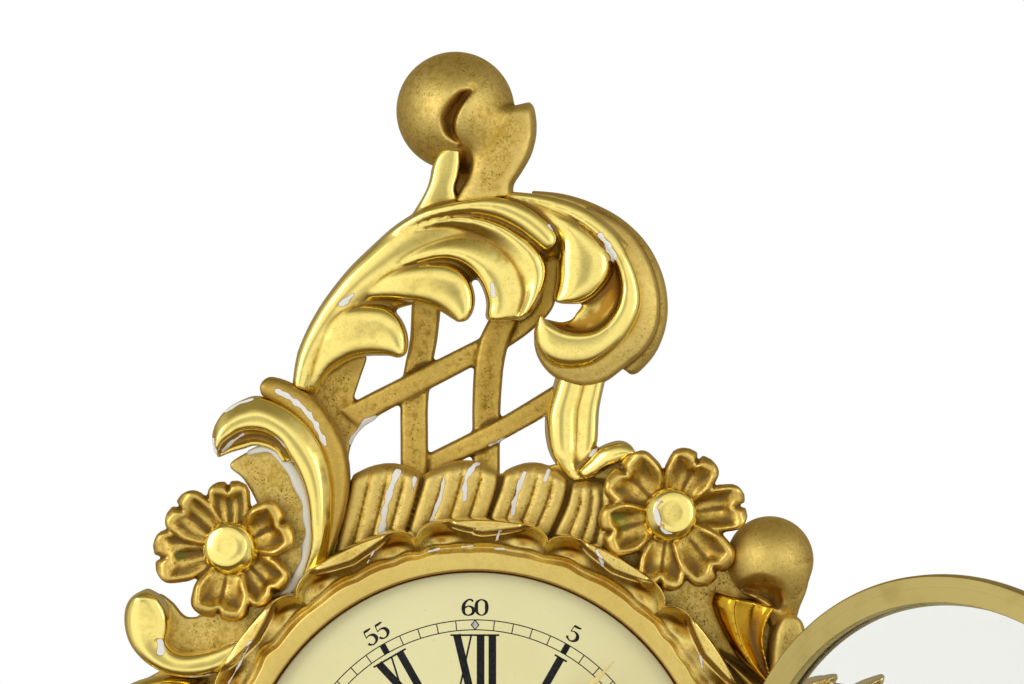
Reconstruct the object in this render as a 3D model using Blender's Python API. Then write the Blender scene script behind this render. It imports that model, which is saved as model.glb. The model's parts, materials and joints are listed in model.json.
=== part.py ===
"""Carved giltwood wall clock: a pierced rococo case, a glazed door on a side hinge, an enamel dial and
an eight-day spring movement with a short pendulum.

Sizes are in millimetres. The origin is on the wall plane, on the axis of the hands. +X is to the right,
+Z is up and the front faces -Y, so a depth is measured from the wall towards the front.
"""

import math
from typing import NamedTuple

import bmesh
import bpy
from mathutils import Matrix, Vector

MM = 0.001
FIT = 0.3
WELD = 0.004 * MM

# Case in depth, from the wall forward
COVER_THICK = 1.5
DRUM_DEPTH = 38.2
DRUM_LAP = 10.0
DRUM_WALL = 8.0
BOARD_THICK = 11.7
BOARD_LEDGE = 19.0
BOARD_TOP_Z = 112.0
BACKING_THICK = 4.7
OPENWORK_THICK = 8.0
HANGER_RISE = 17.0
HANGER_HOLE_R = 4.0
HANGER_POCKET = 6.0

# Dial and the ruffled moulding round it
DIAL_SIGHT_R = 85.0
DIAL_LAP = 6.0
DIAL_THICK = 1.2
DIAL_RISE = 6.0
DIAL_SEAT = 6.2
DIAL_HOLE_R = 5.0
DIAL_FOOT_R = 2.0
DIAL_FOOT_ORBIT = 46.0
LIP_THICK = 5.2
SEAT_WIDTH = 9.8
RUFFLE_COUNT = 13
RUFFLE_WALL = 3.9
RUFFLE_REACH = 7.3
RUFFLE_NOTCH = 5.5
RUFFLE_RISE = 9.0
RUFFLE_TURN = 2.0

# Door
BEZEL_LAP = 5.8
BEZEL_WIDTH = 10.8
BEZEL_WALL = 4.2
BEZEL_DEPTH = 8.7
BEZEL_LIP = 2.2
GLASS_THICK = 1.5
GLASS_RISE = 12.0
HINGE_GAP = 3.4
HINGE_RISE = 8.0
HINGE_KNUCKLE_R = 1.9
HINGE_PIN_R = 0.9
HINGE_HALF_HEIGHT = 9.0
DOOR_OPEN_DEG = 139.7
KNOB_R = 2.4
KNOB_LENGTH = 7.0

# Hands
MINUTE_HAND_LENGTH = 72.0
HOUR_HAND_LENGTH = 49.0
HAND_THICK = 0.9
MINUTES_PAST_TEN = 7.225

# Movement
PLATE_R = 56.0
PLATE_THICK = 2.0
PLATE_SPACE = 24.0
BACK_PLATE_DEPTH = 16.0
PILLAR_R = 3.0
PILLAR_ORBIT = 51.0
PIVOT_R = 0.6
ARBOR_R = 1.3
WHEEL_THICK = 1.4
TOOTH_TIP = 0.7
TOOTH_ROOT = 1.3
BARREL_MODULE = 1.25
SECOND_MODULE = 0.83
CENTRE_MODULE = 0.68
THIRD_MODULE = 0.45
MOTION_DISTANCE = 14.4
BARREL_TEETH = 36
SECOND_PINION = 6
SECOND_TEETH = 48
CENTRE_PINION = 6
CENTRE_TEETH = 60
THIRD_PINION = 6
THIRD_TEETH = 72
ESCAPE_PINION = 6
ESCAPE_TEETH = 36
CANNON_TEETH = 8
MINUTE_TEETH = 24
MINUTE_PINION = 6
HOUR_TEETH = 24
BARREL_DROP = 34.0
BARREL_DEPTH = 12.5
BARREL_ARBOR_R = 2.2
THIRD_TURN = 55.0
ESCAPE_R = 13.0
PALLET_SPAN = 37.5
PALLET_CLEAR = 1.0
RATCHET_TEETH = 20
RATCHET_R = 8.0
CENTRE_ARBOR_R = 1.0
CANNON_PIPE_R = 2.0
HOUR_PIPE_R = 3.2
WINDING_SQUARE = 3.2

# Pendulum
PENDULUM_LENGTH = 172.5
PENDULUM_DEPTH = 8.0
ROD_R = 1.2
BOB_R = 20.0
BOB_THICK = 9.0
NUT_R = 4.0
NUT_HEIGHT = 5.0
DRUM_SLOT_HALF = 16.0

# Carved balls and flowers
FINIAL_AT = (-8.5, 255.5)
FINIAL_R = 21.0
FINIAL_DEPTH = 50.0
RIGHT_BALL_AT = (109.0, 89.0)
RIGHT_BALL_R = 15.2
RIGHT_BALL_RISE = 3.0
PETAL_WIDTH = 7.6
BOSS_R = 8.6
BOSS_RISE = 8.0
LEFT_FLOWER_AT = (-88.0, 95.0)
LEFT_PETALS = ((93, 25), (141, 25), (188, 25), (257, 24), (319, 21), (31, 21))
RIGHT_FLOWER_AT = (70.0, 106.5)
RIGHT_PETALS = ((137, 26), (65, 26), (10, 27), (-49, 27), (-101, 25), (195, 25))

# Depths that follow from the sizes above
DRUM_BACK = COVER_THICK + FIT
BOARD_BACK = DRUM_BACK + DRUM_DEPTH + FIT
BOARD_FRONT = BOARD_BACK + BOARD_THICK
RELIEF_BACK = BOARD_FRONT + FIT
RELIEF_FRONT = RELIEF_BACK + BACKING_THICK
SCROLL_BACK = RELIEF_FRONT + FIT
DIAL_EDGE = RELIEF_BACK + DIAL_SEAT
LIP_BACK = DIAL_EDGE + DIAL_RISE * (1 - (DIAL_SIGHT_R / (DIAL_SIGHT_R + DIAL_LAP)) ** 2) + FIT
SEAT_FRONT = LIP_BACK + LIP_THICK
SEAT_R = DIAL_SIGHT_R + SEAT_WIDTH
RUFFLE_ROOT_R = SEAT_R + RUFFLE_WALL
RUFFLE_R = RUFFLE_ROOT_R + RUFFLE_REACH
DIAL_R = DIAL_SIGHT_R + DIAL_LAP
BOARD_HOLE_R = DIAL_R - BOARD_LEDGE
DRUM_R = BOARD_HOLE_R + DRUM_LAP
HANGER_Z = DRUM_R + HANGER_RISE
RUFFLE_FRONT = SEAT_FRONT + RUFFLE_RISE
BEZEL_BACK = SEAT_FRONT + FIT
BEZEL_FRONT = BEZEL_BACK + BEZEL_DEPTH
BEZEL_R = DIAL_SIGHT_R + BEZEL_LAP
BEZEL_SIGHT_R = BEZEL_R - BEZEL_WIDTH
HINGE_X = BEZEL_R + HINGE_GAP
HINGE_DEPTH = SEAT_FRONT + HINGE_RISE
FRONT_PLATE_BACK = BACK_PLATE_DEPTH + PLATE_THICK + PLATE_SPACE
FRONT_PLATE_FRONT = FRONT_PLATE_BACK + PLATE_THICK
BACK_PLATE_FRONT = BACK_PLATE_DEPTH + PLATE_THICK
DIAL_FRONT = DIAL_EDGE + DIAL_RISE
HOUR_HAND_DEPTH = DIAL_FRONT + 1.2
MINUTE_HAND_DEPTH = HOUR_HAND_DEPTH + HAND_THICK + 1.4

ROUND = (0.0, 0.75, 1.0, 0.75, 0.0)
GROOVED = (0.0, 1.0, 0.55, 0.95, 0.0)
ROLLED = (0.35, 1.0, 0.55, 0.2, 0.0)
FLUTED = (0.0, 1.0, 0.2, 1.0, 0.2, 1.0, 0.0)
TIP_RUN = 0.3

GILT = (0.83, 0.55, 0.16)
MATTE_GILT = (0.66, 0.46, 0.18)
BRASS = (0.80, 0.60, 0.25)
STEEL = (0.55, 0.56, 0.58)
ENAMEL = (0.90, 0.87, 0.77)
GLASS = (0.85, 0.90, 0.90)
PINE = (0.45, 0.30, 0.16)


class Lobe(NamedTuple):
    """A carved leaf lobe between two edge curves that run from its root to its tip."""

    outer: tuple
    inner: tuple
    back: float
    edge: float
    crown: float
    section: tuple = ROUND
    bow: float = 0.0


class Gear(NamedTuple):
    """A toothed wheel or pinion: its centre, tooth count, module and the angle of one tooth."""

    centre: tuple
    teeth: int
    module: float
    phase: float

    @property
    def pitch_r(self):
        """Pitch radius."""
        return self.teeth * self.module / 2

    @property
    def root_r(self):
        """Radius at the bottom of the teeth."""
        return self.pitch_r - TOOTH_ROOT * self.module

    def outline(self):
        """Points of the toothed edge."""
        points = []
        for tooth in range(self.teeth):
            turn = self.phase + 2 * math.pi * tooth / self.teeth
            points.append(polar(self.centre, self.pitch_r + TOOTH_TIP * self.module, turn))
            points.append(polar(self.centre, self.root_r, turn + math.pi / self.teeth))
        return points


def point(x, z, depth):
    """World position, in metres, of a place given in millimetres."""
    return Vector((x, -depth, z)) * MM


def polar(centre, radius, turn):
    """The place at a radius and an angle, in radians from +X towards +Z, round a centre."""
    return (centre[0] + radius * math.cos(turn), centre[1] + radius * math.sin(turn))


def ring_points(centre, radius, count, start=0.0):
    """A circle as points."""
    return [polar(centre, radius, start + 2 * math.pi * k / count) for k in range(count)]


def to_object(name, mesh_data):
    """Closes a bmesh into a new scene object."""
    bmesh.ops.remove_doubles(mesh_data, verts=mesh_data.verts[:], dist=0.001 * MM)
    bmesh.ops.recalc_face_normals(mesh_data, faces=mesh_data.faces[:])
    mesh = bpy.data.meshes.new(name)
    mesh_data.to_mesh(mesh)
    mesh_data.free()
    obj = bpy.data.objects.new(name, mesh)
    bpy.context.scene.collection.objects.link(obj)
    return obj


def prism(loops, back, front):
    """A flat piece: an outline and its holes, carried from one depth to another."""
    mesh_data = bmesh.new()
    edges = []
    for loop in loops:
        verts = [mesh_data.verts.new(point(x, z, back)) for x, z in loop]
        edges += [mesh_data.edges.new((verts[k - 1], verts[k])) for k in range(len(verts))]
    bmesh.ops.triangle_fill(mesh_data, edges=edges, use_beauty=True, use_dissolve=False)
    grown = bmesh.ops.extrude_face_region(mesh_data, geom=mesh_data.faces[:])
    moved = [item for item in grown["geom"] if isinstance(item, bmesh.types.BMVert)]
    bmesh.ops.translate(mesh_data, verts=moved, vec=(0, (back - front) * MM, 0))
    return to_object("prism", mesh_data)


def lathe(profile, segments, centre=(0.0, 0.0)):
    """A turned piece about an axis along Y: the profile holds (radius, depth) pairs."""
    mesh_data = bmesh.new()
    verts = [mesh_data.verts.new(point(centre[0] + r, centre[1], depth)) for r, depth in profile]
    spin(mesh_data, verts, profile, segments, point(centre[0], centre[1], 0.0), (0, 1, 0))
    return to_object("lathe", mesh_data)


def lathe_upright(profile, segments, x, depth):
    """A turned piece about an upright axis: the profile holds (radius, height) pairs."""
    mesh_data = bmesh.new()
    verts = [mesh_data.verts.new(point(x + r, z, depth)) for r, z in profile]
    spin(mesh_data, verts, profile, segments, point(x, 0.0, depth), (0, 0, 1))
    return to_object("lathe", mesh_data)


def spin(mesh_data, verts, profile, segments, centre, axis):
    """Turns a closed profile round an axis; an edge that lies on the axis is left out."""
    edges = []
    for k in range(len(verts)):
        if profile[k - 1][0] > 0 or profile[k][0] > 0:
            edges.append(mesh_data.edges.new((verts[k - 1], verts[k])))
    bmesh.ops.spin(
        mesh_data, geom=verts + edges, cent=centre, axis=axis, angle=2 * math.pi, steps=segments
    )


def rod(centre, radius, back, front, segments=12):
    """A plain cylinder along Y."""
    return lathe([(0, back), (radius, back), (radius, front), (0, front)], segments, centre)


def block(x0, x1, z0, z1, back, front):
    """A plain rectangular block."""
    return prism([[(x0, z0), (x1, z0), (x1, z1), (x0, z1)]], back, front)


def curve_through(points, steps):
    """Points of a smooth curve through the given ones, with so many steps between each two."""
    ends = [points[0]] + list(points) + [points[-1]]
    curve = []
    for k in range(1, len(ends) - 2):
        a, b, c, d = (Vector(ends[k + shift]) for shift in (-1, 0, 1, 2))
        for step in range(steps):
            t = step / steps
            bend = (2 * a - 5 * b + 4 * c - d) * t * t + (3 * b - a - 3 * c + d) * t * t * t
            curve.append(0.5 * (2 * b + (c - a) * t + bend))
    return curve + [Vector(points[-1])]


def solid_from_grid(rows, back):
    """Closes a grid of front points with walls down to a flat back."""
    mesh_data = bmesh.new()
    front = [[mesh_data.verts.new(point(x, z, depth)) for x, z, depth in row] for row in rows]
    for upper, lower in zip(front, front[1:]):
        for k in range(len(upper) - 1):
            mesh_data.faces.new((upper[k], upper[k + 1], lower[k + 1], lower[k]))
    rim = list(front[0]) + [row[-1] for row in front[1:-1]] + list(reversed(front[-1]))
    rim += [row[0] for row in reversed(front[1:-1])]
    base = [mesh_data.verts.new((v.co.x, -back * MM, v.co.z)) for v in rim]
    for k in range(len(rim)):
        mesh_data.faces.new((rim[k - 1], rim[k], base[k], base[k - 1]))
    mesh_data.faces.new(base)
    return to_object("carving", mesh_data)


def loft(lobe, steps):
    """Lofts a lobe's section along its two edges, thinning towards a pointed tip."""
    outer = curve_through(lobe.outer, steps)
    inner = curve_through(lobe.inner, steps)
    axis = (outer[-1] + inner[-1] - outer[0] - inner[0]).normalized()
    last = len(outer) - 1
    pointed = (outer[-1] - inner[-1]).length < FIT
    rows = []
    for k in range(last + 1):
        run = k / last
        swell = math.sqrt(min(1.0, (1 - run) / TIP_RUN)) if pointed else 1.0
        row = []
        for column, rise in enumerate(lobe.section):
            across = column / (len(lobe.section) - 1)
            place = outer[k].lerp(inner[k], across)
            place = place + axis * lobe.bow * 4 * across * (1 - across) * run * run
            row.append((place.x, place.y, lobe.edge + lobe.crown * rise * swell))
        rows.append(row)
    return solid_from_grid(rows, lobe.back)


def petal(centre, turn, reach, back):
    """A cupped petal with a notched tip and a groove down its middle."""
    rows = []
    for run, width in ((0.14, 0.55), (0.5, 0.95), (0.85, 1.0), (1.0, 0.65)):
        row = []
        for side in (-1.0, -0.5, 0.0, 0.5, 1.0):
            along = reach * run * (1 - 0.1 * (1 - abs(side)) * run**4)
            aside = PETAL_WIDTH * width * side
            x, z = polar(centre, along, turn)
            x += -math.sin(turn) * aside
            z += math.cos(turn) * aside
            depth = back + 3.0 + 3.2 * run * run + 2.2 * (abs(side) - 0.5 * abs(side) ** 3) * run
            row.append((x, z, depth))
        rows.append(row)
    return solid_from_grid(rows, back)


def boolean(target, tool, operation):
    """Applies one exact boolean to the target and removes the tool."""
    modifier = target.modifiers.new("boolean", "BOOLEAN")
    modifier.object = tool
    modifier.operation = operation
    modifier.solver = "EXACT"
    bpy.context.view_layer.update()
    graph = bpy.context.evaluated_depsgraph_get()
    mesh = bpy.data.meshes.new_from_object(target.evaluated_get(graph))
    target.modifiers.clear()
    target.data = mesh
    bpy.data.objects.remove(tool)
    return target


def join(*pieces):
    """One body made of pieces that run into each other."""
    whole = pieces[0]
    for piece in pieces[1:]:
        whole = boolean(whole, piece, "UNION")
    return whole


def cut(target, *tools):
    """A body with the tools' room taken out of it."""
    for tool in tools:
        target = boolean(target, tool, "DIFFERENCE")
    return target


def ball(centre, depth, radius, segments=16, rings=8):
    """A sphere."""
    profile = []
    for k in range(rings + 1):
        turn = math.pi * k / rings
        profile.append((radius * math.sin(turn) if 0 < k < rings else 0, depth - radius * math.cos(turn)))
    return lathe(profile, segments, centre)


def clean(mesh):
    """Welds the hair-thin facets that a boolean leaves and merges facets that lie in one plane."""
    mesh_data = bmesh.new()
    mesh_data.from_mesh(mesh)
    bmesh.ops.remove_doubles(mesh_data, verts=mesh_data.verts[:], dist=WELD)
    bmesh.ops.dissolve_degenerate(mesh_data, edges=mesh_data.edges[:], dist=WELD)
    bmesh.ops.dissolve_limit(
        mesh_data, verts=mesh_data.verts[:], edges=mesh_data.edges[:], angle_limit=math.radians(0.2)
    )
    bmesh.ops.triangulate(mesh_data, faces=mesh_data.faces[:])
    bmesh.ops.dissolve_degenerate(mesh_data, edges=mesh_data.edges[:], dist=WELD)
    bmesh.ops.recalc_face_normals(mesh_data, faces=mesh_data.faces[:])
    mesh_data.to_mesh(mesh)
    mesh_data.free()


def finish(obj, name, tint, metallic=0.0, roughness=0.5):
    """Names a finished piece and gives it its own material."""
    clean(obj.data)
    obj.name = name
    obj.data.name = name
    material = bpy.data.materials.new(name)
    material.use_nodes = True
    shader = material.node_tree.nodes["Principled BSDF"]
    shader.inputs["Base Color"].default_value = (*tint, 1.0)
    shader.inputs["Metallic"].default_value = metallic
    shader.inputs["Roughness"].default_value = roughness
    obj.data.materials.clear()
    obj.data.materials.append(material)
    return obj


def gilt(obj, name):
    """A burnished gilt piece."""
    return finish(obj, name, GILT, 0.9, 0.3)


def matte(obj, name):
    """A matt gilt piece."""
    return finish(obj, name, MATTE_GILT, 0.7, 0.55)


def brass(obj, name):
    """A brass piece."""
    return finish(obj, name, BRASS, 1.0, 0.35)


def steel(obj, name):
    """A steel piece."""
    return finish(obj, name, STEEL, 1.0, 0.35)


def mirrored(points):
    """The same curve on the other side of the hands' axis."""
    return tuple((-x, z) for x, z in points)


def moulding_room():
    """The room that carvings leave for the dial moulding."""
    step = RELIEF_FRONT + BACKING_THICK + FIT
    deep = RELIEF_BACK - 1.0
    far = RUFFLE_FRONT + GLASS_RISE
    inside = RUFFLE_ROOT_R + FIT
    outside = RUFFLE_R + FIT
    profile = [(0, deep), (inside, deep), (inside, step), (outside, step), (outside, far), (0, far)]
    return lathe(profile, 3 * RUFFLE_COUNT, (0.0, 0.0))


LEFT_SIDE = (
    (-50, BOARD_TOP_Z), (-49, 124), (-53, 137), (-61, 146), (-72, 150), (-84, 146), (-91, 140), (-92, 133),
    (-87, 124), (-83, 114), (-90, 106), (-99, 99), (-99, 89), (-97, 81), (-105, 76), (-118, 75),
    (-124, 66), (-120, 56), (-112, 50), (-125, 43), (-134, 28), (-137, 5), (-130, -24), (-114, -54),
    (-97, -80), (-82, -103), (-70, -120), (-80, -135), (-86, -156), (-79, -175), (-64, -186),
    (-54, -192), (-54, -212), (-50, -230), (-38, -241), (-24, -243), (-13, -262), (0, -279),
)
RIGHT_SIDE = (
    (13, -262), (24, -243), (38, -241), (50, -230), (54, -212), (54, -192), (64, -186), (79, -175),
    (86, -156), (80, -135), (70, -120), (82, -103), (97, -80), (114, -54), (130, -24), (137, 5),
    (142, 30), (145, 41), (133, 43), (120, 41),
    (110, 48), (113, 60), (117, 72), (121, 82), (120, 93), (113, 100), (104, 101), (96, 97),
    (87, 107), (81, 116), (73, 120), (65, 120), (57, 115), (50, BOARD_TOP_Z),
)


def frame_board():
    """The flat board that carries every carving, with the hole that the movement passes through."""
    outline = LEFT_SIDE + RIGHT_SIDE
    hole = ring_points((0.0, 0.0), BOARD_HOLE_R, 40)
    pocket = block(-7, 7, HANGER_Z - 7, HANGER_Z + 7, BOARD_BACK - 1, BOARD_BACK + HANGER_POCKET)
    matte(cut(prism([outline, hole], BOARD_BACK, BOARD_FRONT), pocket), "frame_board")


def dial_moulding():
    """The ring round the dial: a plain seat for the door and a ruffle of curled lobes outside it."""
    crest_r = (SEAT_R + RUFFLE_R) / 2 + 1.0
    mesh_data = bmesh.new()
    loops = []
    for k in range(3 * RUFFLE_COUNT):
        turn = math.radians(90 - RUFFLE_TURN) + 2 * math.pi * (k + 1.5) / (3 * RUFFLE_COUNT)
        lobe_r = RUFFLE_R - (RUFFLE_NOTCH if k % 3 == 0 else 0.0)
        sink = 2.5 if k % 3 == 0 else 0.0
        section = (
            (DIAL_SIGHT_R, LIP_BACK),
            (DIAL_SIGHT_R + 1.5, SEAT_FRONT),
            (SEAT_R, SEAT_FRONT),
            (SEAT_R + 3.5, SEAT_FRONT + RUFFLE_RISE / 2),
            (crest_r - sink / 2, RUFFLE_FRONT - sink),
            (lobe_r, RUFFLE_FRONT - 2.5 - sink),
            (lobe_r - 1.5, SEAT_FRONT + 1.5),
            (RUFFLE_ROOT_R, SEAT_FRONT - 1.0),
            (RUFFLE_ROOT_R, RELIEF_BACK),
            (DIAL_R + FIT, RELIEF_BACK),
            (DIAL_R + FIT, LIP_BACK),
        )
        loop = []
        for radius, depth in section:
            x, z = polar((0.0, 0.0), radius, turn)
            loop.append(mesh_data.verts.new(point(x, z, depth)))
        loops.append(loop)
    for k, loop in enumerate(loops):
        for j in range(len(loop)):
            mesh_data.faces.new((loops[k - 1][j - 1], loops[k - 1][j], loop[j], loop[j - 1]))
    gilt(to_object("moulding", mesh_data), "dial_moulding")


def shell_band():
    """Fluted scallops that rise from the moulding below the openwork."""
    base = prism(
        [[(-47, 80), (-46, 104), (-45.5, 118), (-33, 122), (-27, 122), (-19, 117.5), (-13, 122),
          (0, 123.5), (8, 119.5), (14.6, 122.5), (21, 123.5), (27, 122.5), (34, 117), (46.5, 116),
          (61, 87), (61, 70)]],
        RELIEF_BACK, RELIEF_FRONT - 0.5,
    )
    low = RELIEF_BACK + 2
    edge = RELIEF_FRONT
    scallops = (
        Lobe(((-47, 88), (-46, 106), (-45.5, 118.5)), ((-26.2, 96), (-20.7, 111.5), (-19.3, 119)),
             low, edge, 3.6, FLUTED, 5.5),
        Lobe(((-27, 94), (-20.5, 111.5), (-19, 119.2)), ((4.6, 100), (7.6, 115), (9, 121)),
             low + 0.2, edge + 0.4, 3.4, FLUTED, 5.5),
        Lobe(((4, 100), (7.4, 115), (8.8, 121)), ((27, 94), (32.6, 111.5), (33.8, 119)),
             low + 0.4, edge + 0.2, 3.6, FLUTED, 5.0),
        Lobe(((26, 94), (32.2, 111.5), (33.6, 118.4)), ((60.5, 87), (54, 104), (46.5, 116)),
             low + 0.6, edge + 0.1, 3.4, FLUTED, 1.0),
    )
    body = join(base, *(loft(scallop, 1) for scallop in scallops))
    matte(cut(body, moulding_room()), "shell_band")


def crest_openwork():
    """Woven straps and the web at their left, pierced through between the board and the crest."""
    front = BOARD_FRONT
    back = front - OPENWORK_THICK
    foot = BOARD_TOP_Z + FIT
    web = prism(
        [[(-50, foot), (-46.5, 118), (-47.5, 125.5), (-43, 138.5), (-46, 147), (-40, 163.5), (-50, 164),
          (-61, 158), (-60, 151), (-53, 143), (-48.7, 134), (-48, foot + 6), (-48.6, foot)]],
        back, front - 1.5,
    )
    straps = (
        Lobe(((-24, 184), (-25, 168), (-28, 148), (-28.5, foot)), ((-13, 184), (-13.5, 168), (-17, 148),
             (-17.5, foot)), back, front - 3.2, 2.0, (0.0, 1.0, 0.0)),
        Lobe(((5, 184), (-1, 162), (-2, 148), (-2, foot)), ((16, 184), (10, 162), (8.5, 148), (9, foot)),
             back + 0.3, front - 3.0, 2.0, (0.0, 1.0, 0.0)),
        Lobe(((-52, 137), (-28, 156), (0, 171), (24, 183)), ((-45, 130), (-22, 145.5), (4, 160.5),
             (26, 172)), back + 0.6, front - 2.8, 2.0, (0.0, 1.0, 0.0)),
        Lobe(((-26, 124), (-4, 137), (25, 153)), ((-22, 117), (0, 128.5), (25, 142.5)),
             back + 0.9, front - 2.9, 2.0, (0.0, 1.0, 0.0)),
    )
    sill = prism([[(-48, foot), (46, foot), (45, foot + 5), (-47, foot + 5)]], back + 1.2, front - 3.6)
    matte(join(web, sill, *(loft(strap, 1) for strap in straps)), "crest_openwork")


def crest_stem():
    """The grooved stem that holds the crest up at the right, standing on the openwork's sill."""
    back = BOARD_FRONT - OPENWORK_THICK
    foot = BOARD_TOP_Z + 5.0 + FIT
    shaft = Lobe(
        ((28, foot), (27, 128), (26, 137.5), (27, 146.5), (30, 157)),
        ((42.5, foot), (43, 127), (45, 134.5), (45.5, 144.5), (49, 157)),
        back, BOARD_FRONT - 1.0, 7.0, GROOVED,
    )
    body = loft(shaft, 2)
    clear = block(0, 80, foot - 20, 126.5, BOARD_FRONT - 0.6, RUFFLE_FRONT)
    under_crest = block(0, 80, 154.4, 170, BOARD_FRONT - 0.1, RUFFLE_FRONT)
    gilt(cut(body, clear, under_crest), "crest_stem")


def crest_leaf():
    """The burnished crest: a broad leaf of curling lobes and the leaf that cups the finial ball."""
    low = RELIEF_BACK
    base = Lobe(
        ((-67, 152.5), (-65.5, 166), (-56, 182), (-43, 199), (-27, 213.5), (-11, 221), (9, 224), (31, 221),
         (48, 213), (58.5, 201), (63, 186.5), (61.5, 172), (53, 161), (40.5, 155)),
        ((-58.5, 149.5), (-53.5, 160.5), (-45, 174), (-33, 188), (-16.5, 196), (2, 196), (18, 197),
         (36, 195), (45, 191), (48, 185), (46, 178), (40.5, 175), (33, 174.5), (26.5, 176)),
        low, low + 4.5, 1.5, (0.0, 1.0, 0.0),
    )
    lobes = (
        Lobe(((-63.5, 166.5), (-52.5, 179), (-43, 183), (-36, 183.5), (-29.5, 181), (-25.5, 175.5),
              (-24.5, 169.5), (-26.5, 165)),
             ((-58.5, 150.5), (-55.5, 155), (-49.5, 160), (-44, 163.5), (-39, 164.5), (-34.5, 165),
              (-30, 164.5), (-26.5, 165)), low + 0.7, low + 8, 7, ROLLED),
        Lobe(((-48, 183.5), (-41, 191), (-29.5, 197), (-16, 199.5), (-7, 198.5), (-1.5, 194), (0, 187),
              (-1.5, 180.5), (-4.5, 177)),
             ((-48, 181.5), (-41, 184), (-33, 185), (-25.5, 185), (-20, 184), (-15, 182.5), (-10.5, 180.5),
              (-7, 178), (-4.5, 177)), low + 0.9, low + 9, 8, ROLLED),
        Lobe(((-44.5, 191), (-32, 203), (-16, 208.5), (1, 208.5), (14, 203.5), (23, 197), (26.5, 191),
              (25.5, 184), (20, 178)),
             ((-44.5, 185.5), (-30, 197), (-14, 200.5), (-3, 198.5), (2.5, 192), (5, 184.5), (5, 179),
              (11, 177), (20, 178)), low + 1.1, low + 10, 8, ROLLED),
        Lobe(((-34, 203), (-20, 213), (-5.5, 217), (9, 216.5), (20, 213.5), (26.5, 209.5), (30, 205.5)),
             ((-34, 200.5), (-20, 207), (-5.5, 210), (9, 209), (18, 205), (23.5, 203), (30, 205.5)),
             low + 1.3, low + 13, 6, ROLLED),
        Lobe(((9, 222), (25.5, 218), (39.5, 208.5), (47.5, 200), (50.5, 194), (47, 186), (38, 182.5),
              (28.5, 184.5)),
             ((11, 217), (22, 212), (28, 206.5), (30, 200.5), (31.5, 196.5), (31.5, 192), (30, 187.5),
              (28.5, 184.5)), low + 1.5, low + 9, 6, ROLLED),
        Lobe(((5.5, 223.5), (31, 219.5), (48.5, 210.5), (58.5, 198.5), (63, 185), (61, 171.5), (52, 161),
              (40, 156.5), (29.5, 158.5), (23.5, 166.5), (23, 179)),
             ((9, 220), (31.5, 214), (45.5, 204.5), (51.5, 195.5), (53, 187.5), (50, 179.5), (43.5, 174.5),
              (36, 174), (30, 175.5), (26, 178), (23, 180)), low + 1.7, low + 8, 6, ROLLED),
        Lobe(((-8.5, 219), (-3.5, 227), (-2, 234.5), (-4, 242.5), (-7, 249.5), (-4.5, 256.5), (1, 261.5)),
             ((13.5, 220), (18.5, 231.5), (21.5, 239.5), (22.5, 247.5), (21.5, 256.5), (17, 257.5),
              (11, 259)), low - 4, low + 8, 10, GROOVED),
        Lobe(((-26, 212), (-20, 220.5), (-16.5, 229.5), (-14.5, 236), (-10.5, 240.5), (-6, 242)),
             ((-8, 214), (-6, 225), (-4, 231), (-3.5, 236), (-4, 239.5), (-6, 242)),
             low - 3.6, low + 9, 7, ROUND),
    )
    body = join(loft(base, 1), *(loft(lobe, 1) for lobe in lobes))
    gilt(cut(body, ball(FINIAL_AT, FINIAL_DEPTH, FINIAL_R + FIT)), "crest_leaf")


def crest_rim():
    """The matt rim that stands out behind the crest's curl."""
    rim = Lobe(
        ((20, 218), (38.5, 223.5), (53.5, 216), (64.5, 202.5), (70.5, 186.5), (70.5, 175.5), (67, 166),
         (60.5, 158.5)),
        ((26, 210), (36, 210), (46, 204), (53, 196), (57, 186), (57, 176), (55, 168), (54, 160)),
        BOARD_FRONT - OPENWORK_THICK, BOARD_FRONT - 2.0, 2.0, (0.2, 1.0, 1.0, 1.0, 1.0),
    )
    matte(loft(rim, 1), "crest_rim")


def carved_balls():
    """The ball on the crest, and the smaller one at the right shoulder."""
    finial = ball(FINIAL_AT, FINIAL_DEPTH, FINIAL_R)
    x, z = FINIAL_AT
    side = FINIAL_R + 1
    behind = FINIAL_DEPTH - FINIAL_R
    finial = cut(finial, block(x - side, x + side, z - side, z + side, behind - 1,
                               BOARD_FRONT - OPENWORK_THICK))
    matte(finial, "finial_ball")
    shoulder = ball(RIGHT_BALL_AT, SCROLL_BACK + RIGHT_BALL_RISE, RIGHT_BALL_R)
    x, z = RIGHT_BALL_AT
    side = RIGHT_BALL_R + 1
    under = SCROLL_BACK + RIGHT_BALL_RISE - RIGHT_BALL_R
    shoulder = cut(shoulder, block(x - side, x + side, z - side, z + side, under - 1, SCROLL_BACK))
    matte(shoulder, "right_ball")


def shoulder_backings():
    """The matt grounds behind the ornaments at the two shoulders."""
    left = [(-60, 70), (-48.5, 100), (-47.5, 112), (-47, 119), (-50.5, 134), (-58, 145), (-68, 152),
            (-78, 151), (-86, 146), (-92, 140), (-93, 133), (-91, 124), (-86.8, 120), (-82, 113),
            (-81, 108.6), (-91, 107), (-101, 99), (-100, 88), (-98, 82), (-106, 77), (-119, 77),
            (-126, 70), (-125.5, 62), (-120, 54.5), (-112, 50.5), (-102, 49), (-88, 52), (-70, 50)]
    right = [(63, 70), (63, 87.5), (48.5, 117.5), (57, 117), (65, 122), (74, 122), (83, 117), (88, 108),
             (95, 100), (102, 102.5), (112, 102), (120, 96), (122.5, 88), (121, 74), (120, 66),
             (115, 57), (109, 48), (98, 47), (80, 50)]
    for points, name in ((left, "left_backing"), (right, "right_backing")):
        body = prism([points], RELIEF_BACK, RELIEF_FRONT)
        matte(cut(body, moulding_room()), name)


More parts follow.
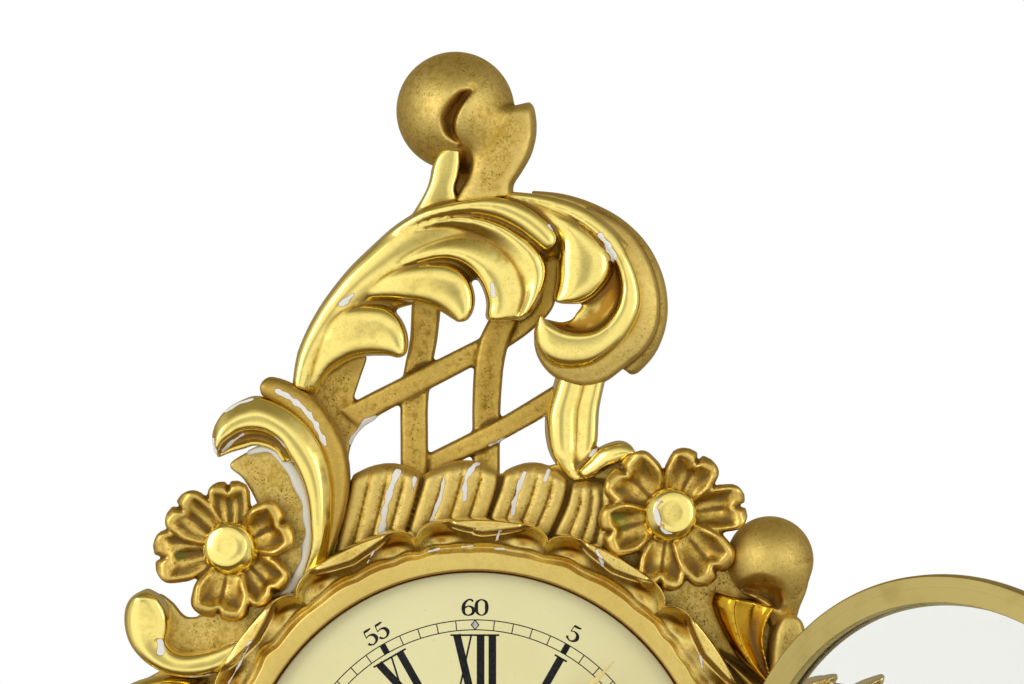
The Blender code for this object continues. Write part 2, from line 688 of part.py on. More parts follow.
def left_scrolls():
    """The burnished C-scroll with its rim leaf, and the volute below the left flower."""
    low = SCROLL_BACK
    scroll = Lobe(
        ((-65, 75), (-59, 86), (-55, 97.5), (-53, 112), (-55.5, 126.5), (-62, 139.5), (-71.5, 147),
         (-81.5, 148.5), (-89.5, 145), (-94.5, 137.5), (-95, 128)),
        ((-70, 73.5), (-64.5, 84.5), (-61.5, 96), (-61.5, 108.5), (-64, 120), (-68.5, 129), (-75, 134),
         (-80, 135.5), (-85.5, 134.5), (-89.5, 131.5), (-95, 127.5)),
        low, low + 4, 8, ROLLED,
    )
    rim = Lobe(
        ((-54.5, 89), (-50.5, 95), (-46.5, 107), (-46, 118), (-49.5, 133.5), (-57.5, 144.5), (-67, 150.5),
         (-75.5, 155), (-79, 152)),
        ((-59.5, 89.5), (-57, 97), (-55.5, 111.5), (-57.5, 125.5), (-63, 138), (-70, 145), (-74.5, 147.5),
         (-76.5, 148.5), (-79, 150)),
        low + 0.4, low + 3, 2.5, ROUND,
    )
    body = join(loft(scroll, 1), loft(rim, 1))
    gilt(cut(body, moulding_room()), "left_c_scroll")
    volute = Lobe(
        ((-86, 51), (-102.5, 47.5), (-114.5, 51), (-123, 59), (-127.5, 68), (-126, 75), (-119.5, 79),
         (-114.5, 76), (-110.5, 68.5)),
        ((-80, 62), (-90.5, 58.5), (-101.5, 57), (-108.5, 58.5), (-112, 60.5), (-113.5, 62.5),
         (-113.5, 65), (-112, 66.5), (-110.5, 68.5)),
        low, low + 5, 7, ROUND,
    )
    gilt(cut(loft(volute, 1), moulding_room()), "left_volute")


def flower(name, centre, petals, back):
    """Six petals about a stub, and the domed boss on it with its bright slanting facet."""
    stub_front = back + 5.0
    stub = rod(centre, BOSS_R * 0.8, back, stub_front, 14)
    body = stub
    for k, (turn, reach) in enumerate(petals):
        leaf = petal(centre, math.radians(turn), reach, back + 0.3 + 0.37 * k)
        body = join(body, cut(leaf, rod((0.0, 0.0), RUFFLE_R + FIT, back - 1, stub_front + 20, 48)))
    room = rod(centre, BOSS_R + FIT, stub_front, stub_front + 20, 14)
    body = cut(body, room)
    matte(body, name)
    low = stub_front + FIT
    dome = [(0, low), (BOSS_R, low), (BOSS_R * 0.95, low + BOSS_RISE * 0.5),
            (BOSS_R * 0.72, low + BOSS_RISE * 0.9), (0, low + BOSS_RISE)]
    gilt(lathe(dome, 12, centre), name.replace("flower", "boss"))


def right_leaves():
    """The amber leaf under the right-hand ball, with the small leaf beside it."""
    low = SCROLL_BACK
    large = Lobe(
        ((105.5, 47.5), (98.5, 55.5), (91.5, 64.5), (88, 73), (91, 79)),
        ((109, 47.5), (106, 57), (106.5, 65), (110, 74), (98, 80)),
        low, low + 4, 6, GROOVED,
    )
    small = Lobe(
        ((104, 50), (104, 56), (106.5, 62), (111, 67), (115, 69)),
        ((111, 48.5), (114, 54), (118, 60), (120, 65), (117, 69)),
        low + 0.4, low + 3, 4, ROUND,
    )
    body = join(loft(large, 2), loft(small, 1))
    depth = SCROLL_BACK + RIGHT_BALL_RISE
    gilt(cut(body, ball(RIGHT_BALL_AT, depth, RIGHT_BALL_R + FIT)), "right_leaf")


FLANK_LEAF = (
    ((-98, 46), (-112, 40), (-124, 24), (-128, 2), (-121, -24), (-107, -50), (-92, -78), (-80, -104),
     (-70, -124)),
    ((-98, 38), (-104, 30), (-108, 18), (-108, 0), (-103, -20), (-94, -40), (-84, -60), (-74, -84),
     (-66, -120)),
)
FLANK_LOBES = (
    (((-106, 20), (-124, 20), (-138, 8), (-146, -16)), ((-110, 0), (-124, -2), (-134, -8), (-146, -16))),
    (((-106, -6), (-122, -10), (-134, -24), (-136, -50)),
     ((-104, -26), (-116, -32), (-125, -40), (-136, -50))),
    (((-100, -36), (-112, -42), (-120, -56), (-118, -82)),
     ((-92, -56), (-102, -62), (-110, -70), (-118, -82))),
    (((-88, -68), (-98, -74), (-104, -86), (-98, -108)), ((-80, -86), (-86, -92), (-91, -98), (-98, -108))),
)
LEFT_FLANK_TIPS = (
    (((-98, 44), (-118, 46), (-136, 38), (-147, 16)), ((-106, 24), (-122, 24), (-134, 22), (-147, 16))),
)
RIGHT_FLANK_TIPS = (
    (((104, 28), (112, 38), (122, 45), (134, 48)), ((116, 26), (124, 33), (130, 40), (134, 48))),
    (((114, 22), (130, 36), (142, 45), (151, 48)), ((120, 10), (138, 22), (147, 35), (151, 48))),
)
CURLED = (0.15, 1.0, 0.0)


def flanks():
    """The long acanthus leaves that run down beside the dial, their lobes curling outwards."""
    low = RELIEF_BACK
    sides = (("left_flank", tuple, LEFT_FLANK_TIPS), ("right_flank", mirrored, RIGHT_FLANK_TIPS))
    for name, turn, tips in sides:
        outer, inner = (turn(edge) for edge in FLANK_LEAF)
        body = loft(Lobe(outer, inner, low, low + 3, 7, GROOVED), 1)
        lobes = list(tips) + [(turn(upper), turn(lower)) for upper, lower in FLANK_LOBES]
        for k, (upper, lower) in enumerate(lobes):
            back = low + 0.4 + 0.1 * k
            body = join(body, loft(Lobe(upper, lower, back, back + 2.9, 6, CURLED), 1))
        gilt(cut(body, moulding_room()), name)


APRON_SCROLL = (
    ((-69, -127), (-84, -136), (-90, -156), (-82, -178), (-64, -190), (-48, -184), (-46, -170),
     (-54, -164)),
    ((-58, -132), (-68, -141), (-73, -155), (-69, -168), (-62, -174), (-57, -174), (-55, -170),
     (-54, -164)),
)
APRON_FOOT = (
    ((-62, -182), (-58, -208), (-54, -232), (-38, -246), (-22, -242), (-18, -230), (-25, -223)),
    ((-46, -180), (-44, -204), (-43, -222), (-36, -230), (-29, -231), (-26, -228), (-25, -223)),
)


def apron():
    """The carvings below the dial: a fluted shell, a pair of scrolls at each side and a leaf drop."""
    low = RELIEF_BACK
    shell = Lobe(
        ((-46, -84), (-56, -112), (-46, -150)), ((46, -84), (56, -112), (46, -150)),
        low, low + 3, 4, (0.0, 1.0, 0.2, 1.0, 0.2, 1.0, 0.2, 1.0, 0.2, 1.0, 0.0), 32.0,
    )
    matte(cut(loft(shell, 3), moulding_room()), "apron_shell")
    for name, turn in (("apron_scroll_left", tuple), ("apron_scroll_right", mirrored)):
        scroll = [turn(edge) for edge in APRON_SCROLL]
        foot = [turn(edge) for edge in APRON_FOOT]
        body = loft(Lobe(*scroll, low, low + 4, 7, ROLLED), 1)
        body = join(body, loft(Lobe(*foot, low + 0.5, low + 3.5, 6, ROLLED), 1))
        gilt(body, name)
    half = ((-9, -192), (-12, -216), (-12, -242), (0, -284))
    upper = ((-5, -236), (-12, -250), (-18, -262), (-25, -276))
    lower = ((4, -240), (-5, -256), (-13, -268), (-25, -276))
    body = loft(Lobe(half, mirrored(half), low, low + 4, 8, GROOVED), 2)
    for turn in (tuple, mirrored):
        body = join(body, loft(Lobe(turn(upper), turn(lower), low + 0.5, low + 4.5, 5, CURLED), 1))
    gilt(body, "apron_leaf")


def case_back():
    """The drum that houses the movement, its cover against the wall and the plate it hangs by."""
    back = DRUM_BACK
    front = DRUM_BACK + DRUM_DEPTH
    inside = DRUM_R - DRUM_WALL
    drum = lathe([(inside, back), (DRUM_R, back), (DRUM_R, front), (inside, front)], 32)
    slot = block(-DRUM_SLOT_HALF, DRUM_SLOT_HALF, -DRUM_R - 5, -inside + 5, back - 1,
                 BACK_PLATE_DEPTH - 1)
    finish(cut(drum, slot), "movement_drum", PINE, 0.0, 0.7)
    cover = rod((0.0, 0.0), DRUM_R, 0.0, COVER_THICK, 32)
    brass(cover, "back_cover")
    hole = ring_points((0.0, HANGER_Z), HANGER_HOLE_R, 12)
    low = HANGER_Z - 11
    high = HANGER_Z + 10
    plate = [(-20, low), (20, low), (20, high - 5), (12, high), (-12, high), (-20, high - 5)]
    steel(prism([plate, hole], BOARD_BACK - FIT - 1.6, BOARD_BACK - FIT), "hanger_plate")


def dial_depth(radius):
    """Depth of the domed dial's front at a radius."""
    return DIAL_EDGE + DIAL_RISE * (1 - (radius / DIAL_R) ** 2)


def dial_group():
    """The domed dial on its feet, and the ring behind it that holds it in the moulding."""
    front = [(r, dial_depth(r)) for r in (DIAL_HOLE_R, DIAL_R * 0.55, DIAL_R)]
    back = [(r, depth - DIAL_THICK) for r, depth in reversed(front)]
    body = lathe(front + back, 36)
    body = cut(body, rod((0.0, -BARREL_DROP), DIAL_HOLE_R, FRONT_PLATE_FRONT, DIAL_FRONT + 5, 12))
    for turn in (30, 150, 270):
        centre = polar((0.0, 0.0), DIAL_FOOT_ORBIT, math.radians(turn))
        top = dial_depth(DIAL_FOOT_ORBIT) - DIAL_THICK / 2
        body = join(body, rod(centre, DIAL_FOOT_R, FRONT_PLATE_FRONT + FIT, top, 6))
    finish(body, "dial", ENAMEL, 0.0, 0.25)
    depth = DIAL_EDGE - DIAL_THICK - FIT
    inside = BOARD_HOLE_R + 2
    ring = [(inside, RELIEF_BACK), (DIAL_R - 0.5, RELIEF_BACK), (DIAL_R - 0.5, depth), (inside, depth)]
    finish(lathe(ring, 24), "dial_retainer", PINE, 0.0, 0.7)


def open_door(obj):
    """Swings a piece of the closed door to the open position about the hinge."""
    pivot = Matrix.Translation(point(HINGE_X, 0.0, HINGE_DEPTH))
    swing = Matrix.Rotation(math.radians(DOOR_OPEN_DEG), 4, "Z")
    obj.data.transform(swing @ pivot.inverted())
    obj.matrix_world = pivot
    return obj


def door():
    """The glazed brass door: bezel, domed glass and its ring, hinge leaf and knob."""
    rebate_r = BEZEL_R - BEZEL_WALL
    lip_back = BEZEL_FRONT - BEZEL_LIP
    bezel = lathe(
        [(BEZEL_SIGHT_R, lip_back), (BEZEL_SIGHT_R + 1, BEZEL_FRONT), (rebate_r - 1, BEZEL_FRONT - 0.4),
         (BEZEL_R, BEZEL_FRONT - 4), (BEZEL_R, BEZEL_BACK), (rebate_r, BEZEL_BACK), (rebate_r, lip_back)],
        40,
    )
    open_door(brass(bezel, "bezel_ring"))
    flange_r = rebate_r - FIT
    flange_front = lip_back - FIT
    dome_r = BEZEL_SIGHT_R - 0.6
    front = [(flange_r, flange_front)]
    front += [(dome_r * k, flange_front + GLASS_RISE * (1 - k * k)) for k in (1.0, 0.65, 0.0)]
    back = [(0.0, flange_front + GLASS_RISE - GLASS_THICK)]
    back += [(dome_r * k - 0.8, flange_front + GLASS_RISE * (1 - k * k) - GLASS_THICK) for k in (0.65, 1.0)]
    back += [(flange_r, flange_front - GLASS_THICK)]
    open_door(finish(lathe(front + back, 36), "bezel_glass", GLASS, 0.0, 0.05))
    ring_front = flange_front - GLASS_THICK - FIT
    ring = [(BEZEL_SIGHT_R + 1, BEZEL_BACK + FIT), (flange_r, BEZEL_BACK + FIT), (flange_r, ring_front),
            (BEZEL_SIGHT_R + 1, ring_front)]
    open_door(brass(lathe(ring, 24), "glass_retainer"))
    knob_at = (-BEZEL_R + 5.2, 0.0)
    knob_back = BEZEL_FRONT - 0.4 + FIT
    knob = lathe([(0, knob_back), (KNOB_R * 0.8, knob_back), (KNOB_R * 0.5, knob_back + KNOB_LENGTH * 0.4),
                  (KNOB_R, knob_back + KNOB_LENGTH * 0.7), (KNOB_R * 0.6, knob_back + KNOB_LENGTH),
                  (0, knob_back + KNOB_LENGTH)], 8, knob_at)
    open_door(brass(knob, "bezel_knob"))


def knuckle(low, high):
    """A hinge knuckle with its bore for the pin."""
    bore = HINGE_PIN_R + FIT
    profile = [(bore, low), (HINGE_KNUCKLE_R, low), (HINGE_KNUCKLE_R, high), (bore, high)]
    return lathe_upright(profile, 8, HINGE_X, HINGE_DEPTH)


def hinge():
    """The side hinge: bracket on the moulding's seat, pin, and the leaf that carries the bezel."""
    third = HINGE_HALF_HEIGHT * 2 / 3
    high = HINGE_HALF_HEIGHT
    seat = SEAT_FRONT + FIT
    near = BEZEL_R + 2 * FIT
    post = block(HINGE_X - 0.6, HINGE_X - 0.05, -high, high, seat, HINGE_DEPTH - HINGE_PIN_R - 2 * FIT)
    foot = block(near, HINGE_X - 0.3, -high, high, seat, seat + 1.0)
    middle = third / 2 + FIT
    gap = block(HINGE_X - 4, HINGE_X + 4, -middle, middle, seat + 2.0, HINGE_DEPTH + 4)
    body = cut(join(post, foot), gap)
    body = join(body, knuckle(middle, high), knuckle(-high, -middle))
    brass(body, "hinge_bracket")
    pin = [(0, -high - 1.5), (HINGE_PIN_R, -high - 1.5), (HINGE_PIN_R, high + FIT),
           (HINGE_KNUCKLE_R, high + FIT), (HINGE_KNUCKLE_R * 0.7, high + 1.8), (0, high + 1.8)]
    steel(lathe_upright(pin, 8, HINGE_X, HINGE_DEPTH), "hinge_pin")
    strap_back = BEZEL_FRONT - 0.4 + FIT
    strap = block(BEZEL_R - 5.0, HINGE_X - HINGE_PIN_R - 2 * FIT, -third / 2, third / 2, strap_back,
                  strap_back + 1.0)
    leaf = join(knuckle(-third / 2, third / 2), strap)
    open_door(brass(leaf, "hinge_leaf"))


def hand_outline(waist, swell):
    """One side of a rococo hand from its collet to its tip, as (along, half width) pairs."""
    return ((0.06, waist), (0.12, waist * 0.8), (0.2, swell * 0.55), (0.3, swell), (0.4, swell * 0.6),
            (0.46, waist * 0.6), (0.54, swell * 0.6), (0.62, swell * 0.75), (0.7, waist * 0.6),
            (0.78, waist * 0.45), (0.86, waist * 0.6), (0.92, waist * 0.35), (1.0, 0.15))


def hand(name, length, swell, collet_r, hole_r, depth, clockwise_deg):
    """A pierced gilt hand on its collet."""
    side = [(along * length, width) for along, width in hand_outline(1.6, swell)]
    blade = side + [(along, -width) for along, width in reversed(side)]
    eye = [(0.24 * length, 0.2), (0.3 * length, swell * 0.45), (0.37 * length, 0.2), (0.3 * length, 0.0)]
    eyes = [eye, [(along, -width - 0.6) for along, width in eye]]
    turn = math.radians(90 - clockwise_deg)
    ahead = Vector((math.cos(turn), math.sin(turn)))
    aside = Vector((-math.sin(turn), math.cos(turn)))
    placed = []
    for loop in [blade] + [[(along, width + 0.3) for along, width in ring] for ring in eyes]:
        placed.append([tuple(ahead * along + aside * width) for along, width in loop])
    body = prism(placed, depth, depth + HAND_THICK)
    ring = [(hole_r, depth - 0.4), (collet_r, depth - 0.4), (collet_r, depth + HAND_THICK + 0.4),
            (hole_r, depth + HAND_THICK + 0.4)]
    collet = lathe(ring, 14)
    body = cut(body, rod((0.0, 0.0), (collet_r + hole_r) / 2, depth - 2, depth + 3, 14))
    gilt(join(collet, body), name)


def hands():
    """Hour hand, minute hand and the nut that holds the minute hand."""
    hour_turn = (10 + MINUTES_PAST_TEN / 60) * 30
    hand("hour_hand", HOUR_HAND_LENGTH, 6.0, 6.2, HOUR_PIPE_R + FIT, HOUR_HAND_DEPTH, hour_turn)
    hand("minute_hand", MINUTE_HAND_LENGTH, 4.6, 4.6, CANNON_PIPE_R + FIT, MINUTE_HAND_DEPTH,
         MINUTES_PAST_TEN * 6)
    low = MINUTE_HAND_DEPTH + HAND_THICK + 0.4 + FIT
    bore = CENTRE_ARBOR_R + FIT
    nut = [(bore, low), (3.2, low), (3.2, low + 1.0), (2.2, low + 2.6), (bore, low + 2.6)]
    brass(lathe(nut, 8), "hand_nut")


def in_mesh(driver, centre, teeth, module):
    """A gear placed with its teeth between those of the one that it meshes with."""
    line = math.atan2(centre[1] - driver.centre[1], centre[0] - driver.centre[0])
    share = (line - driver.phase) / (2 * math.pi / driver.teeth)
    wanted = 0.5 - share
    phase = line + math.pi - wanted * 2 * math.pi / teeth
    return Gear(centre, teeth, module, phase)


def crossings(gear, hub_r, rim, arms=4):
    """The openings between a wheel's arms."""
    outer = gear.root_r - rim
    loops = []
    for arm in range(arms):
        start = 2 * math.pi * (arm + 0.13) / arms
        stop = 2 * math.pi * (arm + 0.87) / arms
        arc = [polar(gear.centre, outer, start + (stop - start) * k / 3) for k in range(4)]
        loops.append(arc + [polar(gear.centre, hub_r, (start + stop) / 2)])
    return loops


def arbor(centre, steps):
    """A turned arbor from (radius, back, front) steps in order of depth."""
    profile = [(0, steps[0][1])]
    for radius, back, front in steps:
        profile += [(radius, back), (radius, front)]
    profile.append((0, steps[-1][2]))
    return lathe(profile, 7, centre)


class Train:
    """Places of the going train and the motion work, each gear in mesh with the one before."""

    def __init__(self):
        centre = (0.0, 0.0)
        self.barrel = Gear((0.0, -BARREL_DROP), BARREL_TEETH, BARREL_MODULE, 0.0)
        to_barrel = (BARREL_TEETH + SECOND_PINION) * BARREL_MODULE / 2
        to_centre = (SECOND_TEETH + CENTRE_PINION) * SECOND_MODULE / 2
        low = (to_barrel**2 - to_centre**2 - BARREL_DROP**2) / (2 * BARREL_DROP)
        second = (-math.sqrt(to_centre**2 - low**2), low)
        self.second_pinion = in_mesh(self.barrel, second, SECOND_PINION, BARREL_MODULE)
        self.second = Gear(second, SECOND_TEETH, SECOND_MODULE, 0.0)
        self.centre_pinion = in_mesh(self.second, centre, CENTRE_PINION, SECOND_MODULE)
        self.centre = Gear(centre, CENTRE_TEETH, CENTRE_MODULE, 0.0)
        reach = (CENTRE_TEETH + THIRD_PINION) * CENTRE_MODULE / 2
        third = polar(centre, reach, math.radians(THIRD_TURN))
        self.third_pinion = in_mesh(self.centre, third, THIRD_PINION, CENTRE_MODULE)
        self.third = Gear(third, THIRD_TEETH, THIRD_MODULE, 0.0)
        reach = (THIRD_TEETH + ESCAPE_PINION) * THIRD_MODULE / 2
        escape = (0.0, third[1] + math.sqrt(reach**2 - third[0] ** 2))
        self.escape_pinion = in_mesh(self.third, escape, ESCAPE_PINION, THIRD_MODULE)
        self.escape = escape
        self.pallet = (0.0, escape[1] + ESCAPE_R / math.cos(math.radians(PALLET_SPAN)))
        self.cannon = Gear(centre, CANNON_TEETH, 2 * MOTION_DISTANCE / (CANNON_TEETH + MINUTE_TEETH), 0.0)
        aside = (MOTION_DISTANCE, 0.0)
        self.minute = in_mesh(self.cannon, aside, MINUTE_TEETH, self.cannon.module)
        module = 2 * MOTION_DISTANCE / (MINUTE_PINION + HOUR_TEETH)
        self.minute_pinion = Gear(aside, MINUTE_PINION, module, 0.0)
        self.hour = in_mesh(self.minute_pinion, centre, HOUR_TEETH, module)


def plates(train):
    """The two round plates of the movement; the pillars stand on the back one."""
    bearing = PIVOT_R + FIT
    wide = BARREL_ARBOR_R + FIT
    middle = CENTRE_ARBOR_R + FIT
    pivots = (train.second.centre, train.third.centre, train.escape)
    holes = [ring_points(place, bearing, 8) for place in pivots]
    holes.append(ring_points(train.barrel.centre, wide, 10))
    holes.append(ring_points((0.0, 0.0), middle, 10))
    pillars = [polar((0.0, 0.0), PILLAR_ORBIT, math.radians(turn)) for turn in (35, 145, 215, 325)]
    rim = ring_points((0.0, 0.0), PLATE_R, 28)
    front_holes = holes + [ring_points(train.pallet, bearing, 8)]
    front = prism([rim] + front_holes, FRONT_PLATE_BACK, FRONT_PLATE_FRONT)
    stud = rod(train.minute.centre, ARBOR_R, FRONT_PLATE_FRONT - 0.5, FRONT_PLATE_FRONT + 9, 8)
    click_stud = rod(click_place(train), ARBOR_R, FRONT_PLATE_FRONT - 0.5, FRONT_PLATE_FRONT + 3.2, 8)
    brass(join(front, stud, click_stud), "front_plate")
    back_holes = holes + [ring_points(train.pallet, ARBOR_R + FIT, 8)]
    back = prism([rim] + back_holes, BACK_PLATE_DEPTH, BACK_PLATE_FRONT)
    for place in pillars:
        shape = [(0, BACK_PLATE_FRONT - 0.5), (PILLAR_R, BACK_PLATE_FRONT - 0.5),
                 (PILLAR_R * 0.7, BACK_PLATE_FRONT + PLATE_SPACE / 2),
                 (PILLAR_R, FRONT_PLATE_BACK - FIT), (0, FRONT_PLATE_BACK - FIT)]
        back = join(back, lathe(shape, 6, place))
    brass(back, "back_plate")


def click_place(train):
    """Where the click turns, beside the ratchet."""
    return polar(train.barrel.centre, RATCHET_R + 6.5, math.radians(150))


def wheel_on_arbor(name, wheel, wheel_back, pinion, pinion_back, pinion_front):
    """A crossed-out wheel and a pinion on an arbor that runs in both plates."""
    centre = wheel.centre
    hub_r = max(pinion.root_r + 1.5, 3.0)
    body = prism([wheel.outline()] + crossings(wheel, hub_r, 1.6), wheel_back, wheel_back + WHEEL_THICK)
    leaves = prism([pinion.outline()], pinion_back, pinion_front)
    shoulder_back = BACK_PLATE_FRONT + FIT
    shoulder_front = FRONT_PLATE_BACK - FIT
    shaft = arbor(centre, ((PIVOT_R, BACK_PLATE_DEPTH + FIT, shoulder_back),
                           (min(ARBOR_R, pinion.root_r * 0.9), shoulder_back, shoulder_front),
                           (PIVOT_R, shoulder_front, FRONT_PLATE_FRONT - FIT)))
    brass(join(shaft, leaves, body), name)


def going_train(train):
    """Barrel, intermediate, centre, third and escape wheels between the plates."""
    low = BACK_PLATE_FRONT
    start = low + 2.0
    teeth_front = start + 2.5
    toothed = prism([train.barrel.outline(), ring_points(train.barrel.centre, BARREL_ARBOR_R + FIT, 16)],
                    start, teeth_front)
    case_r = train.barrel.root_r - 0.8
    bore = BARREL_ARBOR_R + FIT
    case = [(bore, teeth_front - 0.5), (case_r, teeth_front - 0.5), (case_r, start + BARREL_DEPTH),
            (bore, start + BARREL_DEPTH)]
    brass(join(toothed, lathe(case, 20, train.barrel.centre)), "mainspring_barrel")
    second_back = start + BARREL_DEPTH + 1.6
    wheel_on_arbor("intermediate_wheel", train.second, second_back, train.second_pinion, start - 0.6,
                   teeth_front + 0.6)
    centre_back = second_back + WHEEL_THICK + 1.8
    hub_r = 4.0
    body = prism([train.centre.outline()] + crossings(train.centre, hub_r, 1.8), centre_back,
                 centre_back + WHEEL_THICK)
    leaves = prism([train.centre_pinion.outline()], second_back - 0.8, second_back + WHEEL_THICK + 0.6)
    nose = MINUTE_HAND_DEPTH + HAND_THICK + 3.2
    shaft = arbor((0.0, 0.0), ((CENTRE_ARBOR_R, BACK_PLATE_DEPTH + FIT, low + FIT),
                               (ARBOR_R, low + FIT, FRONT_PLATE_BACK - FIT),
                               (CENTRE_ARBOR_R, FRONT_PLATE_BACK - FIT, nose)))
    brass(join(shaft, leaves, body), "centre_wheel")
    third_back = low + 8.0
    wheel_on_arbor("third_wheel", train.third, third_back, train.third_pinion, centre_back - 0.6,
                   centre_back + WHEEL_THICK + 0.6)
    escape_back = third_back + WHEEL_THICK + 2.6
    teeth = []
    for k in range(ESCAPE_TEETH):
        turn = 2 * math.pi * k / ESCAPE_TEETH
        teeth.append(polar(train.escape, ESCAPE_R, turn))
        teeth.append(polar(train.escape, ESCAPE_R - 2.2, turn + 0.35 * 2 * math.pi / ESCAPE_TEETH))
    spokes = Gear(train.escape, ESCAPE_TEETH, 2 * (ESCAPE_R - 1.6) / ESCAPE_TEETH, 0.0)
    body = prism([teeth] + crossings(spokes, 2.6, 1.4), escape_back, escape_back + 1.0)
    leaves = prism([train.escape_pinion.outline()], third_back - 0.8, third_back + WHEEL_THICK + 0.8)
    slim = train.escape_pinion.root_r * 0.9
    shaft = arbor(train.escape, ((min(slim, PIVOT_R), BACK_PLATE_DEPTH + FIT, low + FIT),
                                 (slim, low + FIT, FRONT_PLATE_BACK - FIT),
                                 (min(slim, PIVOT_R), FRONT_PLATE_BACK - FIT, FRONT_PLATE_FRONT - FIT)))
    collar = rod(train.escape, 2.8, escape_back - 0.6, escape_back + 1.6, 10)
    brass(join(shaft, leaves, collar, body), "escape_wheel")
    return escape_back


def winding(train):
    """Barrel arbor with its ratchet and winding square, and the click that holds it."""
    low = BACK_PLATE_DEPTH + FIT
    front = dial_depth(BARREL_DROP) - 1.0
    shaft = arbor(train.barrel.centre, ((BARREL_ARBOR_R, low, FRONT_PLATE_FRONT + 3.2),
                                        (WINDING_SQUARE * 0.6, FRONT_PLATE_FRONT + 3.2, front - 8)))
    half = WINDING_SQUARE / 2
    x, z = train.barrel.centre
    square = block(x - half, x + half, z - half, z + half, front - 9, front)
    saw = []
    for k in range(RATCHET_TEETH):
        turn = 2 * math.pi * k / RATCHET_TEETH
        saw.append(polar(train.barrel.centre, RATCHET_R, turn))
        saw.append(polar(train.barrel.centre, RATCHET_R - 1.4, turn + 0.2 * math.pi / RATCHET_TEETH))
    ratchet_back = FRONT_PLATE_FRONT + FIT
    wheel = prism([saw], ratchet_back, ratchet_back + 1.6)
    steel(join(shaft, wheel, square), "barrel_arbor")
    place = click_place(train)
    tip = polar(train.barrel.centre, RATCHET_R + 2 * FIT, math.radians(115))
    along = (Vector(tip) - Vector(place)).normalized()
    aside = Vector((-along.y, along.x))
    centre = Vector(place)
    outline = [centre - along * 3 + aside * 1.6, centre - along * 3 - aside * 1.6,
               centre + along * 2 - aside * 2.4, Vector(tip), centre + along * 2 + aside * 2.4]
    hole = ring_points(place, ARBOR_R + FIT, 8)
    steel(prism([outline, hole], ratchet_back, ratchet_back + 1.6), "click")


def escapement(train, escape_back):
    """Anchor on its arbor with the crutch behind the back plate."""
    x, z = train.pallet
    reach = ESCAPE_R + PALLET_CLEAR
    span = math.radians(PALLET_SPAN)
    outline = [(x - 3, z + 2.5), (x + 3, z + 2.5)]
    right = [polar(train.escape, reach + 4.0, math.pi / 2 - span + 0.05),
             polar(train.escape, reach, math.pi / 2 - span - 0.06),
             polar(train.escape, reach, math.pi / 2 - span + 0.12),
             (x + 2.2, z - 2.6)]
    outline += right + [(2 * x - px, pz) for px, pz in reversed(right)]
    anchor = prism([outline], escape_back - 0.4, escape_back + 1.4)
    low = PENDULUM_DEPTH + ROD_R + 1.5
    shaft = arbor(train.pallet, ((ARBOR_R, low, BACK_PLATE_FRONT + FIT),
                                 (ARBOR_R + 0.2, BACK_PLATE_FRONT + FIT, FRONT_PLATE_BACK - FIT),
                                 (PIVOT_R, FRONT_PLATE_BACK - FIT, FRONT_PLATE_FRONT - FIT)))
    arm = block(x - 1.2, x + 1.2, z - 38, z + 2, low, low + 1.6)
    slot = ROD_R + FIT
    fork_right = block(x + slot, x + slot + 1.4, z - 38, z - 33, PENDULUM_DEPTH - 2.5, low + 1.2)
    fork_left = block(x - slot - 1.4, x - slot, z - 38, z - 33, PENDULUM_DEPTH - 2.5, low + 1.2)
    bridge = block(x - slot - 1.4, x + slot + 1.4, z - 38, z - 33, low + 0.2, low + 1.4)
    steel(join(shaft, anchor, arm, bridge, fork_right, fork_left), "anchor")


def motion_work(train):
    """Cannon pinion, minute wheel with its pinion, and hour wheel on its pipe."""
    low = FRONT_PLATE_FRONT + FIT
    bore = CENTRE_ARBOR_R + FIT
    pipe_front = MINUTE_HAND_DEPTH + HAND_THICK + 0.4
    leaves = prism([train.cannon.outline(), ring_points((0.0, 0.0), bore, 12)], low + 0.5, low + 4.0)
    pipe = lathe([(bore, low), (CANNON_PIPE_R, low), (CANNON_PIPE_R, pipe_front), (bore, pipe_front)], 12)
    brass(join(pipe, leaves), "cannon_pinion")
    hole_r = ARBOR_R + FIT
    wheel_back = low + 1.2
    hole = ring_points(train.minute.centre, hole_r, 10)
    hour_back = low + 5.2
    wheel = prism([train.minute.outline(), hole], wheel_back, wheel_back + WHEEL_THICK)
    pinion = prism([train.minute_pinion.outline(), hole], wheel_back + WHEEL_THICK - 0.3,
                   hour_back + WHEEL_THICK + 0.5)
    brass(join(wheel, pinion), "minute_wheel")
    bore = CANNON_PIPE_R + FIT
    pipe_front = HOUR_HAND_DEPTH + HAND_THICK + 0.4
    wheel = prism([train.hour.outline(), ring_points((0.0, 0.0), bore, 14)], hour_back,
                  hour_back + WHEEL_THICK)
    pipe = lathe([(bore, hour_back + 0.2), (HOUR_PIPE_R, hour_back + 0.2), (HOUR_PIPE_R, pipe_front),
                  (bore, pipe_front)], 14)
    brass(join(pipe, wheel), "hour_wheel")


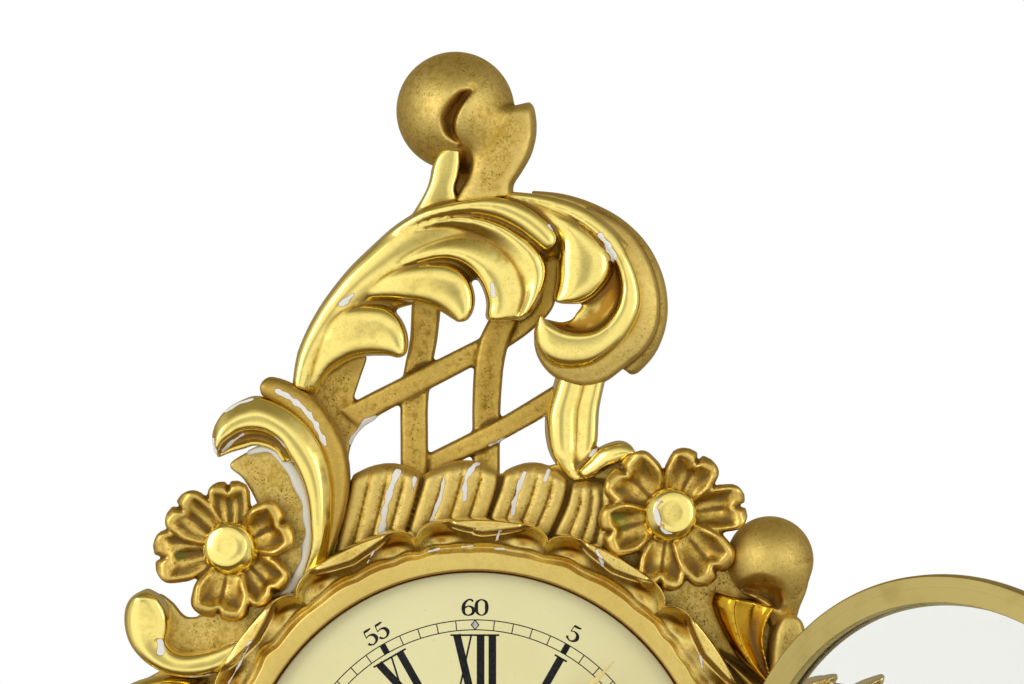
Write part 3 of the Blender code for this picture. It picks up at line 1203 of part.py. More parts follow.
def pendulum(train):
    """Suspension cock on the back plate, rod, lens-shaped bob and rating nut."""
    x, z = train.pallet
    depth = PENDULUM_DEPTH
    jaw = 1.6
    arm = block(x - 5, x + 5, z + 3.2, z + 7.2, depth - 3, BACK_PLATE_DEPTH - FIT)
    gap = block(x - 0.6, x + 0.6, z + 1, z + 9, depth - 4, depth + 3)
    pad = block(x - 9, x + 9, z + 2.6, z + 7.8, BACK_PLATE_DEPTH - FIT - jaw, BACK_PLATE_DEPTH - FIT)
    brass(join(cut(arm, gap), pad), "suspension_cock")
    bob_z = z - PENDULUM_LENGTH
    spring = block(x - 0.15, x + 0.15, z - 8, z + 7, depth - 2, depth + 2)
    nut_top = bob_z - BOB_R - FIT
    foot = nut_top - NUT_HEIGHT - 5
    stem = lathe_upright([(0, foot), (ROD_R, foot), (ROD_R, z - 6.5), (0, z - 6.5)], 10, x, depth)
    steel(join(stem, spring), "pendulum_rod")
    lens = [(0, depth - BOB_THICK / 2), (BOB_R * 0.7, depth - BOB_THICK * 0.34), (BOB_R, depth - 0.4),
            (BOB_R, depth + 0.4), (BOB_R * 0.7, depth + BOB_THICK * 0.34), (0, depth + BOB_THICK / 2)]
    bob = lathe(lens, 24, (x, bob_z))
    bore = lathe_upright([(0, bob_z - BOB_R - 2), (ROD_R + FIT, bob_z - BOB_R - 2),
                          (ROD_R + FIT, bob_z + BOB_R + 2), (0, bob_z + BOB_R + 2)], 10, x, depth)
    brass(cut(bob, bore), "pendulum_bob")
    bore_r = ROD_R + FIT
    nut = [(bore_r, nut_top - NUT_HEIGHT), (NUT_R, nut_top - NUT_HEIGHT), (NUT_R, nut_top - 1.5),
           (NUT_R * 0.6, nut_top), (bore_r, nut_top)]
    brass(lathe_upright(nut, 14, x, depth), "rating_nut")


def main():
    """Builds the whole clock."""
    for obj in list(bpy.data.objects):
        bpy.data.objects.remove(obj)
    frame_board()
    dial_moulding()
    shell_band()
    crest_openwork()
    crest_stem()
    crest_leaf()
    crest_rim()
    carved_balls()
    shoulder_backings()
    left_scrolls()
    flower("left_flower", LEFT_FLOWER_AT, LEFT_PETALS, SCROLL_BACK)
    flower("right_flower", RIGHT_FLOWER_AT, RIGHT_PETALS, SCROLL_BACK + 4.0)
    right_leaves()
    flanks()
    apron()
    case_back()
    dial_group()
    door()
    hinge()
    hands()
    train = Train()
    plates(train)
    escape_back = going_train(train)
    winding(train)
    escapement(train, escape_back)
    motion_work(train)
    pendulum(train)


main()
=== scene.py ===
"""Looks of a carved giltwood wall clock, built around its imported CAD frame.

Sizes are in millimetres in the clock's own frame: x to the right, z up, and a depth that counts from the wall
towards the front. Edges that the photograph shows are traced in its pixels and carried to their depth.
"""

import json
import logging
import math
from dataclasses import dataclass, field
from enum import Enum
from typing import NamedTuple, Sequence

import bmesh
import bpy
import numpy as np
from mathutils import Matrix, Vector

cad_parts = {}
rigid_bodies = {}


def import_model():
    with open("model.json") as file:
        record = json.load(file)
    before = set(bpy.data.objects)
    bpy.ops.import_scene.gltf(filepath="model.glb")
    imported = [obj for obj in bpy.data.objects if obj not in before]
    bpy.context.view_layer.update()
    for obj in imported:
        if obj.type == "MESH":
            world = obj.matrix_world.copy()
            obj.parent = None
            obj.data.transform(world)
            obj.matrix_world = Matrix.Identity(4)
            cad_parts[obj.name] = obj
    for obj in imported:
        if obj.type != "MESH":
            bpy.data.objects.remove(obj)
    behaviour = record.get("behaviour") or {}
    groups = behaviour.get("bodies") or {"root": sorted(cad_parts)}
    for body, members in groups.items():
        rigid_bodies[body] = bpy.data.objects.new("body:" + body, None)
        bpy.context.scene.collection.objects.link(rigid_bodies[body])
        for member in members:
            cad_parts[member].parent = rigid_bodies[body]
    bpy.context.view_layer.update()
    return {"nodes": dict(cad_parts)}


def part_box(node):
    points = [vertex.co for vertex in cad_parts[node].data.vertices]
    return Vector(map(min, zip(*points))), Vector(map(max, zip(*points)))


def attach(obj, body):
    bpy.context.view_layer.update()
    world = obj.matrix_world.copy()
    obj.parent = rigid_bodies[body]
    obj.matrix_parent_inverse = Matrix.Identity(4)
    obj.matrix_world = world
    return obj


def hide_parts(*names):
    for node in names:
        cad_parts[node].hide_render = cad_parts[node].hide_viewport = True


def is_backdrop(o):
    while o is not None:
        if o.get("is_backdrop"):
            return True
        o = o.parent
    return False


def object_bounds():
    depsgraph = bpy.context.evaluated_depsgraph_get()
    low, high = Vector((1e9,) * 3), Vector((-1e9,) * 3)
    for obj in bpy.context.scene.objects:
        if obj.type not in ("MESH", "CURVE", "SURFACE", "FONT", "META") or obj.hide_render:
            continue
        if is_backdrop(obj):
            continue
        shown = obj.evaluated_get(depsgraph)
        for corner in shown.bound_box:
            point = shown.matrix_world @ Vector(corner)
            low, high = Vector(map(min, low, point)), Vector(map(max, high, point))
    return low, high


LOG = logging.getLogger("giltwood_clock")

MM = 0.001
CASE = "case"

Trace = tuple[tuple[float, float], ...]
Colour = tuple[float, float, float]


@dataclass(frozen=True)
class Viewpoint:
    """Where the photograph was taken from, in the clock's frame."""

    x: float = 13.5
    z: float = 169.5
    distance: float = 1085.0
    focal_px: float = 2800.0
    width_px: float = 1024.0
    height_px: float = 684.0
    sensor_mm: float = 36.0

    def carry(self, trace: Trace, depth: float) -> np.ndarray:
        """Carries traced pixels to a depth.

        Args:
            trace: Pixels of the photograph.
            depth: Depth of the plane that they lie on.

        Returns:
            Rows of (x, z).
        """
        scale = (self.distance - depth) / self.focal_px
        pixels = np.array(trace, float)
        x = self.x + (pixels[:, 0] - self.width_px / 2) * scale
        z = self.z + (self.height_px / 2 - pixels[:, 1]) * scale
        return np.column_stack([x, z])


VIEW = Viewpoint()


class Space(Enum):
    """What a trace is written in."""

    PHOTO = "pixels of the photograph"
    CLOCK = "millimetres of the clock's frame"


class Section(Enum):
    """Heights of a lobe's section from its upper edge to its lower one, as shares of its crown."""

    DOME = (0.55, 0.85, 1.0, 0.85, 0.55)
    COVE = (0.72, 0.95, 0.6, 0.36, 0.36, 0.55, 0.5)
    ROLL = (0.25, 0.85, 1.0, 0.75, 0.4, 0.15, 0.0)
    RIDGE = (0.1, 0.7, 1.0, 0.6, 0.2, 0.0)
    LEAF = (0.45, 0.8, 0.95, 0.6, 0.15, 0.6, 0.95, 0.8, 0.45)
    FLAT = (0.9, 1.0, 1.0, 1.0, 0.9)
    FAN = (0.2, 1.0, 0.2, 1.0, 0.2, 1.0, 0.2, 1.0, 0.2, 1.0, 0.2)
    BROAD = (0.72, 0.95, 1.0, 1.0, 0.95, 0.72)
    LOW_CREST = (0.6, 0.7, 0.86, 0.98, 1.0, 0.8)
    HIGH_CREST = (0.55, 0.95, 1.0, 0.88, 0.72, 0.6)
    BAND = (0.4, 0.85, 1.0, 1.0, 0.96, 0.88, 0.7)
    SWELL = (0.5, 0.78, 0.93, 1.0, 0.96, 0.82, 0.45)
    STEM = (0.35, 0.85, 1.0, 0.92, 0.7, 0.84, 0.9, 0.7)
    SAIL = (0.2, 0.7, 1.0, 0.72, 0.5, 0.55, 0.95)
    RAMP = (0.2, 0.25, 0.4, 0.7, 1.0)
    FACE = (0.5, 0.84, 0.94, 0.98, 1.0, 1.0, 0.9)
    SLOPE = (0.6, 0.9, 1.0, 1.0, 0.92, 0.76, 0.52, 0.28, 0.1)
    LEAN = (0.3, 0.5, 0.7, 0.88, 0.98, 1.0, 0.98, 0.9, 0.5)
    CUSHION = (0.5, 0.82, 0.94, 0.99, 1.0, 0.98, 0.92, 0.8, 0.5)

    def at(self, across: np.ndarray) -> np.ndarray:
        """Height at each share of the width."""
        return resample(np.array(self.value, float), across)


class Solid(NamedTuple):
    """Points as rows of (x, z, depth), and the faces that join them."""

    points: np.ndarray
    faces: list


def resample(values: np.ndarray, at: np.ndarray) -> np.ndarray:
    """Reads a smooth curve through evenly spaced values.

    Args:
        values: One value, or one row, per control point.
        at: Places on the curve from 0 to 1.

    Returns:
        The curve's values at those places.
    """
    last = len(values) - 1
    run = np.clip(at, 0.0, 1.0) * last
    k = np.minimum(run.astype(int), last - 1)
    t = run - k
    if values.ndim > 1:
        t = t[..., None]
    a, b = values[np.maximum(k - 1, 0)], values[k]
    c, d = values[k + 1], values[np.minimum(k + 2, last)]
    return 0.5 * (
        2 * b + (c - a) * t + (2 * a - 5 * b + 4 * c - d) * t**2 + (3 * b - a - 3 * c + d) * t**3
    )


def rounding(inward: np.ndarray, share: float) -> np.ndarray:
    """A quarter round: 0 at an edge, 1 once a share of the way in from it."""
    away = 1.0 - np.clip(inward / share, 0.0, 1.0)
    return np.sqrt(np.clip(1.0 - away**2, 0.0, 1.0))


def smoothstep(value: np.ndarray, low: float, high: float) -> np.ndarray:
    """A soft step from 0 at low to 1 at high."""
    t = np.clip((value - low) / (high - low), 0.0, 1.0)
    return t * t * (3 - 2 * t)


def grid_solid(front: np.ndarray, back: np.ndarray) -> Solid:
    """Closes two grids of points into one solid.

    Args:
        front: Rows and columns of (x, z, depth) on the face.
        back: The same on the back.

    Returns:
        The solid, with a wall along each of the four sides.
    """
    rows, columns = front.shape[:2]
    points = np.concatenate([front.reshape(-1, 3), back.reshape(-1, 3)])
    behind = rows * columns
    faces = []
    for i in range(rows - 1):
        for j in range(columns - 1):
            a = i * columns + j
            ring = (a, a + 1, a + columns + 1, a + columns)
            faces.append(ring)
            faces.append(tuple(behind + k for k in reversed(ring)))
    rim = [j for j in range(columns)]
    rim += [i * columns + columns - 1 for i in range(1, rows)]
    rim += [(rows - 1) * columns + j for j in range(columns - 2, -1, -1)]
    rim += [i * columns for i in range(rows - 2, 0, -1)]
    for k in range(len(rim)):
        a, b = rim[k - 1], rim[k]
        faces.append((b, a, behind + a, behind + b))
    return Solid(points, faces)


@dataclass(frozen=True)
class Lobe:
    """A carved lobe between two edges that run side by side from its root to its tip."""

    upper: Trace
    lower: Trace
    foot: float
    height: float
    crown: float
    section: Section = Section.DOME
    swell: tuple[float, ...] = (1.0, 1.0)
    roll: float = 0.14
    nose: float = 0.1
    dome_tip: float = 0.0
    space: Space = Space.PHOTO
    columns: int = 25
    steps: int = 9

    def edge(self, trace: Trace, rows: int) -> np.ndarray:
        """One edge of the lobe as so many points."""
        if self.space is Space.PHOTO:
            placed = VIEW.carry(trace, self.foot + self.height)
        else:
            placed = np.array(trace, float)
        return resample(placed, np.linspace(0, 1, rows))

    def solid(self) -> Solid:
        """The lobe as a closed pillow on its flat foot."""
        rows = self.steps * (len(self.upper) - 1) + 1
        upper = self.edge(self.upper, rows)[:, None, :]
        lower = self.edge(self.lower, rows)[:, None, :]
        along = np.linspace(0, 1, rows)[:, None]
        across = 0.5 - 0.5 * np.cos(np.pi * np.linspace(0, 1, self.columns))[None, :]
        plane = upper + (lower - upper) * across[..., None]
        shape = self.section.at(across) + 0.0 * along
        tip = smoothstep(along, 0.55, 0.95) * self.dome_tip
        shape = shape * (1 - tip) + Section.DOME.at(across) * tip
        swell = resample(np.array(self.swell, float), along)
        edge = rounding(np.minimum(across, 1 - across), self.roll)
        edge = edge * (rounding(1 - along, self.nose) if self.nose else 1.0)
        depth = self.foot + (self.height * swell + self.crown * shape * swell) * edge
        front = np.dstack([plane, depth])
        back = np.dstack([plane, np.full_like(depth, self.foot - 0.02)])
        return grid_solid(front, back)


def slab(trace: Trace, foot: float, front: float, space: Space = Space.PHOTO, steps: int = 5) -> Solid:
    """A flat ground with a smooth outline.

    Args:
        trace: Points of the closed outline.
        foot: Depth of its back.
        front: Depth of its face.
        space: What the trace is written in.
        steps: Points on the outline for each traced one.

    Returns:
        The ground as a closed solid.
    """
    placed = VIEW.carry(trace, front) if space is Space.PHOTO else np.array(trace, float)
    loop = np.concatenate([placed[-1:], placed, placed[:2]])
    count = len(placed)
    at = (1 + np.arange(count * steps) / steps) / (count + 2)
    outline = resample(loop, at)
    size = len(outline)
    rings = [np.column_stack([outline, np.full(size, depth)]) for depth in (foot, front)]
    faces = [tuple(range(size)), tuple(range(2 * size - 1, size - 1, -1))]
    for k in range(size):
        a, b = (k - 1) % size, k
        faces.append((b, a, size + a, size + b))
    return Solid(np.concatenate(rings), faces)


def turned(profile: Sequence[tuple[float, float]], segments: int, centre: tuple = (0.0, 0.0)) -> Solid:
    """A turned solid about an axis that runs from back to front.

    Args:
        profile: A closed loop of (radius, depth).
        segments: Steps round the axis.
        centre: Where the axis is, as (x, z).

    Returns:
        The solid; points on the axis coincide until they are merged.
    """
    turn = np.linspace(0, 2 * np.pi, segments, endpoint=False)
    radius = np.array([r for r, _ in profile])
    depth = np.array([d for _, d in profile])
    x = centre[0] + np.outer(np.sin(turn), radius)
    z = centre[1] + np.outer(np.cos(turn), radius)
    points = np.dstack([x, z, np.broadcast_to(depth, x.shape)]).reshape(-1, 3)
    count = len(profile)
    faces = []
    for i in range(segments):
        for j in range(count):
            a, b = i * count + j, i * count + (j + 1) % count
            c, d = ((i + 1) % segments) * count + (j + 1) % count, ((i + 1) % segments) * count + j
            faces.append((a, b, c, d))
    return Solid(points, faces)


def arc(centre: tuple, radius: float, start: float, stop: float, count: int) -> list[tuple[float, float]]:
    """Points of an arc, with angles in degrees from the first axis."""
    turns = np.radians(np.linspace(start, stop, count))
    return [(centre[0] + radius * math.cos(t), centre[1] + radius * math.sin(t)) for t in turns]


def to_mesh(name: str, solids: Sequence[Solid]) -> bpy.types.Mesh:
    """Joins solids into one mesh in metres, with merged points and outward faces.

    Args:
        name: Name of the mesh.
        solids: Solids in millimetres.

    Returns:
        The mesh.
    """
    points, faces = [], []
    for solid in solids:
        start = len(points)
        points += [(x * MM, -depth * MM, z * MM) for x, z, depth in solid.points]
        faces += [tuple(start + k for k in face) for face in solid.faces]
    mesh = bpy.data.meshes.new(name)
    mesh.from_pydata(points, [], faces)
    work = bmesh.new()
    work.from_mesh(mesh)
    bmesh.ops.remove_doubles(work, verts=work.verts[:], dist=0.0005 * MM)
    bmesh.ops.dissolve_degenerate(work, edges=work.edges[:], dist=0.0002 * MM)
    bmesh.ops.recalc_face_normals(work, faces=work.faces[:])
    work.to_mesh(mesh)
    work.free()
    return mesh


def show(name: str, mesh: bpy.types.Mesh) -> bpy.types.Object:
    """Puts a mesh into the scene as an object at the origin."""
    obj = bpy.data.objects.new(name, mesh)
    bpy.context.scene.collection.objects.link(obj)
    return obj


def applied(obj: bpy.types.Object) -> bpy.types.Object:
    """Turns an object's modifiers into plain mesh."""
    bpy.context.view_layer.update()
    graph = bpy.context.evaluated_depsgraph_get()
    mesh = bpy.data.meshes.new_from_object(obj.evaluated_get(graph))
    mesh.name = obj.name
    obj.modifiers.clear()
    obj.data = mesh
    return obj


RELIEF_SCALES = ((1.8, 0.3), (5.0, 1.1))


class SpreadMark(NamedTuple):
    """A line and how far a mark spreads from it: where the gilding is gone down to the gesso, or where painted shade
    darkens it.
    """

    path: Trace
    reach: float
    strength: float = 1.0


def distance_to_path(points: np.ndarray, path: np.ndarray) -> np.ndarray:
    """Distance of each (x, z) row from a line of points."""
    nearest = np.full(len(points), np.inf)
    if len(path) == 1:
        return np.linalg.norm(points - path[0], axis=1)
    for a, b in zip(path, path[1:]):
        along = b - a
        share = np.clip((points - a) @ along / max(along @ along, 1e-9), 0, 1)
        nearest = np.minimum(nearest, np.linalg.norm(points - a - share[:, None] * along, axis=1))
    return nearest


RAGGED_WAVES = ((0.9, 0.3, 0.5), (-0.5, 0.4, 1.1), (1.5, -0.3, -0.8))


def write_relief(
    obj: bpy.types.Object, losses: Sequence[SpreadMark], space: Space = Space.PHOTO, shade_and_stains: Sequence[SpreadMark] = ()
) -> None:
    """Stores where a carving is proud, hollow, bare or darkened with painted shade, for its finish to read.

    Args:
        obj: The carved piece.
        losses: Places where the gilding is gone.
        space: What the paths are written in.
        shade_and_stains: Places darkened with painted shade and painted reflections, and a few dark streaks.
    """
    mesh = obj.data
    count = len(mesh.vertices)
    points = np.empty(count * 3, np.float64)
    mesh.vertices.foreach_get("co", points)
    points = points.reshape(-1, 3) / MM
    normals = np.empty(count * 3, np.float64)
    mesh.vertices.foreach_get("normal", normals)
    normals = normals.reshape(-1, 3)
    pairs = np.empty(len(mesh.edges) * 2, np.int64)
    mesh.edges.foreach_get("vertices", pairs)
    pairs = pairs.reshape(-1, 2)
    first, second = pairs[:, 0], pairs[:, 1]
    degree = np.maximum(np.bincount(first, minlength=count) + np.bincount(second, minlength=count), 1)
    span = np.linalg.norm(points[first] - points[second], axis=1).mean()
    soft = points.copy()
    proud = np.zeros(count)
    rounds = [max(2, min(80, round((reach / span) ** 2))) for reach, _ in RELIEF_SCALES]
    for step in range(1, max(rounds) + 1):
        total = np.empty_like(soft)
        for k in range(3):
            total[:, k] = np.bincount(first, soft[second, k], count) + np.bincount(second, soft[first, k],
                                                                                   count)
        soft = 0.4 * soft + 0.6 * total / degree[:, None]
        for wanted, (_, full) in zip(rounds, RELIEF_SCALES):
            if step == wanted:
                proud += np.einsum("ij,ij->i", points - soft, normals) / full
    waves = [np.sin(points @ np.array(wave)) for wave in RAGGED_WAVES]
    ragged = 1.0 + 0.16 * np.sum(waves, axis=0)
    facing = smoothstep(-normals[:, 1], -0.1, 0.25)
    marks = {"bare": np.zeros(count)}
    # The stain layer holds painted shade and painted reflections, with a few dark streaks.
    if shade_and_stains:
        marks["stain"] = np.zeros(count)
    for name, places in (("bare", losses), ("stain", shade_and_stains)):
        for place in places:
            path = VIEW.carry(place.path, 64.0) if space is Space.PHOTO else np.array(place.path, float)
            away = distance_to_path(points[:, (0, 2)], path) * ragged
            near = facing * place.strength * np.clip(1.0 - away / place.reach, 0, 1)
            marks[name] = np.maximum(marks[name], near)
    marks.update(proud=np.clip(proud, 0, 2), hollow=np.clip(-proud, 0, 2))
    for name, values in marks.items():
        layer = mesh.attributes.new(name, "FLOAT", "POINT")
        layer.data.foreach_set("value", values.astype(np.float32))


class Graph:
    """A node tree with short calls for adding and joining its nodes."""

    def __init__(self, tree: bpy.types.NodeTree) -> None:
        """Holds the tree."""
        self.tree = tree

    def add(self, kind: str, inputs: dict | None = None, **settings: object) -> bpy.types.Node:
        """Adds a node.

        Args:
            kind: The node's type.
            inputs: What each input gets: a socket to join, or a value.
            settings: The node's own settings.

        Returns:
            The node.
        """
        node = self.tree.nodes.new(kind)
        for key, value in settings.items():
            setattr(node, key, value)
        for key, value in (inputs or {}).items():
            if isinstance(value, bpy.types.NodeSocket):
                self.tree.links.new(value, node.inputs[key])
            else:
                node.inputs[key].default_value = value
        return node

    def maths(self, operation: str, a: object, b: object = 0.0) -> bpy.types.NodeSocket:
        """Result of a sum on two values."""
        return self.add("ShaderNodeMath", {0: a, 1: b}, operation=operation).outputs[0]

    def step(self, value: object, low: float, high: float) -> bpy.types.NodeSocket:
        """A soft step from 0 at low to 1 at high."""
        inputs = {"Value": value, "From Min": low, "From Max": high}
        return self.add("ShaderNodeMapRange", inputs, interpolation_type="SMOOTHSTEP").outputs[0]

    def mix(self, share: object, a: object, b: object) -> bpy.types.NodeSocket:
        """A colour between two others."""
        node = self.add("ShaderNodeMix", {0: share, 6: rgba(a), 7: rgba(b)}, data_type="RGBA")
        return node.outputs[2]

    def noise(self, where: object, scale: float, detail: float = 3.0) -> bpy.types.NodeSocket:
        """Soft noise at a scale in cells per metre."""
        inputs = {"Vector": where, "Scale": scale, "Detail": detail}
        return self.add("ShaderNodeTexNoise", inputs).outputs[0]

    def shifted(self, where: object, scale: tuple, move: tuple = (0.0, 0.0, 0.0)) -> bpy.types.NodeSocket:
        """Coordinates stretched and moved."""
        return self.add("ShaderNodeMapping", {"Vector": where, "Scale": scale, "Location": move}).outputs[0]

    def attribute(self, name: str) -> bpy.types.NodeSocket:
        """A value stored on the piece's points."""
        return self.add("ShaderNodeAttribute", attribute_name=name).outputs["Fac"]


def rgba(colour: object) -> object:
    """A colour with its alpha; a socket stays as it is."""
    return colour if isinstance(colour, bpy.types.NodeSocket) else (*colour[:3], 1.0)


class EffectGroup:
    """A shader node group with named inputs and outputs, built once."""

    name = "effect"
    colours: tuple[str, ...] = ()
    values: tuple[str, ...] = ()
    outputs: tuple[tuple[str, str], ...] = ()

    def __init__(self) -> None:
        """Builds the group's sockets and nodes."""
        self.tree = bpy.data.node_groups.new(self.name, "ShaderNodeTree")
        for name in self.colours:
            self.tree.interface.new_socket(name, in_out="INPUT", socket_type="NodeSocketColor")
        for name in self.values:
            self.tree.interface.new_socket(name, in_out="INPUT", socket_type="NodeSocketFloat")
        for name, kind in self.outputs:
            self.tree.interface.new_socket(name, in_out="OUTPUT", socket_type=kind)
        graph = Graph(self.tree)
        given = self.tree.nodes.new("NodeGroupInput").outputs
        result = self.tree.nodes.new("NodeGroupOutput").inputs
        for name, socket in self.build(graph, given).items():
            self.tree.links.new(socket, result[name])

    def build(self, graph: Graph, given: object) -> dict:
        """Sockets for the group's outputs; each group has its own."""
        raise NotImplementedError


class GildingGroup(EffectGroup):
    """Leaf over bole over gesso, toned darker in the hollows as painted shade with some dirt, lightened on proud
    edges partly as a painted highlight, speckled, and rubbed where the carving is proud.
    """

    name = "worn_gilding"
    colours = ("Leaf", "Amber", "Grime_and_shade", "Bole", "Gesso", "Verdigris")
    values = ("Polish", "Grain", "Speckle", "Wear", "Tone", "Spots")
    outputs = (
        ("Color", "NodeSocketColor"),
        ("Roughness", "NodeSocketFloat"),
        ("Metallic", "NodeSocketFloat"),
        ("Height", "NodeSocketFloat"),
    )

    def build(self, graph: Graph, given: object) -> dict:
        """Builds the layers from the leaf down to the gesso."""
        where = graph.add("ShaderNodeTexCoord").outputs["Object"]
        proud = graph.attribute("proud")
        hollow = graph.attribute("hollow")
        bare = graph.attribute("bare")
        broad = graph.noise(where, 30.0, 3.0)
        cloud = graph.noise(where, 130.0, 5.0)
        chip = graph.noise(graph.shifted(where, (1.0, 1.0, 1.0), (0.31, 0.17, 0.53)), 210.0, 5.0)
        mottle = graph.noise(graph.shifted(where, (1.0, 1.0, 1.0), (0.11, 0.43, 0.29)), 420.0, 4.0)
        fine = graph.noise(where, 1100.0, 2.0)
        matt = graph.attribute("matt")
        # The stain layer marks painted shade and painted reflections, with a few dark streaks.
        stain = graph.attribute("stain")
        pits = graph.noise(where, 1500.0, 1.0)
        toned = graph.maths("MULTIPLY", graph.step(broad, 0.42, 0.7), given["Tone"])
        colour = graph.mix(toned, given["Leaf"], given["Amber"])
        blotch = graph.maths("MULTIPLY", graph.step(mottle, 0.46, 0.66), given["Speckle"])
        colour = graph.mix(graph.maths("MULTIPLY", blotch, 0.7), colour, given["Amber"])
        grit = graph.maths("MULTIPLY", graph.step(fine, 0.42, 0.62),
                           graph.maths("MULTIPLY", given["Grain"], 0.3))
        colour = graph.mix(grit, colour, given["Amber"])
        # Toned darker towards amber and then grime the deeper the hollow, with a random cloud: painted shade in the
        # hollows, together with some dirt.
        deep = graph.maths("ADD", hollow, graph.maths("MULTIPLY", graph.maths("SUBTRACT", cloud, 0.5), 0.5))
        colour = graph.mix(graph.maths("MULTIPLY", graph.step(deep, 0.08, 0.8), 0.8), colour, given["Amber"])
        dirt_and_hollow_shade = graph.step(deep, 0.5, 1.15)
        colour = graph.mix(graph.maths("MULTIPLY", dirt_and_hollow_shade, 0.75), colour, given["Grime_and_shade"])
        speck = graph.maths("MULTIPLY", graph.step(pits, 0.59, 0.69), graph.step(cloud, 0.36, 0.6))
        speck = graph.maths("MULTIPLY", speck, given["Speckle"])
        colour = graph.mix(speck, colour, given["Grime_and_shade"])
        green = graph.noise(graph.shifted(where, (1.0, 1.0, 1.0), (0.7, 0.2, 0.9)), 75.0, 4.0)
        green = graph.maths("MULTIPLY", graph.step(green, 0.6, 0.68),
                            graph.step(graph.maths("ADD", hollow, stain), 0.1, 0.4))
        green = graph.maths("MULTIPLY", green, given["Spots"])
        # Darkened towards a shaded amber where the stain layer paints shade and reflections, and in random dark
        # stains where the chip noise is high.
        shade_and_stain = graph.maths("MULTIPLY",
                              graph.step(graph.maths("ADD", stain, graph.maths("SUBTRACT", chip, 0.5)), 0.1,
                                         0.7), 0.85)
        colour = graph.mix(shade_and_stain, colour, (0.34, 0.15, 0.008))
        colour = graph.mix(green, colour, given["Verdigris"])
        # Back to clean leaf where the carving is proud: leaf rubbed clean, and in part a painted highlight on the
        # raised edges.
        rim = graph.maths("MULTIPLY", graph.step(proud, 0.1, 0.7), 0.65)
        colour = graph.mix(rim, colour, given["Leaf"])
        ragged = graph.maths("MULTIPLY", graph.maths("SUBTRACT", chip, 0.5), 1.1)
        rubbed = graph.maths("ADD", graph.maths("MULTIPLY", proud, given["Wear"]), ragged)
        open_ground = graph.maths("ADD", rubbed, bare)
        bole = graph.step(open_ground, 0.42, 0.5)
        gesso = graph.step(open_ground, 0.52, 0.6)
        colour = graph.mix(graph.maths("MULTIPLY", bole, 0.7), colour, given["Bole"])
        colour = graph.mix(gesso, colour, given["Gesso"])
        dull = graph.maths("ADD", graph.maths("MULTIPLY", gesso, 0.55), graph.maths("MULTIPLY", dirt_and_hollow_shade, 0.3))
        rough = graph.maths("ADD", given["Polish"],
                            graph.maths("MULTIPLY", fine, graph.maths("MULTIPLY", given["Grain"], 0.16)))
        rough = graph.maths("ADD", rough, graph.maths("ADD", dull, graph.maths("MULTIPLY", matt, 0.24)))
        covered = graph.maths("ADD", gesso, graph.maths("MULTIPLY", dirt_and_hollow_shade, 0.5))
        metal = graph.maths("MAXIMUM", graph.maths("SUBTRACT", 1.0, covered), 0.0)
        height = graph.maths("MULTIPLY", graph.maths("ADD", fine, graph.maths("MULTIPLY", pits, 0.6)),
                             given["Grain"])
        height = graph.maths("ADD", height, graph.maths("MULTIPLY", cloud, 0.5))
        height = graph.maths("SUBTRACT", height, graph.maths("MULTIPLY", gesso, 0.7))
        return {"Color": colour, "Roughness": rough, "Metallic": metal, "Height": height}


class MetalGroup(EffectGroup):
    """Drawn or turned metal: fine lines, handling marks and a little tarnish."""

    name = "worked_metal"
    colours = ("Bright", "Tarnish")
    values = ("Polish", "Lines")
    outputs = (("Color", "NodeSocketColor"), ("Roughness", "NodeSocketFloat"), ("Height", "NodeSocketFloat"))

    def build(self, graph: Graph, given: object) -> dict:
        """Builds the lines and the tarnish."""
        where = graph.add("ShaderNodeTexCoord").outputs["Object"]
        radius = graph.attribute("turning")
        along = graph.add("ShaderNodeCombineXYZ", {"X": radius, "Y": radius, "Z": radius}).outputs[0]
        lines = graph.noise(graph.shifted(along, (1.0, 1.0, 1.0)), 2600.0, 2.0)
        scratch = graph.noise(graph.shifted(where, (1.0, 1.0, 9.0)), 320.0, 3.0)
        cloud = graph.noise(where, 55.0, 4.0)
        marks = graph.add("ShaderNodeMix", {0: given["Lines"], 2: scratch, 3: lines}).outputs[0]
        stain = graph.maths("MULTIPLY", graph.step(cloud, 0.45, 0.75), 0.55)
        stain = graph.maths("ADD", stain, graph.maths("MULTIPLY", graph.maths("SUBTRACT", marks, 0.5), 0.5))
        colour = graph.mix(graph.maths("MAXIMUM", stain, 0.0), given["Bright"], given["Tarnish"])
        rough = graph.maths("ADD", given["Polish"], graph.maths("MULTIPLY", cloud, 0.14))
        rough = graph.maths("ADD", rough, graph.maths("MULTIPLY", marks, 0.1))
        return {"Color": colour, "Roughness": rough, "Height": marks}


class WoodGroup(EffectGroup):
    """Planed softwood with upright grain, age and a few dark pores."""

    name = "planed_wood"
    colours = ("Early", "Late")
    values = ("Rings",)
    outputs = (("Color", "NodeSocketColor"), ("Roughness", "NodeSocketFloat"), ("Height", "NodeSocketFloat"))

    def build(self, graph: Graph, given: object) -> dict:
        """Builds the grain from stretched noise."""
        where = graph.add("ShaderNodeTexCoord").outputs["Object"]
        drift = graph.noise(graph.shifted(where, (1.0, 1.0, 0.12)), 28.0, 2.0)
        rings = graph.maths("SINE", graph.maths("MULTIPLY", drift, given["Rings"]))
        rings = graph.step(rings, -0.3, 0.95)
        fibre = graph.noise(graph.shifted(where, (1.0, 1.0, 0.03)), 1400.0, 3.0)
        grain = graph.maths("ADD", graph.maths("MULTIPLY", rings, 0.65), graph.maths("MULTIPLY", fibre, 0.4))
        colour = graph.mix(grain, given["Early"], given["Late"])
        stain = graph.step(graph.noise(where, 20.0, 4.0), 0.5, 0.75)
        colour = graph.mix(graph.maths("MULTIPLY", stain, 0.4), colour, (0.07, 0.04, 0.02))
        rough = graph.maths("ADD", 0.62, graph.maths("MULTIPLY", fibre, 0.2))
        return {"Color": colour, "Roughness": rough, "Height": grain}


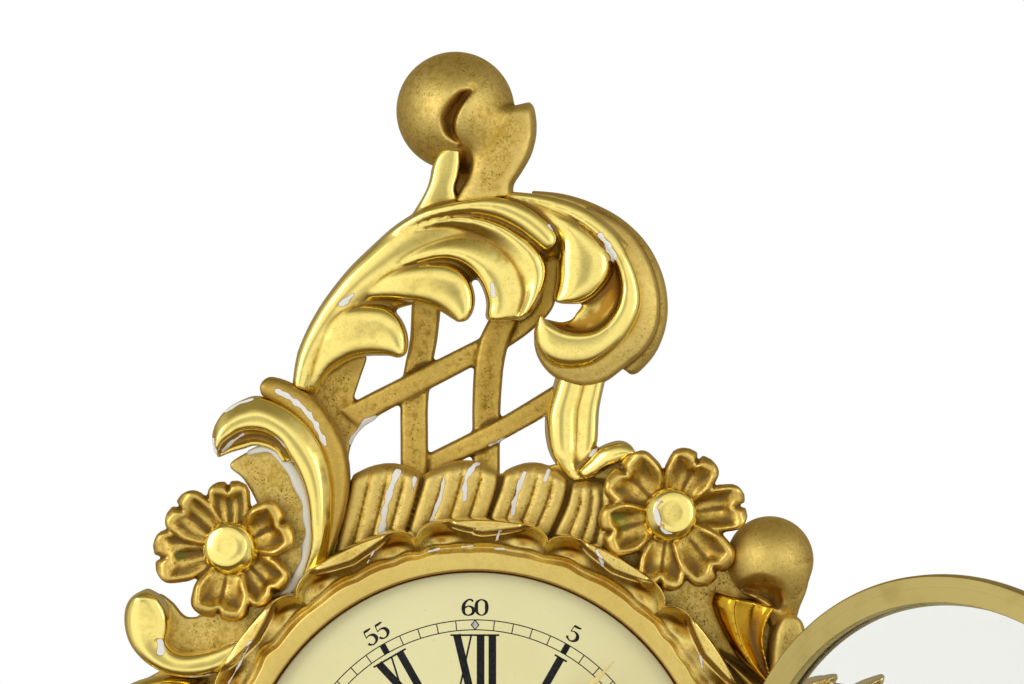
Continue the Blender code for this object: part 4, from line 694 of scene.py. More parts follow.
class Finish:
    """A material whose colour, gloss and relief come from one of the effect groups."""

    def __init__(self, name: str, group: EffectGroup, values: dict, bump: float,
                 metallic: float | None) -> None:
        """Builds the material.

        Args:
            name: Name of the material.
            group: The effect that it uses.
            values: What the effect's inputs get.
            bump: Depth of the relief, in millimetres.
            metallic: The shader's own metallic value, or None where the effect gives it.
        """
        self.material = bpy.data.materials.new(name)
        self.material.use_nodes = True
        graph = Graph(self.material.node_tree)
        shader = self.material.node_tree.nodes["Principled BSDF"]
        effect = graph.add("ShaderNodeGroup", node_tree=group.tree)
        for key, value in values.items():
            effect.inputs[key].default_value = rgba(value) if isinstance(value, tuple) else value
        link = self.material.node_tree.links.new
        link(effect.outputs["Color"], shader.inputs["Base Color"])
        link(effect.outputs["Roughness"], shader.inputs["Roughness"])
        if metallic is None:
            link(effect.outputs["Metallic"], shader.inputs["Metallic"])
        else:
            shader.inputs["Metallic"].default_value = metallic
        relief = graph.add("ShaderNodeBump", {"Height": effect.outputs["Height"], "Strength": 0.6})
        relief.inputs["Distance"].default_value = bump * MM
        link(relief.outputs["Normal"], shader.inputs["Normal"])
        self.shader = shader


@dataclass(frozen=True)
class Gilding:
    """One of the clock's gilded finishes."""

    name: str
    leaf: Colour
    amber: Colour
    polish: float
    grain: float
    speckle: float
    wear: float
    tone: float
    spots: float = 0.0
    # Dark brown for specks of dirt and for painted shade deep in the hollows.
    grime_and_shade: Colour = (0.13, 0.065, 0.01)
    bole: Colour = (0.36, 0.10, 0.03)
    gesso: Colour = (0.78, 0.77, 0.70)
    verdigris: Colour = (0.10, 0.16, 0.02)
    bump: float = 0.12

    def make(self, group: GildingGroup) -> bpy.types.Material:
        """The finish as a material."""
        values = {
            "Leaf": self.leaf, "Amber": self.amber, "Grime_and_shade": self.grime_and_shade, "Bole": self.bole,
            "Gesso": self.gesso, "Verdigris": self.verdigris, "Polish": self.polish, "Grain": self.grain,
            "Speckle": self.speckle, "Wear": self.wear, "Tone": self.tone, "Spots": self.spots,
        }
        return Finish(self.name, group, values, self.bump, None).material


@dataclass(frozen=True)
class WorkedMetal:
    """One of the clock's bare metals."""

    name: str
    bright: Colour
    tarnish: Colour
    polish: float
    lines: float = 0.0

    def make(self, group: MetalGroup) -> bpy.types.Material:
        """The metal as a material."""
        values = {"Bright": self.bright, "Tarnish": self.tarnish, "Polish": self.polish, "Lines": self.lines}
        return Finish(self.name, group, values, 0.02, 1.0).material


BURNISHED = Gilding("burnished_gilding", (0.93, 0.77, 0.235), (0.52, 0.28, 0.012), 0.13, 0.10, 0.25, 0.1, 0.2)
AMBER = Gilding("amber_gilding", (0.66, 0.40, 0.035), (0.34, 0.13, 0.003), 0.15, 0.15, 0.35, 0.1, 0.6)
FRILL = Gilding("frill_gilding", (0.78, 0.60, 0.18), (0.46, 0.25, 0.02), 0.16, 0.35, 0.5, 0.1, 0.45, 1.0)
MATT = Gilding("matt_gilding", (0.76, 0.58, 0.18), (0.45, 0.28, 0.03), 0.44, 1.0, 0.85, 0.1, 0.45)
PETAL = Gilding("petal_gilding", (0.74, 0.52, 0.13), (0.28, 0.15, 0.012), 0.28, 0.8, 0.8, 0.08, 0.7, 0.5)
STRAP = Gilding("strap_gilding", (0.62, 0.43, 0.10), (0.28, 0.16, 0.012), 0.42, 1.0, 1.0, 0.1, 0.6)
GESSO = Gilding("bare_gesso", (0.76, 0.75, 0.68), (0.62, 0.58, 0.46), 0.55, 0.6, 0.25, 0.9, 0.3)
# Bole darkened with painted shade, for the line inside the dial's sight edge.
SHADED_BOLE = Gilding("bole_darkened_with_shade", (0.13, 0.024, 0.006), (0.05, 0.012, 0.005), 0.35, 0.5, 0.5, 0.0, 0.5)
BEZEL_BRASS = WorkedMetal("bezel_brass", (0.60, 0.49, 0.18), (0.36, 0.27, 0.07), 0.30, 1.0)
PLATE_BRASS = WorkedMetal("plate_brass", (0.66, 0.49, 0.18), (0.40, 0.26, 0.07), 0.28)
HAND_GILT = WorkedMetal("hand_gilt", (0.86, 0.72, 0.34), (0.62, 0.46, 0.16), 0.22)
STEEL = WorkedMetal("polished_steel", (0.56, 0.57, 0.58), (0.30, 0.28, 0.26), 0.24)


class Palette:
    """Every material of the clock, made once."""

    def __init__(self) -> None:
        """Builds the effect groups and the materials."""
        gilding, metal, wood = GildingGroup(), MetalGroup(), WoodGroup()
        self.burnished = BURNISHED.make(gilding)
        self.frill = FRILL.make(gilding)
        self.matt = MATT.make(gilding)
        self.petal = PETAL.make(gilding)
        self.strap = STRAP.make(gilding)
        self.amber = AMBER.make(gilding)
        self.bezel = BEZEL_BRASS.make(metal)
        self.brass = PLATE_BRASS.make(metal)
        self.hand = HAND_GILT.make(metal)
        self.steel = STEEL.make(metal)
        pine = {"Early": (0.42, 0.27, 0.12), "Late": (0.27, 0.15, 0.06), "Rings": 34.0}
        self.pine = Finish("aged_pine", wood, pine, 0.15, 0.0).material
        self.enamel = self.make_enamel()
        self.ink = self.make_plain("printed_black", (0.006, 0.006, 0.007), 0.35)
        self.silver_ink = self.make_plain("printed_grey", (0.32, 0.31, 0.28), 0.4)
        self.glass = self.make_glass()
        self.gesso = GESSO.make(gilding)
        self.bole = SHADED_BOLE.make(gilding)

    def make_enamel(self) -> bpy.types.Material:
        """Cream enamel with a faint cloud and fine dust, with a low roughness."""
        material = bpy.data.materials.new("cream_enamel")
        material.use_nodes = True
        graph = Graph(material.node_tree)
        shader = material.node_tree.nodes["Principled BSDF"]
        where = graph.add("ShaderNodeTexCoord").outputs["Object"]
        cloud = graph.noise(where, 14.0, 3.0)
        dust = graph.step(graph.noise(where, 900.0, 1.0), 0.74, 0.78)
        colour = graph.mix(graph.step(cloud, 0.35, 0.7), (0.80, 0.745, 0.40), (0.76, 0.69, 0.34))
        colour = graph.mix(graph.maths("MULTIPLY", dust, 0.25), colour, (0.40, 0.33, 0.16))
        material.node_tree.links.new(colour, shader.inputs["Base Color"])
        rough = graph.maths("ADD", 0.16, graph.maths("MULTIPLY", cloud, 0.08))
        material.node_tree.links.new(rough, shader.inputs["Roughness"])
        ripple = graph.add("ShaderNodeBump", {"Height": cloud, "Strength": 0.15})
        ripple.inputs["Distance"].default_value = 0.2 * MM
        material.node_tree.links.new(ripple.outputs["Normal"], shader.inputs["Normal"])
        return material

    def make_plain(self, name: str, tint: Colour, roughness: float) -> bpy.types.Material:
        """Printing ink with a slight unevenness."""
        material = bpy.data.materials.new(name)
        material.use_nodes = True
        graph = Graph(material.node_tree)
        shader = material.node_tree.nodes["Principled BSDF"]
        where = graph.add("ShaderNodeTexCoord").outputs["Object"]
        shader.inputs["Specular IOR Level"].default_value = 0.15
        cover = graph.step(graph.noise(where, 800.0, 2.0), 0.3, 0.75)
        paler = tuple(min(1.0, c * 1.6 + 0.006) for c in tint)
        colour = graph.mix(cover, tint, paler)
        material.node_tree.links.new(colour, shader.inputs["Base Color"])
        rough = graph.maths("ADD", roughness, graph.maths("MULTIPLY", cover, 0.15))
        material.node_tree.links.new(rough, shader.inputs["Roughness"])
        return material

    def make_glass(self) -> bpy.types.Material:
        """Clear domed glass with a little dust."""
        material = bpy.data.materials.new("domed_glass")
        material.use_nodes = True
        graph = Graph(material.node_tree)
        shader = material.node_tree.nodes["Principled BSDF"]
        shader.inputs["Transmission Weight"].default_value = 1.0
        shader.inputs["IOR"].default_value = 1.45
        where = graph.add("ShaderNodeTexCoord").outputs["Object"]
        smear = graph.step(graph.noise(graph.shifted(where, (1.0, 1.0, 0.3)), 60.0, 4.0), 0.55, 0.8)
        colour = graph.mix(smear, (0.865, 0.875, 0.83), (0.82, 0.83, 0.78))
        material.node_tree.links.new(colour, shader.inputs["Base Color"])
        rough = graph.maths("ADD", 0.01, graph.maths("MULTIPLY", smear, 0.06))
        material.node_tree.links.new(rough, shader.inputs["Roughness"])
        return material


@dataclass
class Carving:
    """A carved piece: overlapping forms that are grown into one skin and finished."""

    name: str
    finish: bpy.types.Material
    solids: list[Solid]
    nodes: tuple[str, ...] = ()
    losses: tuple[SpreadMark, ...] = ()
    # Painted shade and painted reflections, with a few dark streaks.
    shade_and_stains: tuple[SpreadMark, ...] = ()
    space: Space = Space.PHOTO
    voxel: float = 0.8
    smooth: int = 4
    slot: str = "burnished_gilt"

    def build(self) -> bpy.types.Object:
        """Grows the skin, stores its relief, finishes it and lets it ride on the case."""
        obj = show(self.name, to_mesh(self.name, self.solids))
        if self.voxel:
            skin = obj.modifiers.new("Skin", "REMESH")
            skin.mode = "VOXEL"
            skin.voxel_size = self.voxel * MM
            skin.use_smooth_shade = True
        ease = obj.modifiers.new("Ease", "SMOOTH")
        ease.factor = 0.5
        ease.iterations = self.smooth
        applied(obj)
        obj.data.shade_smooth()
        write_relief(obj, self.losses, self.space, self.shade_and_stains)
        return settle(obj, self.finish, CASE, self.nodes)


def settle(
    obj: bpy.types.Object, finish: bpy.types.Material, body: str, nodes: Sequence[str]
) -> bpy.types.Object:
    """Finishes a piece and joins it to the frame.

    Args:
        obj: The piece.
        finish: Its material.
        body: The body that it rides on.
        nodes: CAD nodes that it stands for.

    Returns:
        The piece.
    """
    obj.data.materials.clear()
    obj.data.materials.append(finish)
    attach(obj, body)
    if nodes:
        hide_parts(*nodes)
    LOG.info("%s: %d faces on %s", obj.name, len(obj.data.polygons), body)
    return obj


def depths(node: str) -> tuple[float, float]:
    """Depths of a CAD node's back and front."""
    low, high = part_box(node)
    return -high.y / MM, -low.y / MM


@dataclass(frozen=True)
class Ball:
    """A carved ball, cut flat at its back, that other forms grow out of."""

    centre_px: tuple[float, float]
    radius_px: float
    back: float
    front: float

    def placed(self) -> tuple[np.ndarray, float, float]:
        """Its middle as (x, z), its radius, and the depth of its middle."""
        radius = self.radius_px * (VIEW.distance - self.front) / VIEW.focal_px
        middle = self.front - radius
        radius = self.radius_px * (VIEW.distance - middle) / VIEW.focal_px
        return VIEW.carry((self.centre_px,), middle)[0], radius, self.front - radius

    def solid(self) -> Solid:
        """The plain ball."""
        centre, radius, middle = self.placed()
        start = math.acos(max(-1.0, min(1.0, (middle - self.back) / radius)))
        turns = np.linspace(start, math.pi, 60)
        profile = [(0.0, max(self.back, middle - radius))]
        profile += [(radius * math.sin(t), middle - radius * math.cos(t)) for t in turns]
        return turned(profile, 120, tuple(centre))

    def join(self, form: Solid, soft: float = 6.0) -> Solid:
        """Raises a lobe's face to the ball's where it runs into it, with a soft join."""
        centre, radius, middle = self.placed()
        points = form.points.copy()
        face = points[: len(points) // 2]
        away = np.linalg.norm(face[:, :2] - centre, axis=1) / radius
        dome = middle + radius * np.sqrt(np.clip(1 - away**2, 0, 1))
        share = np.clip(0.5 + 0.5 * (face[:, 2] - dome) / soft, 0, 1)
        joined = dome * (1 - share) + face[:, 2] * share + soft * share * (1 - share)
        face[:, 2] = np.where(away < 1, joined, face[:, 2])
        return Solid(points, form.faces)


class Crescent(NamedTuple):
    """A hollow that slopes down from one line to another and rises steeply behind it."""

    slope: Trace
    deepest: Trace
    sink: float
    wall: float = 1.5
    steep: float = 2.6

    def cut(self, form: Solid, depth: float) -> Solid:
        """Sinks the face of a form.

        Args:
            form: The form to cut.
            depth: Depth of the face, which the lines lie on.

        Returns:
            The cut form.
        """
        shares = np.linspace(0, 1, 40)
        slope = resample(VIEW.carry(self.slope, depth), shares)
        deepest = resample(VIEW.carry(self.deepest, depth), shares)
        points = form.points.copy()
        flat = points[:, :2]
        inside = polygon_depth(flat, np.vstack([slope, deepest[::-1]])) > 0
        far, near = distance_to_path(flat, slope), distance_to_path(flat, deepest)
        most = np.minimum(self.sink, self.steep * far)
        drop = np.where(inside, most * (far / (far + near + 1e-6)) ** 0.6,
                        most * np.clip(1 - near / self.wall, 0, 1))
        points[:, 2] -= drop * smoothstep(points[:, 2], depth - 22.0, depth - 14.0)
        return Solid(points, form.faces)


@dataclass
class Crest:
    """The pierced crest: ball and its leaf, burnished leaf of curling lobes, matt rim, woven straps and stem."""

    palette: Palette
    ball_centre_px: tuple = (455.5, 111.0)
    ball_r_px: float = 59.2
    ball_hollow: Crescent = Crescent(
        ((472, 88), (459, 89.5), (449, 97), (441, 107.5), (437.5, 118), (439.5, 128.5), (444, 136.5),
         (452, 141),
         (459, 144)),
        ((472, 88), (466, 95), (460, 103), (455, 112), (452, 121), (452, 130), (454, 137), (459, 144)),
        8.5,
    )
    ball_gap: Trace = (
        (446, 208), (453, 192), (457, 172), (459, 152), (470, 146), (477, 160), (475, 178), (468, 192),
        (464, 208),
    )
    mass: tuple[Trace, Trace] = (
        ((292, 385), (298, 350), (317, 310), (345, 272), (372, 245), (396, 224), (420, 210), (448, 202),
         (478, 197), (510, 193), (540, 196), (575, 203), (605, 220), (630, 245)),
        ((316, 395), (328, 370), (348, 344), (372, 322), (398, 309), (424, 302), (446, 296), (466, 286),
         (482, 276), (508, 274), (534, 268), (560, 256), (590, 252), (612, 264)),
    )
    lobe_a: tuple[Trace, Trace] = (
        ((296, 352), (310, 328), (325, 313), (342, 306), (358, 304), (374, 304), (388, 307), (399, 316),
         (406, 330), (408, 343), (406, 353), (402, 357)),
        ((315, 394), (321, 384), (330, 372), (342, 364), (352, 359), (362, 357), (372, 356), (381, 356),
         (388, 356), (393, 357), (397, 358), (402, 357)),
    )
    lobe_b: tuple[Trace, Trace] = (
        ((338, 305), (354, 290), (378, 275), (404, 266), (430, 262), (448, 263), (462, 270), (471, 282),
         (475, 297), (473, 311), (467, 320), (460, 322)),
        ((338, 309), (355, 303), (373, 300), (390, 300), (408, 302), (422, 304), (434, 308), (443, 313),
         (449, 317), (454, 320), (457, 322), (460, 322)),
    )
    lobe_c: tuple[Trace, Trace] = (
        ((330, 305), (366, 268), (404, 245), (440, 234), (470, 233), (498, 241), (520, 254), (534, 270),
         (540, 286), (538, 302), (531, 314), (521, 321)),
        ((330, 318), (364, 291), (400, 271), (434, 261), (455, 262), (470, 271), (480, 284), (485, 297),
         (486, 307), (485, 314), (486, 319), (492, 322)),
    )
    lobe_d: tuple[Trace, Trace] = (
        ((352, 276), (382, 246), (412, 226), (440, 216), (470, 214), (498, 220), (522, 233), (540, 248),
         (548, 264), (547, 280), (540, 298), (530, 312), (519, 321)),
        ((350, 286), (382, 257), (412, 240), (442, 232), (470, 235), (492, 245), (506, 258), (513, 272),
         (517, 286), (518, 300), (516, 311), (514, 318), (511, 322)),
    )
    lobe_t: tuple[Trace, Trace] = (
        ((372, 246), (398, 224), (424, 209), (450, 202), (478, 197), (504, 197), (528, 206), (546, 219),
         (556, 232), (557, 241), (549, 250)),
        ((372, 258), (398, 238), (424, 224), (450, 217), (474, 216), (496, 221), (516, 231), (532, 243),
         (541, 250), (546, 252), (549, 250)),
    )
    lobe_e: tuple[Trace, Trace] = (
        ((497, 197), (535, 204), (566, 216), (592, 233), (608, 250), (614, 264), (610, 278), (603, 288),
         (594, 297), (582, 303), (570, 304), (559, 303), (554, 300)),
        ((500, 201), (525, 211), (545, 223), (556, 236), (558, 248), (557, 262), (557, 275), (556, 284),
         (555, 290), (554, 294), (554, 297), (554, 299), (554, 300)),
    )
    lobe_f: tuple[Trace, Trace] = (
        ((505, 191), (545, 195), (582, 206), (610, 227), (628, 254), (639, 280), (642, 303), (635, 324),
         (620, 346), (596, 365), (572, 370), (551, 366), (538, 352), (534, 332), (541, 311)),
        ((505, 198), (540, 206), (572, 220), (598, 240), (614, 262), (620, 285), (617, 306), (606, 322),
         (592, 331), (576, 332), (562, 329), (552, 324), (546, 320), (543, 316), (541, 311)),
    )
    curl_floor: tuple[Trace, Trace] = (
        ((612, 254), (609, 276), (602, 288), (592, 298), (583, 305), (577, 312), (572, 319), (561, 322),
         (547, 319)),
        ((622, 264), (625, 288), (620, 309), (609, 325), (593, 336), (580, 338), (568, 335), (556, 330),
         (545, 322)),
    )
    curl_back: tuple[Trace, Trace] = (
        ((590, 207), (626, 228), (648, 258), (659, 292), (658, 325), (646, 349), (626, 367), (606, 382),
         (587, 387), (567, 384), (550, 374), (538, 358), (534, 340), (537, 324)),
        ((580, 216), (606, 236), (624, 262), (634, 292), (632, 318), (622, 334), (606, 346), (592, 354),
         (580, 357), (566, 355), (553, 348), (546, 340), (541, 332), (537, 324)),
    )
    neck: tuple[Trace, Trace] = (
        ((402, 226), (416, 206), (425, 190), (429, 178), (431, 167), (436, 156), (444, 148), (458, 141)),
        ((466, 210), (460, 198), (457, 188), (460, 177), (462, 164), (462, 154), (461, 147), (459, 141)),
    )
    ball_leaf: tuple[Trace, Trace] = (
        ((452, 203), (459, 191), (466, 179), (469, 165), (467, 151), (461, 140), (457, 128), (461, 118),
         (486, 112)),
        ((514, 196), (514, 184), (522, 171), (531, 155), (536, 138), (537, 124), (536, 113), (534, 105),
         (530, 100)),
    )
    rim: tuple[Trace, Trace] = (
        ((532, 190), (562, 193), (592, 202), (622, 218), (646, 241), (661, 268), (668, 296), (667, 325),
         (657, 352), (640, 372), (631, 375)),
        ((532, 200), (556, 210), (580, 222), (602, 240), (620, 262), (632, 288), (634, 312), (630, 335),
         (618, 352), (612, 362), (622, 368)),
    )
    stem: tuple[Trace, Trace] = (
        ((556, 376), (551, 394), (546, 410), (545, 425), (546, 440), (550, 455), (558, 468), (568, 480)),
        ((608, 372), (603, 394), (600, 410), (599, 428), (598, 442), (594, 454), (590, 464), (596, 480)),
    )
    stem_leaf: tuple[Trace, Trace] = (
        ((578, 470), (588, 460), (598, 449), (610, 443), (622, 441), (632, 446), (637, 456)),
        ((586, 480), (598, 476), (608, 470), (617, 466), (625, 463), (632, 460), (637, 456)),
    )
    straps: tuple[tuple[Trace, Trace], ...] = (
        (((412, 296), (411, 306), (409, 340), (403, 372), (400, 404), (400, 440), (400, 482)),
         ((443, 296), (441, 306), (437, 340), (431, 372), (428, 404), (428, 440), (428, 482))),
        (((496, 300), (488, 320), (479, 340), (474, 366), (472, 402), (472, 440), (472, 482)),
         ((526, 300), (518, 320), (510, 340), (504, 366), (501, 402), (500, 440), (500, 482))),
        (((340, 409), (370, 393), (400, 378), (440, 358), (480, 338), (515, 322), (535, 306), (541, 284),
          (542, 256)),
         ((360, 427), (380, 415), (404, 402), (438, 385), (474, 366), (512, 345), (538, 325), (555, 303),
          (562, 256))),
        (((424, 456), (450, 443), (476, 430), (500, 418), (522, 405), (540, 394), (566, 378)),
         ((428, 478), (452, 466), (476, 454), (500, 442), (522, 430), (540, 420), (562, 406))),
    )
    strap_weave: tuple[tuple[float, ...], ...] = (
        (0.0, 0.3, -1.4, -1.4, 0.6, 1.4, 0.4),
        (0.0, 1.0, 1.4, 1.2, -0.6, -1.4, -0.6),
        (0.0, 0.4, 1.4, 1.2, -0.8, -1.4, -0.4, 0.4, 0.8),
        (-1.2, -0.8, 0.2, 1.2, 1.2, 0.2, 0.0),
    )
    web: Trace = (
        (303, 389), (320, 376), (336, 368), (350, 358), (366, 356), (359, 380), (353, 403), (366, 408),
        (376, 418), (362, 428), (352, 442), (348, 458), (349, 486), (338, 486), (338, 450), (328, 420),
    )

    def build(self) -> None:
        """Builds every piece of the crest."""
        self.build_ball()
        self.build_leaf()
        self.build_rim()
        self.build_openwork()
        self.build_stem()

    def build_ball(self) -> None:
        """The finial ball with its crescent hollow, and the leaf that grows out of its side."""
        back, front = depths("finial_ball")
        ball = Ball(self.ball_centre_px, self.ball_r_px, back, front)
        leaf = Lobe(
            *self.ball_leaf, back + 6.0, front - back - 18.0, 5.0, Section.BROAD,
            (1.15, 1.15, 1.12, 1.1, 1.05, 1.0, 0.95, 0.9), 0.1, 0.24, columns=33,
        )
        solids = [self.ball_hollow.cut(form, front - 2.0) for form in (ball.solid(), ball.join(leaf.solid()))]
        solids.append(slab(self.ball_gap, back, back + 4.0))
        nail = (SpreadMark(((431, 90), (431, 91)), 0.1),)
        # Painted shade down the crescent hollow and in the gap between the ball and its leaf.
        shade = (
            SpreadMark(((464, 94), (456, 108), (452, 123), (454, 137), (460, 146)), 2.6, 0.85),
            SpreadMark(((460, 146), (464, 160), (464, 175), (458, 192)), 2.4, 1.0),
        )
        Carving(
            "finial_ball", self.palette.matt, solids, ("finial_ball",), nail, shade, voxel=0.55,
            slot="matt_gilt",
        ).build()

    def build_leaf(self) -> None:
        """The burnished leaf: one sweep with the lobes that curl off it."""
        foot = depths("left_backing")[0]
        rise = (0.6, 0.88, 1.0, 1.0, 0.97)
        lobes = (
            Lobe(*self.mass, foot, 4.5, 8.5, Section.SLOPE, (0.9, 1.0, 1.0, 0.95), 0.08, 0.0, columns=41),
            Lobe(*self.lobe_a, foot, 8.0, 6.0, Section.CUSHION, (0.7, 0.92, 1.0, 1.05, 1.0), 0.06, 0.08),
            Lobe(*self.lobe_b, foot, 9.0, 6.0, Section.CUSHION, rise, 0.06, 0.07),
            Lobe(*self.lobe_c, foot, 8.5, 7.5, Section.LOW_CREST, rise, 0.08, 0.06),
            Lobe(*self.lobe_d, foot, 9.0, 7.5, Section.HIGH_CREST, rise, 0.1, 0.08),
            Lobe(*self.lobe_t, foot, 10.0, 7.5, Section.CUSHION, rise, 0.1, 0.06),
            Lobe(*self.lobe_e, foot, 7.5, 7.5, Section.CUSHION, (0.75, 0.98, 1.05, 1.0, 0.95), 0.07, 0.07),
            Lobe(*self.lobe_f, foot, 7.0, 8.5, Section.FACE, (0.75, 0.95, 1.0, 1.05, 1.05, 1.0), 0.07, 0.04),
            Lobe(*self.curl_floor, foot, 2.0, 3.0, Section.RAMP, (1.0, 1.0), 0.03, 0.0),
            Lobe(*self.neck, foot - 3.0, 12.0, 3.5, Section.BROAD, (1.0, 1.0, 0.97, 0.95), 0.1, 0.02),
        )
        losses = (
            SpreadMark(((600, 236), (608, 246), (613, 258)), 2.2),
            SpreadMark(((341, 304), (352, 295)), 2.0, 0.9),
            SpreadMark(((492, 284), (494, 296)), 1.3, 0.9),
            SpreadMark(((548, 226), (553, 231)), 1.2, 0.8),
            SpreadMark(((556, 262), (557, 270)), 1.2, 0.8),
        )
        # Painted shade on the curl's inner wall, in the creases between lobes and on the dark side of lobe D, and
        # painted reflections of the dark front on lobes A and B; the crease between T and D also has dark streaks.
        shade_and_stains = (
            SpreadMark(((617, 262), (614, 285), (608, 302), (598, 316), (584, 323), (568, 327)), 4.2, 0.9),
            SpreadMark(((440, 222), (460, 217), (480, 219), (500, 226), (518, 237)), 1.8, 0.6),
            SpreadMark(((478, 240), (494, 249), (507, 261)), 2.6, 0.4),
            SpreadMark(((534, 247), (543, 262), (541, 282)), 2.2, 0.4),
            SpreadMark(((404, 290), (432, 284), (458, 297)), 4.5, 0.32),
            SpreadMark(((360, 330), (375, 332)), 5.0, 0.3),
        )
        Carving(
            "crest_leaf", self.palette.burnished, [lobe.solid() for lobe in lobes], ("crest_leaf",), losses,
            shade_and_stains, voxel=0.6, smooth=10,
        ).build()

    def build_rim(self) -> None:
        """The matt rim behind the curl and the matt back that runs on under it."""
        back, front = depths("crest_rim")
        foot = depths("left_backing")[0]
        rim = Lobe(
            *self.rim, back, front - back - 3.0, 4.5, Section.RIDGE, (0.75, 1.0, 1.0, 1.0, 0.9), 0.1, 0.04
        )
        curl = Lobe(*self.curl_back, foot - 1.0, 6.0, 4.0, Section.LOW_CREST,
                    (0.6, 1.0, 1.0, 1.0, 1.0, 0.9), 0.14, 0.05)
        Carving(
            "crest_rim", self.palette.matt, [rim.solid(), curl.solid()], ("crest_rim",), voxel=0.7,
            slot="matt_gilt"
        ).build()

    def build_openwork(self) -> None:
        """Straps that pass over and under each other, and the web beside them."""
        back, front = depths("crest_openwork")
        solids = [slab(self.web, back, front - 1.0)]
        for (upper, lower), weave in zip(self.straps, self.strap_weave):
            strap = Lobe(upper, lower, back + 0.5, 6.0, 0.5, Section.FLAT, roll=0.1, nose=0.0).solid()
            share = np.linspace(0, 1, len(strap.points) // 50)
            lift = np.repeat(resample(np.array(weave), share), 25)
            points = strap.points.copy()
            points[:, 2] += np.concatenate([lift, lift])
            solids.append(Solid(points, strap.faces))
        losses = (
            SpreadMark(((350, 443), (358, 430), (372, 419)), 2.0),
            SpreadMark(((490, 447), (520, 434), (546, 418)), 1.3, 0.75),
        )
        Carving(
            "crest_openwork", self.palette.strap, solids, ("crest_openwork",), losses, voxel=0.7,
            slot="matt_gilt",
        ).build()

    def build_stem(self) -> None:
        """The grooved stem with its small leaf."""
        back, front = depths("crest_stem")
        stem = Lobe(
            *self.stem, back, 10.5, 4.0, Section.STEM, (1.0, 1.0, 1.0, 0.9), 0.07, 0.0, columns=41
        )
        leaf = Lobe(*self.stem_leaf, depths("shell_band")[0], 7.0, 5.0, Section.SWELL, (0.8, 1.0, 1.0), 0.1,
                    0.12)
        Carving(
            "crest_stem", self.palette.burnished, [stem.solid(), leaf.solid()], ("crest_stem",),
            (SpreadMark(((590, 456), (600, 448)), 1.3, 0.8),), voxel=0.7,
        ).build()


def polygon_depth(points: np.ndarray, outline: np.ndarray) -> np.ndarray:
    """How far inside a closed outline each (x, z) row lies; outside it is negative."""
    away = distance_to_path(points, outline)
    inside = np.zeros(len(points), bool)
    x, z = points[:, 0], points[:, 1]
    for (x0, z0), (x1, z1) in zip(outline, np.roll(outline, -1, axis=0)):
        if abs(z1 - z0) < 1e-9:
            continue
        crosses = ((z0 > z) != (z1 > z)) & (x < (x1 - x0) * (z - z0) / (z1 - z0) + x0)
        inside ^= crosses
    return np.where(inside, away, -away)


@dataclass
class ShellBand:
    """The fluted scallops above the dial."""

    palette: Palette
    flutes: int = 4
    scallops: tuple[tuple[Trace, Trace], ...] = (
        (((322, 590), (332, 560), (342, 520), (349, 490), (351, 476)),
         ((397, 562), (405, 535), (414, 505), (419, 486), (421, 475))),
        (((399, 562), (407, 535), (416, 505), (422, 486), (424, 475)),
         ((480, 552), (487, 520), (495, 495), (498, 482), (497, 472))),
        (((482, 552), (489, 520), (498, 495), (502, 482), (504, 472)),
         ((538, 570), (549, 538), (562, 508), (567, 490), (567, 480))),
        (((540, 572), (551, 540), (565, 510), (570, 494), (572, 483)),
         ((600, 592), (606, 560), (612, 530), (614, 505), (612, 486))),
    )
    tops_px: tuple[float, ...] = (12.0, 13.0, 13.0, 4.0)
    base: Trace = (
        (318, 600), (334, 545), (346, 500), (351, 480), (386, 472), (421, 477), (460, 470), (500, 474),
        (534, 472),
        (556, 464), (576, 470), (600, 470), (622, 462), (616, 540), (604, 600), (540, 575), (480, 560),
        (400, 570),
    )

    def build(self) -> None:
        """Builds the band."""
        back, front = depths("shell_band")
        solids = [self.scallop(k, back, front) for k in range(len(self.scallops))]
        solids.append(slab(self.base, back, back + 3.0))
        losses = (
            SpreadMark(((380, 545), (384, 510), (392, 484), (397, 472)), 2.2, 0.95),
            SpreadMark(((430, 524), (440, 498), (444, 478)), 1.3, 0.9),
            SpreadMark(((464, 500), (466, 478), (474, 466), (478, 464)), 1.6, 0.95),
            SpreadMark(((512, 515), (518, 492), (524, 474)), 1.6, 0.9),
            SpreadMark(((545, 480), (549, 472)), 1.4, 0.9),
            SpreadMark(((412, 492), (414, 478)), 1.0, 0.8),
        )
        Carving(
            "shell_band", self.palette.matt, solids, ("shell_band",), losses, voxel=0.65, smooth=3,
            slot="matt_gilt"
        ).build()

    def scallop(self, index: int, back: float, front: float) -> Solid:
        """One scallop with its flutes and bowed top.

        Args:
            index: Which scallop.
            back: Depth of its back.
            front: Depth of its highest rib.

        Returns:
            The scallop.
        """
        upper, lower = (VIEW.carry(edge, front) for edge in self.scallops[index])
        rows, columns = 50, 81
        along = np.linspace(0, 1, rows)[:, None]
        across = np.linspace(0, 1, columns)[None, :]
        left = resample(upper, along[:, 0])[:, None, :]
        right = resample(lower, along[:, 0])[:, None, :]
        plane = left + (right - left) * across[..., None]
        bow = self.tops_px[index] * 0.363 * 4 * across * (1 - across) * along**3
        plane = plane + bow[..., None] * np.array([0.2, 1.0])
        wave = np.abs(np.sin(np.pi * across * self.flutes)) ** 0.5
        edge = rounding(np.minimum(across, 1 - across), 0.03) * rounding(1 - along, 0.22)
        body = (front - back - 1.7) * edge + 1.7 * wave * edge
        depth = back + body - 1.5 * (1 - along)
        flat = np.full_like(depth, back)
        return grid_solid(np.dstack([plane, np.maximum(depth, back)]), np.dstack([plane, flat - 0.02]))


